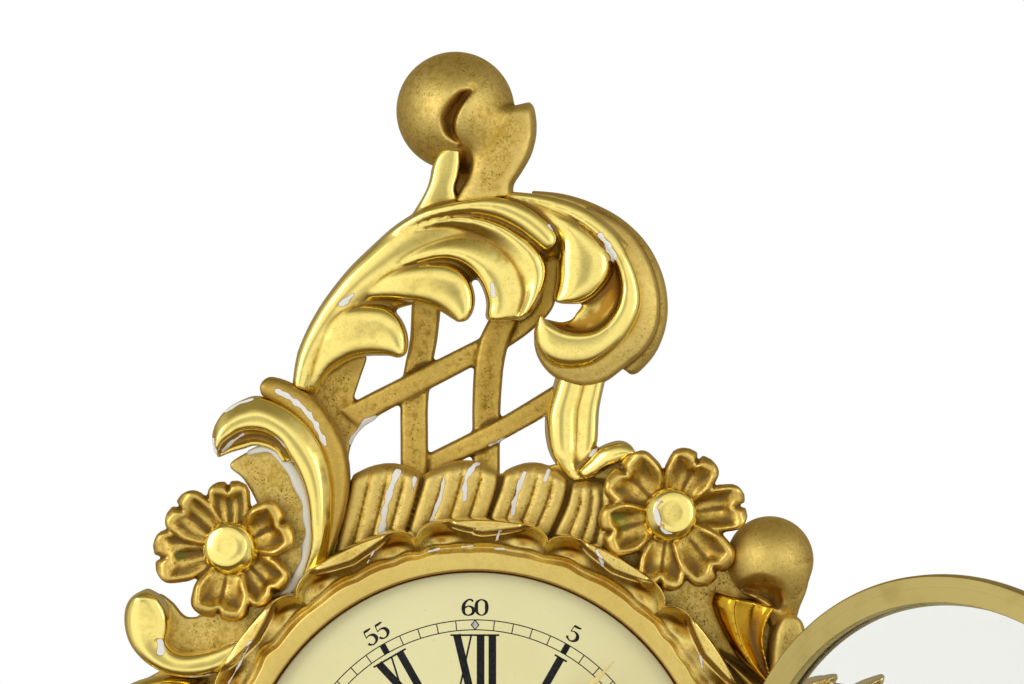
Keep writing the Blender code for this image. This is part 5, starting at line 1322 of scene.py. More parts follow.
@dataclass
class DialMoulding:
    """The ring round the dial: plain seat, ragged step and a frill of lobes whose edges fold over."""

    palette: Palette
    lobes: int = 13
    first_deg: float = 1.6
    notch: float = 5.8
    fold: float = 5.4
    fold_half: float = 0.66
    seat_width: float = 7.4
    steps: int = 56
    columns: int = 60

    def build(self) -> None:
        """Builds the ring as one turned grid, and the line of bole inside it, darkened with painted shade."""
        back, front = depths("dial_moulding")
        low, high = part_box("dial_moulding")
        outer = (high.x - low.x) / 2 / MM
        dial_low, dial_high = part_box("dial")
        dial_r = (dial_high.x - dial_low.x) / 2 / MM
        seat = front - 9.0
        sight = dial_r - 5.3
        count = self.lobes * self.steps
        turn = np.linspace(0, 2 * np.pi, count, endpoint=False)[:, None]
        across = np.linspace(0, 1, self.columns)[None, :]
        phase = (turn - math.radians(self.first_deg)) / (2 * np.pi / self.lobes)
        place = 2 * (phase - np.round(phase))
        rng = np.random.default_rng(7)
        ragged = resample(rng.normal(0, 1, count // 6 + 1), np.linspace(0, 1, count))[:, None]
        shift = resample(rng.uniform(-0.12, 0.12, self.lobes + 1), np.linspace(0, 1, count))[:, None]
        start = sight + self.seat_width + 0.4 * ragged
        reach = outer - self.notch * (1 - rounding(1 - np.abs(place), 0.38))
        radius = start + (reach - start) * across
        middle = np.clip(1 - np.abs(place - shift) / self.fold_half, 0, 1)
        hem = reach - self.fold * middle**0.5
        along_fold = np.clip((radius - hem) / np.maximum(reach - hem, 0.2), 0, 1)
        ends = smoothstep(middle, 0.0, 0.25)
        folded = smoothstep(radius - hem, 0.0, 0.5) * ends
        plateau = front - 0.3 - 0.9 * along_fold**1.5
        under = 1.2 * np.exp(-(((radius - hem + 0.6) / 0.7) ** 2)) * ends
        cove = (front - seat - 3.4) * smoothstep(across, 0.16, 1.08)
        thin = 0.9 * (1 - middle) * smoothstep(across, 0.84, 0.96)
        trough = -1.3 * np.exp(-(((across - 0.12) / 0.1) ** 2)) * (1 + 0.25 * ragged)
        depth = seat - 0.3 + trough + cove - 2.2 * self.dimple(place, across) - under + thin
        depth = depth * (1 - folded) + plateau * folded
        edge = rounding(1 - across, 0.07)
        depth = np.minimum(depth, front)
        depth = back + 6.0 + (depth - back - 6.0) * edge
        column = np.ones((count, 1))
        ring_r = [column * (sight + k) for k in (0.0, 0.3, 0.7, 1.2, 3.5)] + [start - 0.8, start - 0.3,
                                                                              start - 0.05]
        ring_d = [column * (seat - k) for k in (2.6, 0.7, 0.12, 0.0, 0.0, 0.0, 0.05, 0.3)]
        under_r = [reach - 1.5, column * (sight + 13.7), column * (sight + 13.7), column * (dial_r + 0.3),
                   column * (dial_r + 0.3)]
        under_d = [column * (seat - 3.0), column * (seat - 4.0), column * back, column * back,
                   column * (seat - 3.9)]
        radius = np.hstack(ring_r + [radius] + under_r)
        depth = np.hstack(ring_d + [depth] + under_d)
        points = np.dstack([radius * np.sin(turn), radius * np.cos(turn), depth]).reshape(-1, 3)
        size = radius.shape[1]
        faces = []
        for i in range(count):
            for j in range(size):
                a, b = i * size + j, i * size + (j + 1) % size
                following = ((i + 1) % count) * size
                faces.append((a, b, following + (j + 1) % size, following + j))
        losses = (
            SpreadMark(((496, 541), (500, 530)), 1.2, 0.8),
            SpreadMark(((368, 562), (374, 550)), 1.0, 0.8),
            SpreadMark(((596, 548), (603, 566)), 1.4, 0.9),
            SpreadMark(((700, 655), (702, 668)), 1.2, 0.8),
            SpreadMark(((428, 552), (440, 549)), 0.9, 0.75),
            SpreadMark(((462, 547), (472, 546)), 0.8, 0.75),
            SpreadMark(((494, 549), (504, 549)), 0.9, 0.75),
            SpreadMark(((252, 640), (240, 664), (228, 684)), 1.0, 0.75),
        )
        ring = Carving(
            "dial_moulding", self.palette.frill, [Solid(points, faces)], ("dial_moulding",), losses,
            voxel=0.0, smooth=1
        ).build()
        self.mark(ring, sight + self.seat_width, outer)
        # The line of bole inside the seat, darkened with painted shade.
        line = [(sight - 0.6, seat - 3.4), (sight - 0.05, seat - 0.8), (sight + 0.35, seat - 0.9),
                (sight - 0.2, seat - 4.2)]
        inset = show("sight_line", to_mesh("sight_line", [turned(line, 240)]))
        inset.data.shade_smooth()
        settle(inset, self.palette.bole, CASE, ())

    @staticmethod
    def dimple(place: np.ndarray, across: np.ndarray) -> np.ndarray:
        """The two shell-like hollows of a lobe, as shares of their depth."""
        return np.exp(-(((np.abs(place) - 0.62) / 0.24) ** 2)) * np.exp(-(((across - 0.58) / 0.26) ** 2))

    def mark(self, ring: bpy.types.Object, edge: float, outer: float) -> None:
        """Stores where the ring is matt, which is inside the frill, and where its dimples are darkened with painted
        shade.
        """
        points = np.empty(len(ring.data.vertices) * 3)
        ring.data.vertices.foreach_get("co", points)
        points = points.reshape(-1, 3) / MM
        radius = np.hypot(points[:, 0], points[:, 2])
        phase = (np.arctan2(points[:, 0],
                            points[:, 2]) - math.radians(self.first_deg)) / (2 * np.pi / self.lobes)
        place = 2 * (phase - np.round(phase))
        reach = outer - self.notch * (1 - rounding(1 - np.abs(place), 0.38))
        # Painted shade in each lobe's two dimples, where the green spots may also show.
        stain = 0.8 * self.dimple(place, (radius - edge) / (reach - edge))
        marks = (("matt", smoothstep(radius, edge + 3.2, edge + 1.6)), ("stain", np.clip(stain, 0, 1)))
        for name, values in marks:
            layer = ring.data.attributes.new(name, "FLOAT", "POINT")
            layer.data.foreach_set("value", values.astype(np.float32))


@dataclass
class Flower:
    """A flower of six separate cupped petals with a bright boss."""

    palette: Palette
    name: str
    boss_name: str
    centre_px: tuple[float, float]
    facet_px: tuple[float, float]
    petals: tuple[tuple[float, float, float, float], ...]
    thick: float = 2.8

    def build(self) -> None:
        """Builds the petals as one carving and the boss on it."""
        back, front = depths(self.name)
        boss_back, boss_front = depths(self.boss_name)
        centre = VIEW.carry((self.centre_px,), boss_back)[0]
        facet = VIEW.carry((self.facet_px,), boss_front)[0]
        low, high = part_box(self.boss_name)
        boss_r = (high.x - low.x) / 2 / MM * 1.14
        stub = turned(
            [(0.0, back), (boss_r * 0.9, back), (boss_r * 0.9, boss_back - 0.3), (0.0, boss_back - 0.3)],
            40, centre
        )
        solids = [stub]
        scale = (VIEW.distance - front) / VIEW.focal_px
        for k, (turn, reach, tilt, half) in enumerate(self.petals):
            solids.append(
                self.petal(centre, turn, reach * scale, half * 1.2 * scale, tilt,
                           back + 1.4 + 0.9 * (k % 2), front)
            )
        Carving(self.name, self.palette.petal, solids, (self.name,), voxel=0.5, smooth=3,
                slot="matt_gilt").build()
        self.build_boss(centre, facet, boss_r, boss_back, boss_front)

    def petal(
        self, centre: np.ndarray, turn: float, reach: float, half: float, tilt: float, foot: float,
        front: float
    ) -> Solid:
        """One petal: narrow at its root, cupped, folded down the middle and notched at its tip.

        Args:
            centre: Middle of the flower.
            turn: Direction in degrees from +x towards +z.
            reach: Length from the middle.
            half: Half of its greatest width.
            tilt: How strongly its rim turns up.
            foot: Depth of its root.
            front: Depth that its rim may reach.

        Returns:
            The petal.
        """
        along = np.linspace(0.12, 1.0, 40)[:, None]
        across = np.linspace(-1.0, 1.0, 37)[None, :]
        width = half * (0.52 + 0.48 * smoothstep(along, 0.15, 0.65))
        width = width * np.sqrt(1 - np.clip((along - 0.74) / 0.28, 0, 1) ** 3.2)
        notch = 0.1 * np.exp(-((across / 0.17) ** 2)) * smoothstep(along, 0.6, 1.0)
        out = reach * (along - notch)
        direction = np.array([math.cos(math.radians(turn)), math.sin(math.radians(turn))])
        normal = np.array([-direction[1], direction[0]])
        plane = centre + out[..., None] * direction + (width * across)[..., None] * normal
        flat = smoothstep(tilt, 2.4, 1.6)
        sides = np.exp(-(((0.84 - np.abs(across)) / 0.24) ** 2)) * smoothstep(along, 0.25, 0.6)
        lip = np.exp(-(((0.9 - along) / 0.13) ** 2))
        bowl = 0.5 * tilt * np.abs(across) ** 2 * smoothstep(along, 0.1,
                                                             0.6) + 0.5 * tilt * smoothstep(along, 0.5, 1.0)
        bead = (1.0 + 0.6 * tilt) * np.maximum(sides, lip)
        ribs = 0.9 * np.exp(-(((np.abs(across) - 0.3) / 0.14) ** 2)) * np.sin(np.pi * np.clip(along * 1.15,
                                                                                              0, 1)) * flat
        fold = -0.5 * np.exp(-((across / 0.1) ** 2)) * smoothstep(along, 0.25, 0.5)
        depth = np.minimum(foot + 2.4 + 1.0 * along + bowl + bead + ribs + fold, front)
        edge = rounding(1 - np.abs(across), 0.3) * rounding(1.0 - along, 0.18)
        depth = depth - 3.2 * (1 - edge)
        behind = np.maximum(depth - self.thick - 0.6 * (1 - edge), foot - 0.4)
        return grid_solid(np.dstack([plane, depth]), np.dstack([plane, np.minimum(behind, depth - 0.8)]))

    def build_boss(
        self, centre: np.ndarray, facet: np.ndarray, radius: float, back: float, front: float
    ) -> None:
        """The boss: a domed button cut off by one bright slanting facet.

        Args:
            centre: Middle of its foot.
            facet: Middle of its facet.
            radius: Radius of its foot.
            back: Depth of its foot.
            front: Depth of its facet.
        """
        tall = front - back
        profile = [(0.0, back), (radius * 0.9, back)]
        profile += [(radius * (0.96 + 0.04 * math.sin(math.pi * k / 3)),
                     back + tall * (0.1 + 0.18 * k)) for k in range(4)]
        profile += [(radius * 0.9, front - tall * 0.24), (radius * 0.76, front - tall * 0.05),
                    (radius * 0.7, front)]
        profile += [(radius * 0.3, front - 0.2), (0.0, front - 0.3)]
        boss = turned(profile, 72, tuple(centre))
        points = boss.points.copy()
        share = smoothstep(points[:, 2], back + tall * 0.2, front)[:, None]
        points[:, :2] += share * (facet - centre) * 0.9
        offset = (points[:, :2] - facet) @ ((facet - centre) / max(np.linalg.norm(facet - centre), 1e-6))
        points[:, 2] -= share[:, 0] * np.clip(offset + radius * 0.7, 0, None) * 0.12
        obj = show(self.boss_name, to_mesh(self.boss_name, [Solid(points, boss.faces)]))
        obj.data.shade_smooth()
        ring = tuple(
            (self.facet_px[0] + 20.5 * math.cos(t), self.facet_px[1] + 20.5 * math.sin(t))
            for t in np.linspace(1.7, 3.9, 9)
        )
        write_relief(obj, (SpreadMark(ring, 0.7, 0.9),))
        settle(obj, self.palette.burnished, CASE, (self.boss_name,))


@dataclass
class LeftShoulder:
    """C-scroll with its rim leaf, volute, and the matt grounds behind them."""

    palette: Palette
    scroll: tuple[Trace, Trace] = (
        ((306, 606), (320, 584), (327, 560), (331, 534), (333, 506), (332, 480), (326, 455), (315, 434),
         (300, 417), (280, 404), (257, 396), (241, 400), (226, 409), (216, 422), (212, 436), (214, 450),
         (218, 457)),
        ((278, 610), (296, 586), (306, 562), (311, 542), (310, 522), (308, 502), (303, 484), (297, 470),
         (290, 458), (283, 445), (270, 435), (256, 431), (242, 432), (232, 437), (225, 442), (220, 449),
         (218, 457)),
    )
    hook_wall: tuple[Trace, Trace] = (
        ((300, 462), (288, 441), (272, 429), (256, 425), (241, 427), (228, 433), (219, 444), (217, 456)),
        ((282, 462), (276, 453), (266, 448), (254, 446), (244, 449), (233, 452), (225, 455), (218, 458)),
    )
    rim_leaf: tuple[Trace, Trace] = (
        ((328, 562), (339, 534), (346, 510), (350, 482), (347, 452), (339, 432), (329, 415), (317, 400),
         (300, 388), (284, 380), (268, 377), (260, 385)),
        ((316, 580), (323, 550), (328, 520), (328, 494), (324, 468), (317, 446), (307, 431), (295, 419),
         (283, 409), (271, 402), (262, 396), (260, 387)),
    )
    volute: tuple[Trace, Trace] = (
        ((262, 650), (248, 660), (232, 668), (212, 675), (190, 678), (166, 674), (146, 663), (131, 647),
         (124, 629), (124, 610), (131, 597), (146, 589)),
        ((270, 612), (256, 625), (240, 637), (218, 647), (200, 652), (184, 653), (173, 649), (168, 640),
         (171, 626), (169, 611), (160, 597), (146, 589)),
    )
    scroll_edge: tuple[Trace, Trace] = (
        ((282, 606), (300, 583), (309, 560), (313, 540), (312, 520), (310, 500), (305, 484), (299, 470),
         (290, 458), (278, 449), (262, 445), (246, 451)),
        ((270, 604), (286, 585), (300, 561), (301, 546), (305, 534), (302, 519), (302, 505), (293, 488),
         (288, 475), (278, 462), (268, 453), (246, 456)),
    )
    ground: Trace = (
        (229, 466), (240, 456), (254, 450), (272, 449), (290, 462), (310, 470), (330, 470), (340, 500),
        (338, 545),
        (322, 580), (300, 612), (270, 640), (230, 662), (190, 662), (165, 650), (150, 625), (156, 595),
        (172, 603), (187, 618), (215, 612), (240, 606), (246, 580), (258, 545), (258, 510), (252, 494),
        (242, 478),
    )

    def build(self) -> None:
        """Builds the shoulder's carvings."""
        back, ground_front = depths("left_backing")
        solids = [slab(self.ground, back, ground_front)]
        Carving("left_backing", self.palette.matt, solids, ("left_backing",), voxel=0.8,
                slot="matt_gilt").build()
        foot, front = depths("left_c_scroll")
        scroll = Lobe(
            *self.scroll, foot, 8.2, 5.3, Section.LEAN, (0.2, 0.85, 1.0, 1.0, 1.0, 1.0, 1.05, 0.95), 0.06,
            0.02, columns=35
        )
        wall = Lobe(*self.hook_wall, foot, 3.0, 5.0, Section.COVE, (1.0, 1.0), 0.05, 0.02)
        losses = (
            SpreadMark(((222, 451), (232, 442), (243, 434)), 1.4, 0.95),
            SpreadMark(((217, 455), (214, 438)), 1.4, 0.85),
            SpreadMark(((226, 411), (240, 403), (254, 399)), 1.0, 0.85),
            SpreadMark(((276, 437), (286, 446)), 1.1, 0.85),
        )
        # Painted shade along the groove at the scroll's outer edge.
        band = (SpreadMark(((318, 580), (328, 540), (330, 506), (329, 480), (322, 454), (310, 432), (294, 415)),
                     3.0, 0.42),)
        Carving(
            "left_c_scroll", self.palette.burnished, [scroll.solid(), wall.solid()], ("left_c_scroll",),
            losses, band,
            voxel=0.55,
        ).build()
        rim = Lobe(*self.rim_leaf, foot - 2.0, 6.0, 5.0, Section.SWELL, (0.9, 1.0, 1.0, 1.0), 0.08, 0.05)
        worn = (SpreadMark(((277, 391), (290, 397), (304, 408), (316, 424), (325, 444)), 1.6, 0.95),)
        Carving("left_rim_leaf", self.palette.strap, [rim.solid()], (), worn, voxel=0.65,
                slot="matt_gilt").build()
        edge = Lobe(*self.scroll_edge, foot, 3.0, 1.2, Section.DOME, (1.0, 1.0), 0.2, 0.05)
        Carving("left_scroll_edge", self.palette.gesso, [edge.solid()], (), (), voxel=0.6,
                slot="matt_gilt").build()
        foot, front = depths("left_volute")
        volute = Lobe(
            *self.volute, foot, 6.5, 6.0, Section.BAND, (0.2, 0.85, 1.0, 1.0, 1.0, 1.05, 1.08), 0.08, 0.1,
            columns=35
        )
        chips = (SpreadMark(((162, 640), (164, 652)), 2.4, 0.95), SpreadMark(((190, 677), (218, 674)), 1.0, 0.8),
                 SpreadMark(((232, 642), (250, 630)), 1.0, 0.8))
        Carving("left_volute", self.palette.burnished, [volute.solid()], ("left_volute",), chips,
                voxel=0.65).build()


@dataclass
class RightShoulder:
    """Ball with its crescent, amber leaf, small leaf and the ground behind them."""

    palette: Palette
    ball_centre_px: tuple[float, float] = (770.0, 559.6)
    ball_r_px: float = 43.4
    hollow: Crescent = Crescent(
        ((737, 592), (740, 583), (748, 576), (757, 573), (766, 573), (776, 577), (784, 584), (788, 592),
         (788, 601),
         (784, 611)),
        ((737, 592), (744, 591), (751, 592), (758, 594), (764, 597), (770, 600), (775, 604), (778, 607),
         (781, 609),
         (784, 611)),
        8.0,
    )
    leaf: tuple[Trace, Trace] = (
        ((770, 686), (753, 673), (740, 661), (729, 646), (719, 628), (712, 612), (709, 600), (714, 590)),
        ((775, 686), (769, 670), (765, 654), (763, 640), (765, 627), (769, 617), (773, 611), (776, 606)),
    )
    small_leaf: tuple[Trace, Trace] = (
        ((767, 680), (768, 660), (769, 642), (772, 628), (779, 617), (790, 613)),
        ((800, 672), (806, 655), (808, 640), (806, 630), (802, 621), (790, 613)),
    )
    ball_foot: tuple[Trace, Trace] = (
        ((778, 650), (772, 632), (762, 610), (750, 590), (745, 565)),
        ((796, 642), (798, 622), (801, 608), (808.5, 588), (813, 562)),
    )
    ribs: tuple[tuple[Trace, Trace], ...] = (
        (((742, 700), (728, 682), (718, 664), (714, 650)), ((756, 700), (742, 682), (726, 664), (714, 650))),
        (((758, 700), (744, 684), (730, 668), (722, 656)), ((774, 700), (762, 684), (742, 668), (722, 656))),
    )
    ground: Trace = (
        (612, 560), (616, 500), (640, 476), (690, 470), (708, 492), (714, 520), (736, 552), (760, 540),
        (786, 552),
        (803, 570), (802, 595), (792, 640), (780, 690), (740, 690), (700, 650), (670, 610), (640, 585),
    )

    def build(self) -> None:
        """Builds the shoulder's carvings."""
        back, ground_front = depths("right_backing")
        rib = [Lobe(*edges, ground_front, 2.0, 5.0, Section.RIDGE, roll=0.16,
                    nose=0.2).solid() for edges in self.ribs]
        Carving(
            "right_backing", self.palette.matt, [slab(self.ground, back, ground_front)] + rib,
            ("right_backing",),
            voxel=0.8, slot="matt_gilt",
        ).build()
        self.build_ball()
        foot, front = depths("right_leaf")
        large = Lobe(*self.leaf, foot, 6.0, 7.0, Section.SAIL, (0.7, 0.9, 1.0, 1.1, 1.15), 0.06, 0.04,
                     columns=33)
        Carving("right_leaf", self.palette.amber, [large.solid()], ("right_leaf",), voxel=0.55).build()

    def build_ball(self) -> None:
        """The ball, hollowed by a crescent where the leaf meets it, its tapering foot and a small leaf."""
        back, front = depths("right_ball")
        ball = Ball(self.ball_centre_px, self.ball_r_px, back, front)
        foot = Lobe(*self.ball_foot, back, front - back - 12.0, 7.0, Section.DOME, (0.3, 0.55, 0.95, 0.95),
                    0.1, 0.0)
        small = Lobe(*self.small_leaf, back, front - back - 11.0, 6.0, Section.BROAD, (0.9, 1.0, 0.9), 0.16,
                     0.15)
        solids = [self.hollow.cut(form, front - 3.0) for form in (ball.solid(), ball.join(foot.solid()))]
        # Painted shade in the crescent hollow.
        shade = (SpreadMark(((748, 588), (762, 585), (776, 592), (783, 604)), 2.6, 0.7),)
        Carving(
            "right_ball", self.palette.matt, solids, ("right_ball",), (), shade, voxel=0.55, slot="matt_gilt"
        ).build()
        Carving("right_small_leaf", self.palette.matt, [small.solid()], (), voxel=0.55,
                slot="matt_gilt").build()


class Stroke(NamedTuple):
    """A pen stroke: rows of (across, up, half width) in shares of the figure's height."""

    rows: tuple[tuple[float, float, float], ...]


FIGURES: dict[str, tuple[Stroke, ...]] = {
    "0": (Stroke(((0.3, 0.97, 0.025), (0.53, 0.82, 0.06), (0.58, 0.5, 0.085), (0.53, 0.18, 0.06),
                  (0.3, 0.03, 0.025),
                  (0.07, 0.18, 0.06), (0.02, 0.5, 0.085), (0.07, 0.82, 0.06), (0.3, 0.97, 0.025))),),
    "1": (Stroke(((0.12, 0.8, 0.02), (0.21, 0.88, 0.03), (0.3, 0.97, 0.05))),
          Stroke(((0.3, 0.98, 0.075), (0.3, 0.5, 0.075), (0.3, 0.02, 0.075))),
          Stroke(((0.12, 0.02, 0.02), (0.3, 0.02, 0.02), (0.48, 0.02, 0.02)))),
    "2": (Stroke(((0.06, 0.74, 0.07), (0.1, 0.9, 0.05), (0.3, 0.97, 0.03), (0.5, 0.84, 0.07),
                  (0.48, 0.62, 0.08),
                  (0.28, 0.36, 0.05), (0.06, 0.06, 0.025))),
          Stroke(((0.06, 0.05, 0.03), (0.3, 0.09, 0.065), (0.56, 0.06, 0.03), (0.58, 0.2, 0.015)))),
    "3": (Stroke(((0.06, 0.8, 0.06), (0.14, 0.93, 0.04), (0.3, 0.97, 0.03), (0.48, 0.84, 0.07),
                  (0.46, 0.64, 0.06),
                  (0.26, 0.54, 0.025))),
          Stroke(((0.26, 0.54, 0.025), (0.5, 0.46, 0.06), (0.55, 0.26, 0.085), (0.42, 0.08, 0.05),
                  (0.24, 0.03, 0.03), (0.08, 0.12, 0.05), (0.05, 0.22, 0.06)))),
    "4": (Stroke(((0.42, 0.97, 0.03), (0.22, 0.62, 0.03), (0.02, 0.3, 0.03))),
          Stroke(((0.02, 0.3, 0.03), (0.3, 0.3, 0.03), (0.6, 0.3, 0.03))),
          Stroke(((0.42, 0.97, 0.07), (0.42, 0.5, 0.075), (0.42, 0.02, 0.075))),
          Stroke(((0.26, 0.02, 0.02), (0.42, 0.02, 0.02), (0.58, 0.02, 0.02)))),
    "5": (Stroke(((0.12, 0.93, 0.05), (0.3, 0.93, 0.055), (0.52, 0.96, 0.03))),
          Stroke(((0.12, 0.95, 0.025), (0.1, 0.75, 0.02), (0.08, 0.55, 0.02))),
          Stroke(((0.08, 0.55, 0.02), (0.28, 0.62, 0.03), (0.5, 0.52, 0.07), (0.57, 0.3, 0.085),
                  (0.46, 0.1, 0.05),
                  (0.26, 0.03, 0.03), (0.08, 0.12, 0.05), (0.05, 0.22, 0.06)))),
    "6": (Stroke(((0.54, 0.84, 0.05), (0.44, 0.95, 0.04), (0.26, 0.93, 0.04), (0.08, 0.72, 0.07),
                  (0.02, 0.42, 0.085),
                  (0.08, 0.14, 0.06), (0.28, 0.03, 0.03), (0.5, 0.12, 0.06), (0.57, 0.3, 0.08),
                  (0.5, 0.48, 0.06),
                  (0.3, 0.57, 0.03), (0.12, 0.48, 0.04), (0.05, 0.38, 0.03))),),
    "I": (Stroke(((0.1, 1.0, 0.06), (0.1, 0.5, 0.06), (0.1, 0.0, 0.06))),
          Stroke(((-0.01, 0.99, 0.014), (0.1, 0.99, 0.014), (0.21, 0.99, 0.014))),
          Stroke(((-0.01, 0.01, 0.014), (0.1, 0.01, 0.014), (0.21, 0.01, 0.014)))),
    "V": (Stroke(((0.06, 1.0, 0.06), (0.125, 0.5, 0.06), (0.19, 0.0, 0.04))),
          Stroke(((0.31, 1.0, 0.014), (0.255, 0.5, 0.014), (0.2, 0.0, 0.014))),
          Stroke(((-0.04, 0.99, 0.014), (0.16, 0.99, 0.014), (0.37, 0.99, 0.014)))),
    "X": (Stroke(((0.07, 1.0, 0.06), (0.19, 0.5, 0.06), (0.31, 0.0, 0.06))),
          Stroke(((0.3, 1.0, 0.014), (0.19, 0.5, 0.014), (0.08, 0.0, 0.014))),
          Stroke(((-0.03, 0.99, 0.014), (0.17, 0.99, 0.014), (0.37, 0.99, 0.014))),
          Stroke(((0.01, 0.01, 0.014), (0.2, 0.01, 0.014), (0.4, 0.01, 0.014)))),
}
ADVANCE = {"I": 0.185, "V": 0.335, "X": 0.345}
HOURS = ("XII", "I", "II", "III", "IIII", "V", "VI", "VII", "VIII", "IX", "X", "XI")


class MarkRing:
    """Geometry nodes that set equal bars round a circle."""

    def __init__(self) -> None:
        """Builds the node group with its named inputs."""
        self.tree = bpy.data.node_groups.new("mark_ring", "GeometryNodeTree")
        face = self.tree.interface
        for name, kind in (
            ("Count", "NodeSocketInt"), ("Radius", "NodeSocketFloat"), ("Depth", "NodeSocketFloat"),
            ("First", "NodeSocketFloat"), ("Step", "NodeSocketFloat"), ("Tilt", "NodeSocketFloat"),
            ("Size", "NodeSocketVector"),
            ("Finish", "NodeSocketMaterial"),
        ):
            face.new_socket(name, in_out="INPUT", socket_type=kind)
        face.new_socket("Marks", in_out="OUTPUT", socket_type="NodeSocketGeometry")
        graph = Graph(self.tree)
        given = self.tree.nodes.new("NodeGroupInput").outputs
        index = graph.add("GeometryNodeInputIndex").outputs[0]
        turn = graph.maths("ADD", graph.maths("MULTIPLY", index, given["Step"]), given["First"])
        x = graph.maths("MULTIPLY", graph.maths("SINE", turn), given["Radius"])
        z = graph.maths("MULTIPLY", graph.maths("COSINE", turn), given["Radius"])
        y = graph.maths("MULTIPLY", given["Depth"], -1.0)
        place = graph.add("ShaderNodeCombineXYZ", {"X": x, "Y": y, "Z": z}).outputs[0]
        points = graph.add("GeometryNodePoints", {"Count": given["Count"], "Position": place}).outputs[0]
        angles = graph.add("ShaderNodeCombineXYZ", {"X": given["Tilt"], "Y": turn}).outputs[0]
        aimed = graph.add("FunctionNodeEulerToRotation", {0: angles}).outputs[0]
        bar = graph.add("GeometryNodeMeshCube", {"Size": given["Size"]}).outputs[0]
        spread = graph.add(
            "GeometryNodeInstanceOnPoints", {"Points": points, "Instance": bar, "Rotation": aimed}
        ).outputs[0]
        real = graph.add("GeometryNodeRealizeInstances", {0: spread}).outputs[0]
        done = graph.add("GeometryNodeSetMaterial",
                         {"Geometry": real, "Material": given["Finish"]}).outputs[0]
        result = self.tree.nodes.new("NodeGroupOutput")
        self.tree.links.new(done, result.inputs[0])

    def make(self, name: str, finish: bpy.types.Material, **values: object) -> bpy.types.Object:
        """Sets the bars round the circle.

        Args:
            name: Name of the piece.
            finish: Its material.
            values: Count, Radius, Depth, First, Step, Tilt and Size in metres and radians.

        Returns:
            The piece as plain mesh.
        """
        obj = show(name, bpy.data.meshes.new(name))
        nodes = obj.modifiers.new("Marks", "NODES")
        nodes.node_group = self.tree
        for socket in self.tree.interface.items_tree:
            if socket.in_out == "INPUT":
                nodes[socket.identifier] = finish if socket.name == "Finish" else values[socket.name]
        return applied(obj)


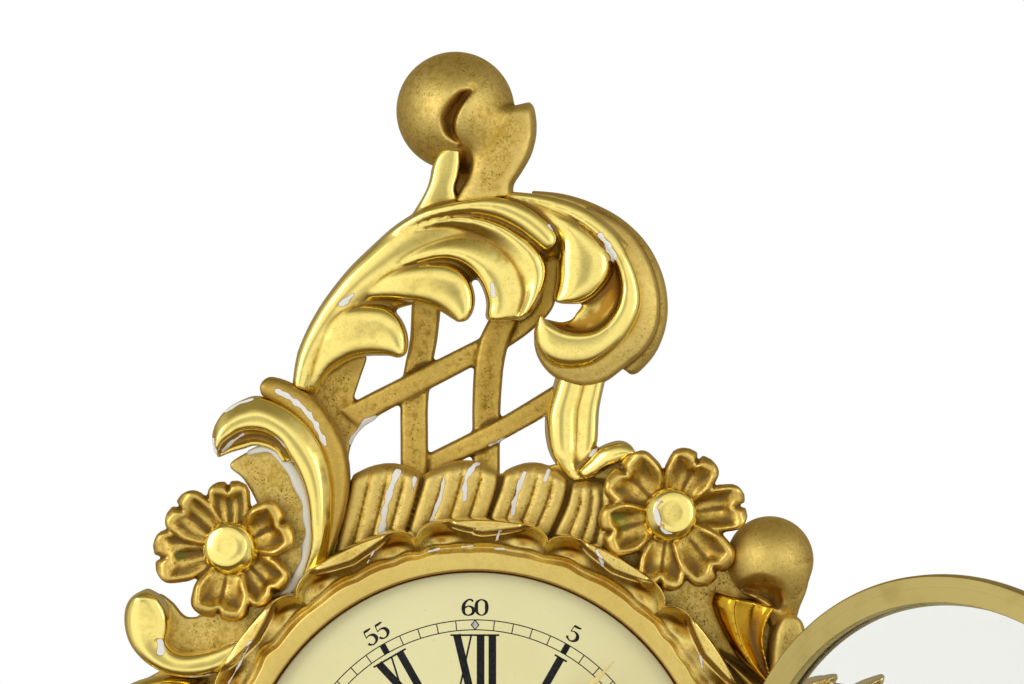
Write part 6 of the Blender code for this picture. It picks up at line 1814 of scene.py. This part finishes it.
@dataclass
class Dial:
    """The domed enamel dial with its printed minute track and figures."""

    palette: Palette
    marks: MarkRing
    thick: float = 1.2
    rise: float = 6.0
    hole_r: float = 5.0
    winding_drop: float = 34.0
    rail_out: float = 67.9
    rail_in: float = 64.3
    line: float = 0.36
    bar: float = 2.3
    wide: float = 1.12
    bold: float = 1.3
    figure_r: float = 69.4
    figure_tall: float = 6.1
    hour_r: float = 39.4
    hour_tall: float = 23.2
    proud: float = 0.05

    def __post_init__(self) -> None:
        """Reads the dial's radius and depth from the CAD."""
        low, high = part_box("dial")
        self.radius = (high.x - low.x) / 2 / MM
        self.front = -low.y / MM
        self.edge = self.front - self.rise * (1 - (self.hole_r / self.radius) ** 2)

    def depth(self, radius: np.ndarray | float) -> np.ndarray | float:
        """Depth of the enamel at a radius."""
        return self.edge + self.rise * (1 - (radius / self.radius) ** 2)

    def build(self) -> None:
        """Builds the plate and its print."""
        self.build_plate()
        self.build_track()
        figures = [solid for k in range(12) for solid in self.hour(k)]
        figures += [solid for k in range(12) for solid in self.minutes(k)]
        self.place("dial_figures", figures, self.palette.ink)
        self.place("dial_diamond", [self.diamond(2.0, 2.0)], self.palette.ink)
        self.place("dial_diamond_centre", [self.diamond(1.45, 3.4)], self.palette.silver_ink)

    def place(self, name: str, solids: list[Solid], finish: bpy.types.Material) -> None:
        """Puts print on the dial."""
        settle(show(name, to_mesh(name, solids)), finish, CASE, ())

    def build_plate(self) -> None:
        """The enamelled plate with its centre and winding holes."""
        radii = np.linspace(self.hole_r, self.radius, 40)
        face = [(r, float(self.depth(r))) for r in radii]
        behind = [(r, d - self.thick) for r, d in reversed(face)]
        obj = show("dial", to_mesh("dial", [turned(face + behind, 160)]))
        cutter = show("winding_cut", to_mesh("winding_cut", [turned(
            [(0.0, self.edge - 20), (self.hole_r, self.edge - 20), (self.hole_r, self.front + 9),
             (0.0, self.front + 9)],
            48, (0.0, -self.winding_drop),
        )]))
        cut = obj.modifiers.new("Winding hole", "BOOLEAN")
        cut.object = cutter
        cut.solver = "EXACT"
        applied(obj)
        bpy.data.objects.remove(cutter)
        obj.data.shade_smooth()
        obj.data.set_sharp_from_angle(angle=math.radians(35))
        settle(obj, self.palette.enamel, CASE, ("dial",))

    def build_track(self) -> None:
        """The two rails of the minute track with its divisions and five-minute bars."""
        rails = []
        for radius in (self.rail_in, self.rail_out):
            near, far = radius - self.line / 2, radius + self.line / 2
            loop = [(near, self.depth(near) - 0.1), (far, self.depth(far) - 0.1),
                    (far, self.depth(far) + self.proud), (near, self.depth(near) + self.proud)]
            rails.append(turned(loop, 240))
        self.place("dial_rails", rails, self.palette.ink)
        middle = (self.rail_in + self.rail_out) / 2
        tilt = -math.atan(2 * self.rise * middle / self.radius**2)
        length = (self.rail_out - self.rail_in) * MM
        rings = (("dial_divisions", 60, 60, 0, self.line), ("dial_bars", 11, 12, 1, self.bar))
        for name, count, parts, first, width in rings:
            ring = self.marks.make(
                name, self.palette.ink, Count=count, Radius=middle * MM, Depth=float(self.depth(middle)) * MM,
                First=first * math.tau / parts, Step=math.tau / parts, Tilt=tilt,
                Size=(width * MM, 2 * self.proud * MM, length),
            )
            settle(ring, self.palette.ink, CASE, ())

    def drape(self, flat: np.ndarray) -> Solid:
        """Lays a grid of (x, z) on the dome as a thin solid."""
        depth = self.depth(np.linalg.norm(flat, axis=-1))
        return grid_solid(
            np.dstack([flat, depth + self.proud]), np.dstack([flat, depth - 0.08])
        )

    def strokes(self, figure: str, tall: float, at: tuple[float, float], turn: float) -> list[Solid]:
        """Draws one figure.

        Args:
            figure: The figure's key.
            tall: Its height.
            at: Place of its lower left corner before it is turned round the dial.
            turn: Turn round the dial in degrees, clockwise.

        Returns:
            One thin solid for each stroke.
        """
        solids = []
        cos, sin = math.cos(math.radians(turn)), math.sin(math.radians(turn))
        for stroke in FIGURES[figure]:
            rows = resample(np.array(stroke.rows), np.linspace(0, 1, 8 * len(stroke.rows)))
            line, half = rows[:, :2] * tall, rows[:, 2:] * tall
            if figure.isdigit():
                line[:, 0] *= self.wide
                half = half * self.bold
            ahead = np.gradient(line, axis=0)
            ahead /= np.maximum(np.linalg.norm(ahead, axis=1, keepdims=True), 1e-9)
            aside = np.column_stack([-ahead[:, 1], ahead[:, 0]])
            share = np.linspace(-1, 1, 4)[None, :, None]
            flat = line[:, None] + aside[:, None] * half[:, None] * share + np.array(at)
            x = flat[..., 0] * cos + flat[..., 1] * sin
            z = -flat[..., 0] * sin + flat[..., 1] * cos
            solids.append(self.drape(np.dstack([x, z])))
        return solids

    def hour(self, index: int) -> list[Solid]:
        """The Roman figure of an hour, its foot towards the centre."""
        text = HOURS[index]
        wide = sum(ADVANCE[letter] for letter in text) * self.hour_tall
        x, solids = -wide / 2, []
        for letter in text:
            solids += self.strokes(letter, self.hour_tall, (x, self.hour_r), 30 * index)
            x += ADVANCE[letter] * self.hour_tall
        return solids

    def minutes(self, index: int) -> list[Solid]:
        """The Arabic figure at a five-minute bar, turned to read upright in the lower half."""
        text = str(5 * (index or 12))
        low = 4 <= index <= 8
        base = -self.figure_r - self.figure_tall if low else self.figure_r
        pitch = 0.78 * self.figure_tall
        x, solids = -pitch * len(text) / 2 + 0.05 * self.figure_tall, []
        for figure in text:
            solids += self.strokes(figure, self.figure_tall, (x, base), 30 * index + (180 if low else 0))
            x += pitch
        return solids

    def diamond(self, half: float, layers: float) -> Solid:
        """The small diamond in the track at sixty, so many print layers thick."""
        middle = (self.rail_in + self.rail_out) / 2
        turns = np.radians([90, 0, -90, -180])
        corners = np.column_stack([0.8 * half * np.cos(turns), middle + half * np.sin(turns)])
        flat = np.array([[corners[0], corners[1]], [corners[3], corners[2]]])
        depth = self.depth(np.linalg.norm(flat, axis=-1))
        return grid_solid(np.dstack([flat, depth + layers * self.proud]), np.dstack([flat, depth]))


def plate(loops: Sequence[np.ndarray], back: float, front: float, bevel: float,
          name: str) -> bpy.types.Object:
    """A flat piece with holes and softened edges.

    Args:
        loops: Its outline and holes as rows of (x, z).
        back: Depth of its back.
        front: Depth of its face.
        bevel: Width of its softened edges.
        name: Name of the piece.

    Returns:
        The piece.
    """
    work = bmesh.new()
    edges = []
    for loop in loops:
        verts = [work.verts.new((x * MM, -back * MM, z * MM)) for x, z in loop]
        edges += [work.edges.new((verts[k - 1], verts[k])) for k in range(len(verts))]
    bmesh.ops.triangle_fill(work, edges=edges, use_beauty=True, use_dissolve=False)
    grown = bmesh.ops.extrude_face_region(work, geom=work.faces[:])
    moved = [item for item in grown["geom"] if isinstance(item, bmesh.types.BMVert)]
    bmesh.ops.translate(work, verts=moved, vec=(0, (back - front) * MM, 0))
    bmesh.ops.recalc_face_normals(work, faces=work.faces[:])
    mesh = bpy.data.meshes.new(name)
    work.to_mesh(mesh)
    work.free()
    obj = show(name, mesh)
    soften(obj, bevel)
    return obj


def soften(obj: bpy.types.Object, width: float, segments: int = 2) -> bpy.types.Object:
    """Bevels a hard piece's sharp edges and shades it smooth."""
    bevel = obj.modifiers.new("Soft edges", "BEVEL")
    bevel.width = width * MM
    bevel.segments = segments
    bevel.limit_method = "ANGLE"
    bevel.angle_limit = math.radians(40)
    bevel.use_clamp_overlap = True
    applied(obj)
    obj.data.shade_smooth()
    obj.data.set_sharp_from_angle(angle=math.radians(30))
    return obj


@dataclass
class Hands:
    """Pierced gilt hour and minute hands and the nut that holds them."""

    palette: Palette
    hour_length: float = 49.0
    minute_length: float = 73.6
    minutes_past_ten: float = 7.225
    side: tuple[tuple[float, float], ...] = (
        (0.055, 0.34), (0.12, 0.27), (0.17, 0.42), (0.24, 0.85), (0.3, 1.0), (0.36, 0.85), (0.42, 0.45),
        (0.47, 0.22),
        (0.52, 0.42), (0.57, 0.68), (0.62, 0.72), (0.66, 0.5), (0.7, 0.24), (0.78, 0.16), (0.86, 0.22),
        (0.91, 0.15),
        (1.0, 0.03),
    )

    def build(self) -> None:
        """Builds both hands and the nut."""
        hour_turn = 30 * (10 + self.minutes_past_ten / 60)
        self.hand("hour_hand", "hour_group", self.hour_length, 6.0, 6.2, 3.5, hour_turn)
        self.hand("minute_hand", "minute_group", self.minute_length, 4.6, 4.6, 2.3, 6 * self.minutes_past_ten)
        back, front = depths("hand_nut")
        profile = [(1.3, back), (3.2, back), (3.2, back + 1.0)]
        profile += [(3.2 - 1.0 * t,
                     back + 1.0 + (front - back - 1.0) * math.sin(t * math.pi / 2)) for t in (0.3, 0.6, 1.0)]
        nut = show("hand_nut", to_mesh("hand_nut", [turned(profile + [(1.3, front)], 40)]))
        settle(soften(nut, 0.15), self.palette.brass, "minute_group", ("hand_nut",))

    def hand(
        self, name: str, body: str, length: float, swell: float, collet_r: float, bore_r: float, turn: float
    ) -> None:
        """Builds one hand.

        Args:
            name: Name of the CAD node that it stands for.
            body: Body that it rides on.
            length: Length from the axis.
            swell: Half width of its widest leaf.
            collet_r: Radius of its collet.
            bore_r: Radius of its bore.
            turn: Direction in degrees, clockwise from twelve.
        """
        back, front = depths(name)
        side = resample(np.array(self.side) * np.array([length, swell]), np.linspace(0, 1, 110))
        start = side[:, 0] > collet_r * 0.8
        side = side[start]
        blade = np.vstack([side, (side * np.array([1, -1]))[::-1]])
        loops = [blade]
        for low, high, wide in ((0.2, 0.395, 0.62), (0.52, 0.655, 0.40)):
            share = np.linspace(0, 1, 14)
            along = length * (low + (high - low) * share)
            half = swell * wide * np.sin(np.pi * share) ** 0.8
            inner = np.full_like(half, 0.32)
            keep = half > 0.75
            for sign in (1, -1):
                rim = np.column_stack([along[keep], sign * half[keep]])
                rib = np.column_stack([along[keep], sign * inner[keep]])[::-1]
                loops.append(np.vstack([rim, rib]))
        ahead = np.array([math.sin(math.radians(turn)), math.cos(math.radians(turn))])
        aside = np.array([-ahead[1], ahead[0]])
        placed = [loop[:, :1] * ahead + loop[:, 1:] * aside for loop in loops]
        obj = plate(placed, back + 0.4, front - 0.4, 0.2, name)
        collet = [(bore_r, back), (collet_r, back), (collet_r, front - 0.5), (collet_r - 0.4, front - 0.1),
                  (collet_r * 0.75, front - 0.25), (bore_r + 0.4, front), (bore_r, front)]
        hub = show(name + "_collet", to_mesh(name + "_collet", [turned(collet, 48)]))
        hub.data.shade_smooth()
        hub.data.set_sharp_from_angle(angle=math.radians(35))
        settle(obj, self.palette.hand, body, (name,))
        settle(hub, self.palette.hand, body, ())


@dataclass
class Door:
    """The glazed brass door, standing open on its side hinge."""

    palette: Palette
    radius: float = 90.8
    sight_r: float = 80.0
    wall: float = 4.2
    lip: float = 2.2
    glass_thick: float = 1.5
    glass_rise: float = 12.0
    fit: float = 0.3
    hairline: float = 0.02
    hinge_gap: float = 3.4
    open_deg: float = 139.7
    back: float = 65.065
    front: float = 73.765
    hinge_depth: float = 72.765

    def swing(self) -> Matrix:
        """The turn that takes the closed door to where it stands."""
        pivot = Matrix.Translation(Vector(((self.radius + self.hinge_gap) * MM, -self.hinge_depth * MM, 0)))
        return pivot @ Matrix.Rotation(math.radians(self.open_deg), 4, "Z") @ pivot.inverted()

    def add(self, name: str, solids: list[Solid], finish: bpy.types.Material, slot: str,
            angle: float = 30.0) -> None:
        """Adds a turned piece of the door, built closed and swung open."""
        obj = show(name, to_mesh(name, solids))
        points = np.empty(len(obj.data.vertices) * 3)
        obj.data.vertices.foreach_get("co", points)
        points = points.reshape(-1, 3)
        layer = obj.data.attributes.new("turning", "FLOAT", "POINT")
        layer.data.foreach_set("value", np.hypot(points[:, 0], points[:, 2]).astype(np.float32))
        obj.data.transform(self.swing())
        obj.data.shade_smooth()
        obj.data.set_sharp_from_angle(angle=math.radians(angle))
        settle(obj, finish, "door", (name,))

    def build(self) -> None:
        """Builds the bezel, glass, glass ring and knob."""
        rebate = self.radius - self.wall
        lip_back = self.front - self.lip
        crown = arc((rebate - 2.4, self.front - 5.2), 5.2, 90, 24, 16)
        profile = [(self.sight_r, lip_back), (self.sight_r + 0.2, lip_back + 1.3),
                   (self.sight_r + 0.9, self.front - 0.4)]
        profile += [(self.sight_r + 1.6, self.front)] + crown
        profile += [(self.radius - 0.35, self.front - 4.4), (self.radius, self.front - 5.0),
                    (self.radius, self.back + 1.2)]
        profile += [(self.radius - 0.3, self.back + 0.9), (self.radius - 0.3, self.back + 0.4)]
        profile += [(self.radius - 0.7, self.back), (rebate, self.back), (rebate, lip_back)]
        self.add("bezel_ring", [turned(profile, 220)], self.palette.bezel, "brass")
        flange = rebate - self.fit
        seat = lip_back - self.fit
        dome = self.sight_r - 0.6
        shares = np.linspace(1, 0, 30)
        face = [(flange, seat)] + [(dome * k, seat + self.glass_rise * (1 - k * k)) for k in shares]
        shares = np.linspace(0, 1, 30)
        behind = [
            ((dome - 0.8) * k, seat + self.glass_rise * (1 - k * k) - self.glass_thick) for k in shares
        ]
        self.add(
            "bezel_glass", [turned(face + behind + [(flange, seat - self.glass_thick)], 180)],
            self.palette.glass, "glass"
        )
        near = self.sight_r + 1.0
        low, high = self.back, seat - self.glass_thick - self.fit
        snug = rebate - self.hairline
        ring = [(near + 0.5, low), (snug, low), (snug, high), (near, high), (near, low + 0.9)]
        self.add("glass_retainer", [turned(ring, 200)], self.palette.bezel, "brass")
        foot = self.front - 0.4 + self.fit
        knob = [(0.0, foot), (2.0, foot), (1.9, foot + 0.5), (1.2, foot + 1.4), (1.1, foot + 2.4),
                (1.6, foot + 3.4),
                (2.3, foot + 4.2), (2.4, foot + 5.0), (2.2, foot + 5.9), (1.6, foot + 6.6),
                (0.8, foot + 6.95),
                (0.0, foot + 7.0)]
        self.add("bezel_knob", [turned(knob, 40, (-self.radius + 5.2, 0.0))], self.palette.brass, "brass",
                 50.0)


@dataclass
class Board:
    """The pine board that carries the carvings, with the hole for the movement."""

    palette: Palette
    hole_r: float = 72.0
    soft: float = 0.8
    skin: float = 0.25
    screw_r: float = 2.6
    screw_tall: float = 1.3
    screw_slot: float = 0.7
    screw_inset: float = 5.5
    left: Trace = (
        (-50, 112), (-49, 124), (-53, 137), (-60, 144), (-66, 140), (-64, 130), (-67, 119), (-75, 110),
        (-79, 100),
        (-90, 94), (-94, 89), (-94, 80), (-99, 71), (-108, 64), (-117, 59), (-112, 50), (-125, 43),
        (-134, 28),
        (-137, 5), (-130, -24), (-114, -54), (-97, -80), (-82, -103), (-70, -120), (-80, -135), (-86, -156),
        (-79, -175), (-64, -186), (-54, -192), (-54, -212), (-50, -230), (-38, -241), (-24, -243),
        (-13, -262),
        (0, -279),
    )
    right: Trace = (
        (13, -262), (24, -243), (38, -241), (50, -230), (54, -212), (54, -192), (64, -186), (79, -175),
        (86, -156),
        (80, -135), (70, -120), (82, -103), (97, -80), (114, -54), (130, -24), (137, 5), (142, 30), (145, 41),
        (133, 43), (120, 41), (110, 48), (113, 60), (117, 72), (121, 82), (120, 93), (113, 100), (104, 101),
        (96, 91), (87, 104), (81, 116), (73, 120), (65, 120), (57, 115), (50, 112),
    )

    def build(self) -> None:
        """Builds the board with its softened edges and the pocket behind the hanger."""
        back, front = depths("frame_board")
        outline = np.array(self.left + self.right, float)
        turns = np.linspace(0, 2 * np.pi, 120, endpoint=False)
        hole = np.column_stack([self.hole_r * np.cos(turns), self.hole_r * np.sin(turns)])
        low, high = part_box("hanger_plate")
        middle = (low.z + high.z) / 2 / MM + 0.5
        pocket = np.array([(-7, middle - 7), (7, middle - 7), (7, middle + 7), (-7, middle + 7)], float)
        board = plate([outline, hole], back, front, self.soft, "frame_board")
        cutter = plate([pocket], back - 1, back + 6, 0.3, "pocket_cut")
        cut = board.modifiers.new("Pocket", "BOOLEAN")
        cut.object = cutter
        cut.solver = "EXACT"
        applied(board)
        bpy.data.objects.remove(cutter)
        board.data.shade_smooth()
        board.data.set_sharp_from_angle(angle=math.radians(30))
        settle(board, self.palette.pine, CASE, ("frame_board",))
        skin = plate([outline, hole], front + 0.02, front + self.skin, 0.08, "gilded_ground")
        skin.data.shade_smooth()
        skin.data.set_sharp_from_angle(angle=math.radians(30))
        write_relief(skin, ())
        settle(skin, self.palette.strap, CASE, ())
        self.build_screws(low, middle)

    def build_screws(self, low: Vector, middle: float) -> None:
        """The two slotted screws that hold the hanger plate.

        Args:
            low: Low corner of the plate, in metres.
            middle: Height of the screws.
        """
        face = depths("hanger_plate")[0]
        reach = abs(low.x) / MM - self.screw_inset
        for k, side in enumerate((-1, 1)):
            radius = self.screw_r
            dome = [(radius * math.sin(t), face - self.screw_tall * math.cos(t)) for t in np.linspace(0,
                                                                                                      math.pi / 2, 9)]
            head = show(f"hanger_screw_{k}",
                        to_mesh("screw", [turned(dome + [(0.0, face)], 40, (side * reach, middle))]))
            half, wide = radius * 1.2, self.screw_slot / 2
            slot = np.array([(-half, -wide), (half, -wide), (half, wide), (-half, wide)]) + (side * reach,
                                                                                             middle)
            cutter = plate([slot], face - 2, face - self.screw_tall * 0.45, 0.0, "slot_cut")
            cut = head.modifiers.new("Slot", "BOOLEAN")
            cut.object = cutter
            cut.solver = "EXACT"
            applied(head)
            bpy.data.objects.remove(cutter)
            head.data.shade_smooth()
            head.data.set_sharp_from_angle(angle=math.radians(35))
            settle(head, self.palette.steel, CASE, ())


@dataclass
class LowerCase:
    """The carvings beside and below the dial, which the photograph leaves out."""

    palette: Palette
    flank: tuple[Trace, Trace] = (
        ((-98, 46), (-112, 40), (-124, 24), (-128, 2), (-121, -24), (-107, -50), (-92, -78), (-80, -104),
         (-70, -124)),
        ((-98, 38), (-104, 30), (-107, 18), (-108, 0), (-103, -20), (-94, -40), (-84, -60), (-74, -84),
         (-66, -120)),
    )
    flank_lobes: tuple[tuple[Trace, Trace], ...] = (
        (((-104, 24), (-120, 23), (-134, 13), (-143, -2), (-146, -16)),
         ((-104, -2), (-118, -3), (-128, -7), (-137, -13), (-146, -16))),
        (((-104, -4), (-119, -9), (-131, -20), (-137, -36), (-136, -50)),
         ((-98, -28), (-112, -32), (-121, -38), (-129, -45), (-136, -50))),
        (((-96, -34), (-110, -41), (-118, -52), (-121, -68), (-118, -82)),
         ((-86, -56), (-98, -61), (-106, -68), (-112, -76), (-118, -82))),
        (((-84, -66), (-96, -73), (-102, -84), (-103, -97), (-98, -108)),
         ((-74, -84), (-83, -90), (-88, -96), (-93, -103), (-98, -108))),
    )
    left_tips: tuple[tuple[Trace, Trace], ...] = (
        (((-98, 46), (-116, 47), (-132, 41), (-143, 29), (-147, 16)),
         ((-100, 22), (-116, 23), (-127, 22), (-137, 19), (-147, 16))),
    )
    right_tips: tuple[tuple[Trace, Trace], ...] = (
        (((102, 26), (110, 37), (121, 45), (134, 48)), ((116, 22), (124, 31), (130, 40), (134, 48))),
        (((112, 20), (127, 35), (140, 44), (151, 48)), ((118, 6), (136, 20), (146, 35), (151, 48))),
    )
    scroll: tuple[Trace, Trace] = (
        ((-69, -127), (-84, -136), (-90, -156), (-82, -178), (-64, -190), (-48, -184), (-46, -170),
         (-54, -164)),
        ((-58, -132), (-68, -141), (-73, -155), (-69, -168), (-62, -174), (-57, -174), (-55, -170),
         (-54, -164)),
    )
    foot_scroll: tuple[Trace, Trace] = (
        ((-62, -182), (-58, -208), (-54, -232), (-38, -246), (-22, -242), (-18, -230), (-25, -223)),
        ((-46, -180), (-44, -204), (-43, -222), (-36, -230), (-29, -231), (-26, -228), (-25, -223)),
    )

    shell: Trace = (
        (-46, -84), (-53, -98), (-56, -112), (-54, -132), (-46, -150), (-36, -164), (-24, -174), (-12, -180),
        (0, -182),
    )
    leaf: Trace = ((-9, -192), (-11, -204), (-12, -216), (-13, -230), (-12, -242), (-8, -258), (0, -284))
    leaf_tip: tuple[Trace, Trace] = (
        ((-5, -236), (-12, -250), (-18, -262), (-25, -276)),
        ((4, -240), (-5, -256), (-13, -268), (-25, -276)),
    )

    @staticmethod
    def mirrored(edges: tuple[Trace, Trace]) -> tuple[Trace, Trace]:
        """The same edges on the other side of the hands' axis."""
        return tuple(tuple((-x, z) for x, z in edge) for edge in edges)

    def build(self) -> None:
        """Builds the flanks and the apron's scrolls."""
        for name, tips, turn in (
            ("left_flank", self.left_tips, tuple), ("right_flank", self.right_tips, self.mirrored)
        ):
            back, _ = depths(name)
            lobes = [Lobe(*turn(self.flank), back, 4.5, 7.0, Section.LEAF, space=Space.CLOCK, nose=0.06,
                          columns=41)]
            for k, edges in enumerate(list(tips) + [turn(edges) for edges in self.flank_lobes]):
                lobes.append(
                    Lobe(*edges, back, 4.0 + 0.1 * k, 7.0, Section.COVE, (0.5, 0.85, 1.0, 1.0), nose=0.12,
                         dome_tip=0.4,
                         space=Space.CLOCK)
                )
            Carving(name, self.palette.burnished, [lobe.solid() for lobe in lobes], (name,),
                    space=Space.CLOCK).build()
        for name, turn in (("apron_scroll_left", tuple), ("apron_scroll_right", self.mirrored)):
            back, _ = depths(name)
            lobes = (
                Lobe(*turn(self.scroll), back, 5.0, 7.0, Section.ROLL, nose=0.05, dome_tip=0.6,
                     space=Space.CLOCK),
                Lobe(*turn(self.foot_scroll), back + 0.5, 4.5, 6.0, Section.ROLL, nose=0.05, dome_tip=0.6,
                     space=Space.CLOCK),
            )
            Carving(name, self.palette.burnished, [lobe.solid() for lobe in lobes], (name,),
                    space=Space.CLOCK).build()
        self.build_apron()

    def build_apron(self) -> None:
        """The fluted shell under the dial and the leaf that hangs below it."""
        back, front = depths("apron_shell")
        edges = self.mirrored((self.shell,))
        shell = Lobe(
            self.shell, edges[0], back, front - back - 2.6, 2.6, Section.FAN, (0.9, 1.0, 1.0, 0.8), 0.06,
            0.16,
            space=Space.CLOCK, columns=91,
        )
        Carving("apron_shell", self.palette.matt, [shell.solid()], ("apron_shell",), space=Space.CLOCK,
                slot="matt_gilt").build()
        back, front = depths("apron_leaf")
        edges = self.mirrored((self.leaf,))
        solids = [
            Lobe(self.leaf, edges[0], back, 4.5, front - back - 5.0, Section.LEAF, (0.8, 1.0, 1.0, 0.8),
                 0.1, 0.1,
                 space=Space.CLOCK, columns=41).solid()
        ]
        for turn in (tuple, self.mirrored):
            tip = Lobe(*turn(self.leaf_tip), back, 4.0, 5.0, Section.COVE, (0.7, 1.0, 0.9), nose=0.15,
                       space=Space.CLOCK)
            solids.append(tip.solid())
        Carving("apron_leaf", self.palette.burnished, solids, ("apron_leaf",), space=Space.CLOCK).build()


@dataclass
class Workings:
    """Materials for what keeps its CAD shape: case back, movement and pendulum."""

    palette: Palette
    nodes: dict = field(default_factory=dict)

    def build(self) -> None:
        """Finishes every CAD node that is still shown."""
        steel = ("hanger_plate", "hinge_pin", "anchor", "click", "escape_wheel", "barrel_arbor",
                 "pendulum_rod")
        pine = ("movement_drum", "dial_retainer", "frame_board")
        for name, obj in self.nodes.items():
            finish = self.palette.brass
            if name in steel:
                finish = self.palette.steel
            elif name in pine:
                finish = self.palette.pine
            obj.data.materials.clear()
            obj.data.materials.append(finish)


class Studio:
    """Camera, lights, floor and the white surround."""

    def build(self) -> None:
        """Sets the stage."""
        scene = bpy.context.scene
        scene.view_settings.view_transform = "Standard"
        camera = bpy.data.cameras.new("camera")
        camera.sensor_width = VIEW.sensor_mm
        camera.lens = VIEW.focal_px / VIEW.width_px * VIEW.sensor_mm
        camera.clip_start = 0.01
        eye = bpy.data.objects.new("camera", camera)
        eye.location = (VIEW.x * MM, -VIEW.distance * MM, VIEW.z * MM)
        eye.rotation_euler = (math.radians(90), 0, 0)
        scene.collection.objects.link(eye)
        scene.camera = eye
        self.light("key_left", (-1.0, -1.1, 0.55), (0.6, 0.8), 4.0)
        self.light("key_right", (1.1, -1.0, 0.35), (0.5, 0.8), 2.2)
        self.surround()
        self.floor()

    def light(self, name: str, place: tuple, size: tuple, power: float) -> None:
        """One soft box that faces the clock."""
        lamp = bpy.data.lights.new(name, "AREA")
        lamp.shape = "RECTANGLE"
        lamp.size, lamp.size_y = size
        lamp.energy = power
        obj = bpy.data.objects.new(name, lamp)
        obj.location = place
        aim = Vector((0.0, 0.0, 0.1)) - Vector(place)
        obj.rotation_euler = aim.to_track_quat("-Z", "Y").to_euler()
        bpy.context.scene.collection.objects.link(obj)

    def surround(self) -> None:
        """White to the camera and behind the clock, dimmer overhead."""
        world = bpy.data.worlds.new("surround")
        world.use_nodes = True
        bpy.context.scene.world = world
        graph = Graph(world.node_tree)
        paths = graph.add("ShaderNodeLightPath").outputs
        where = graph.add("ShaderNodeTexCoord").outputs["Generated"]
        split = graph.add("ShaderNodeSeparateXYZ", {"Vector": where}).outputs
        height = graph.maths("ABSOLUTE", graph.maths("SUBTRACT", split["Z"], 0.04))
        level = graph.step(height, 0.84, 0.3)
        side = graph.maths("ABSOLUTE", split["X"])
        away = graph.maths("MAXIMUM", graph.step(side, 0.05, 0.27), graph.step(height, 0.07, 0.29))
        panels = graph.mix(away, (0.56, 0.55, 0.52), (1.16, 1.15, 1.12))
        panels = graph.mix(graph.maths("MULTIPLY", graph.step(side, 0.72, 0.95), 0.7), panels,
                           (0.5, 0.47, 0.4))
        dimmer = graph.maths("MULTIPLY", graph.step(split["X"], -0.3, 0.6), 0.25)
        panels = graph.mix(dimmer, panels, (0.7, 0.7, 0.7))
        ceiling = graph.mix(graph.step(split["Z"], -0.2, 0.2), (0.17, 0.11, 0.04), (0.28, 0.24, 0.15))
        soft = graph.mix(level, ceiling, panels)
        behind = graph.maths("MULTIPLY", graph.step(split["Y"], -0.2, 0.5), 0.85)
        soft = graph.mix(behind, soft, (0.2, 0.14, 0.05))
        dim = graph.mix(paths["Is Glossy Ray"], (0.85, 0.85, 0.84), soft)
        seen = graph.maths("MAXIMUM", paths["Is Camera Ray"], paths["Is Transmission Ray"])
        colour = graph.mix(seen, dim, (1.0, 1.0, 1.0))
        background = world.node_tree.nodes["Background"]
        world.node_tree.links.new(colour, background.inputs["Color"])
        background.inputs["Strength"].default_value = 1.0

    def floor(self) -> None:
        """A plain pale floor just below the clock."""
        low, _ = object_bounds()
        work = bmesh.new()
        bmesh.ops.create_circle(work, cap_ends=True, segments=96, radius=2.2)
        mesh = bpy.data.meshes.new("floor")
        work.to_mesh(mesh)
        work.free()
        floor = show("floor", mesh)
        floor.location = (0, 0, low[2] - 0.02)
        floor.visible_glossy = False
        material = bpy.data.materials.new("pale_floor")
        material.use_nodes = True
        shader = material.node_tree.nodes["Principled BSDF"]
        shader.inputs["Base Color"].default_value = (0.86, 0.86, 0.85, 1.0)
        shader.inputs["Roughness"].default_value = 0.8
        mesh.materials.append(material)
        floor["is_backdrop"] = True


def main() -> None:
    """Builds the clock piece by piece."""
    logging.basicConfig(level=logging.INFO, format="%(message)s")
    for obj in list(bpy.data.objects):
        bpy.data.objects.remove(obj)
    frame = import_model()
    palette = Palette()
    marks = MarkRing()
    Studio().build()
    Crest(palette).build()
    ShellBand(palette).build()
    DialMoulding(palette).build()
    LeftShoulder(palette).build()
    RightShoulder(palette).build()
    Flower(
        palette, "left_flower", "left_boss", (232.0, 549.0), (225.5, 546.5),
        ((94, 68, 1.4, 18), (142, 74, 1.4, 21), (187, 79, 1.4, 23), (258, 72, 3.0, 25), (315, 66, 3.2, 22),
         (28, 64, 3.4, 24)),
    ).build()
    Flower(
        palette, "right_flower", "right_boss", (669.0, 516.0), (674.0, 512.0),
        ((135, 72, 2.6, 26), (63, 70, 2.4, 22), (8, 78, 2.6, 20), (-49, 79, 3.0, 24), (-98, 75, 2.8, 21),
         (195, 70, 3.0, 23)),
    ).build()
    Board(palette).build()
    LowerCase(palette).build()
    Dial(palette, marks).build()
    Hands(palette).build()
    Door(palette).build()
    Workings(palette, frame["nodes"]).build()


if __name__ == "__main__":
    main()
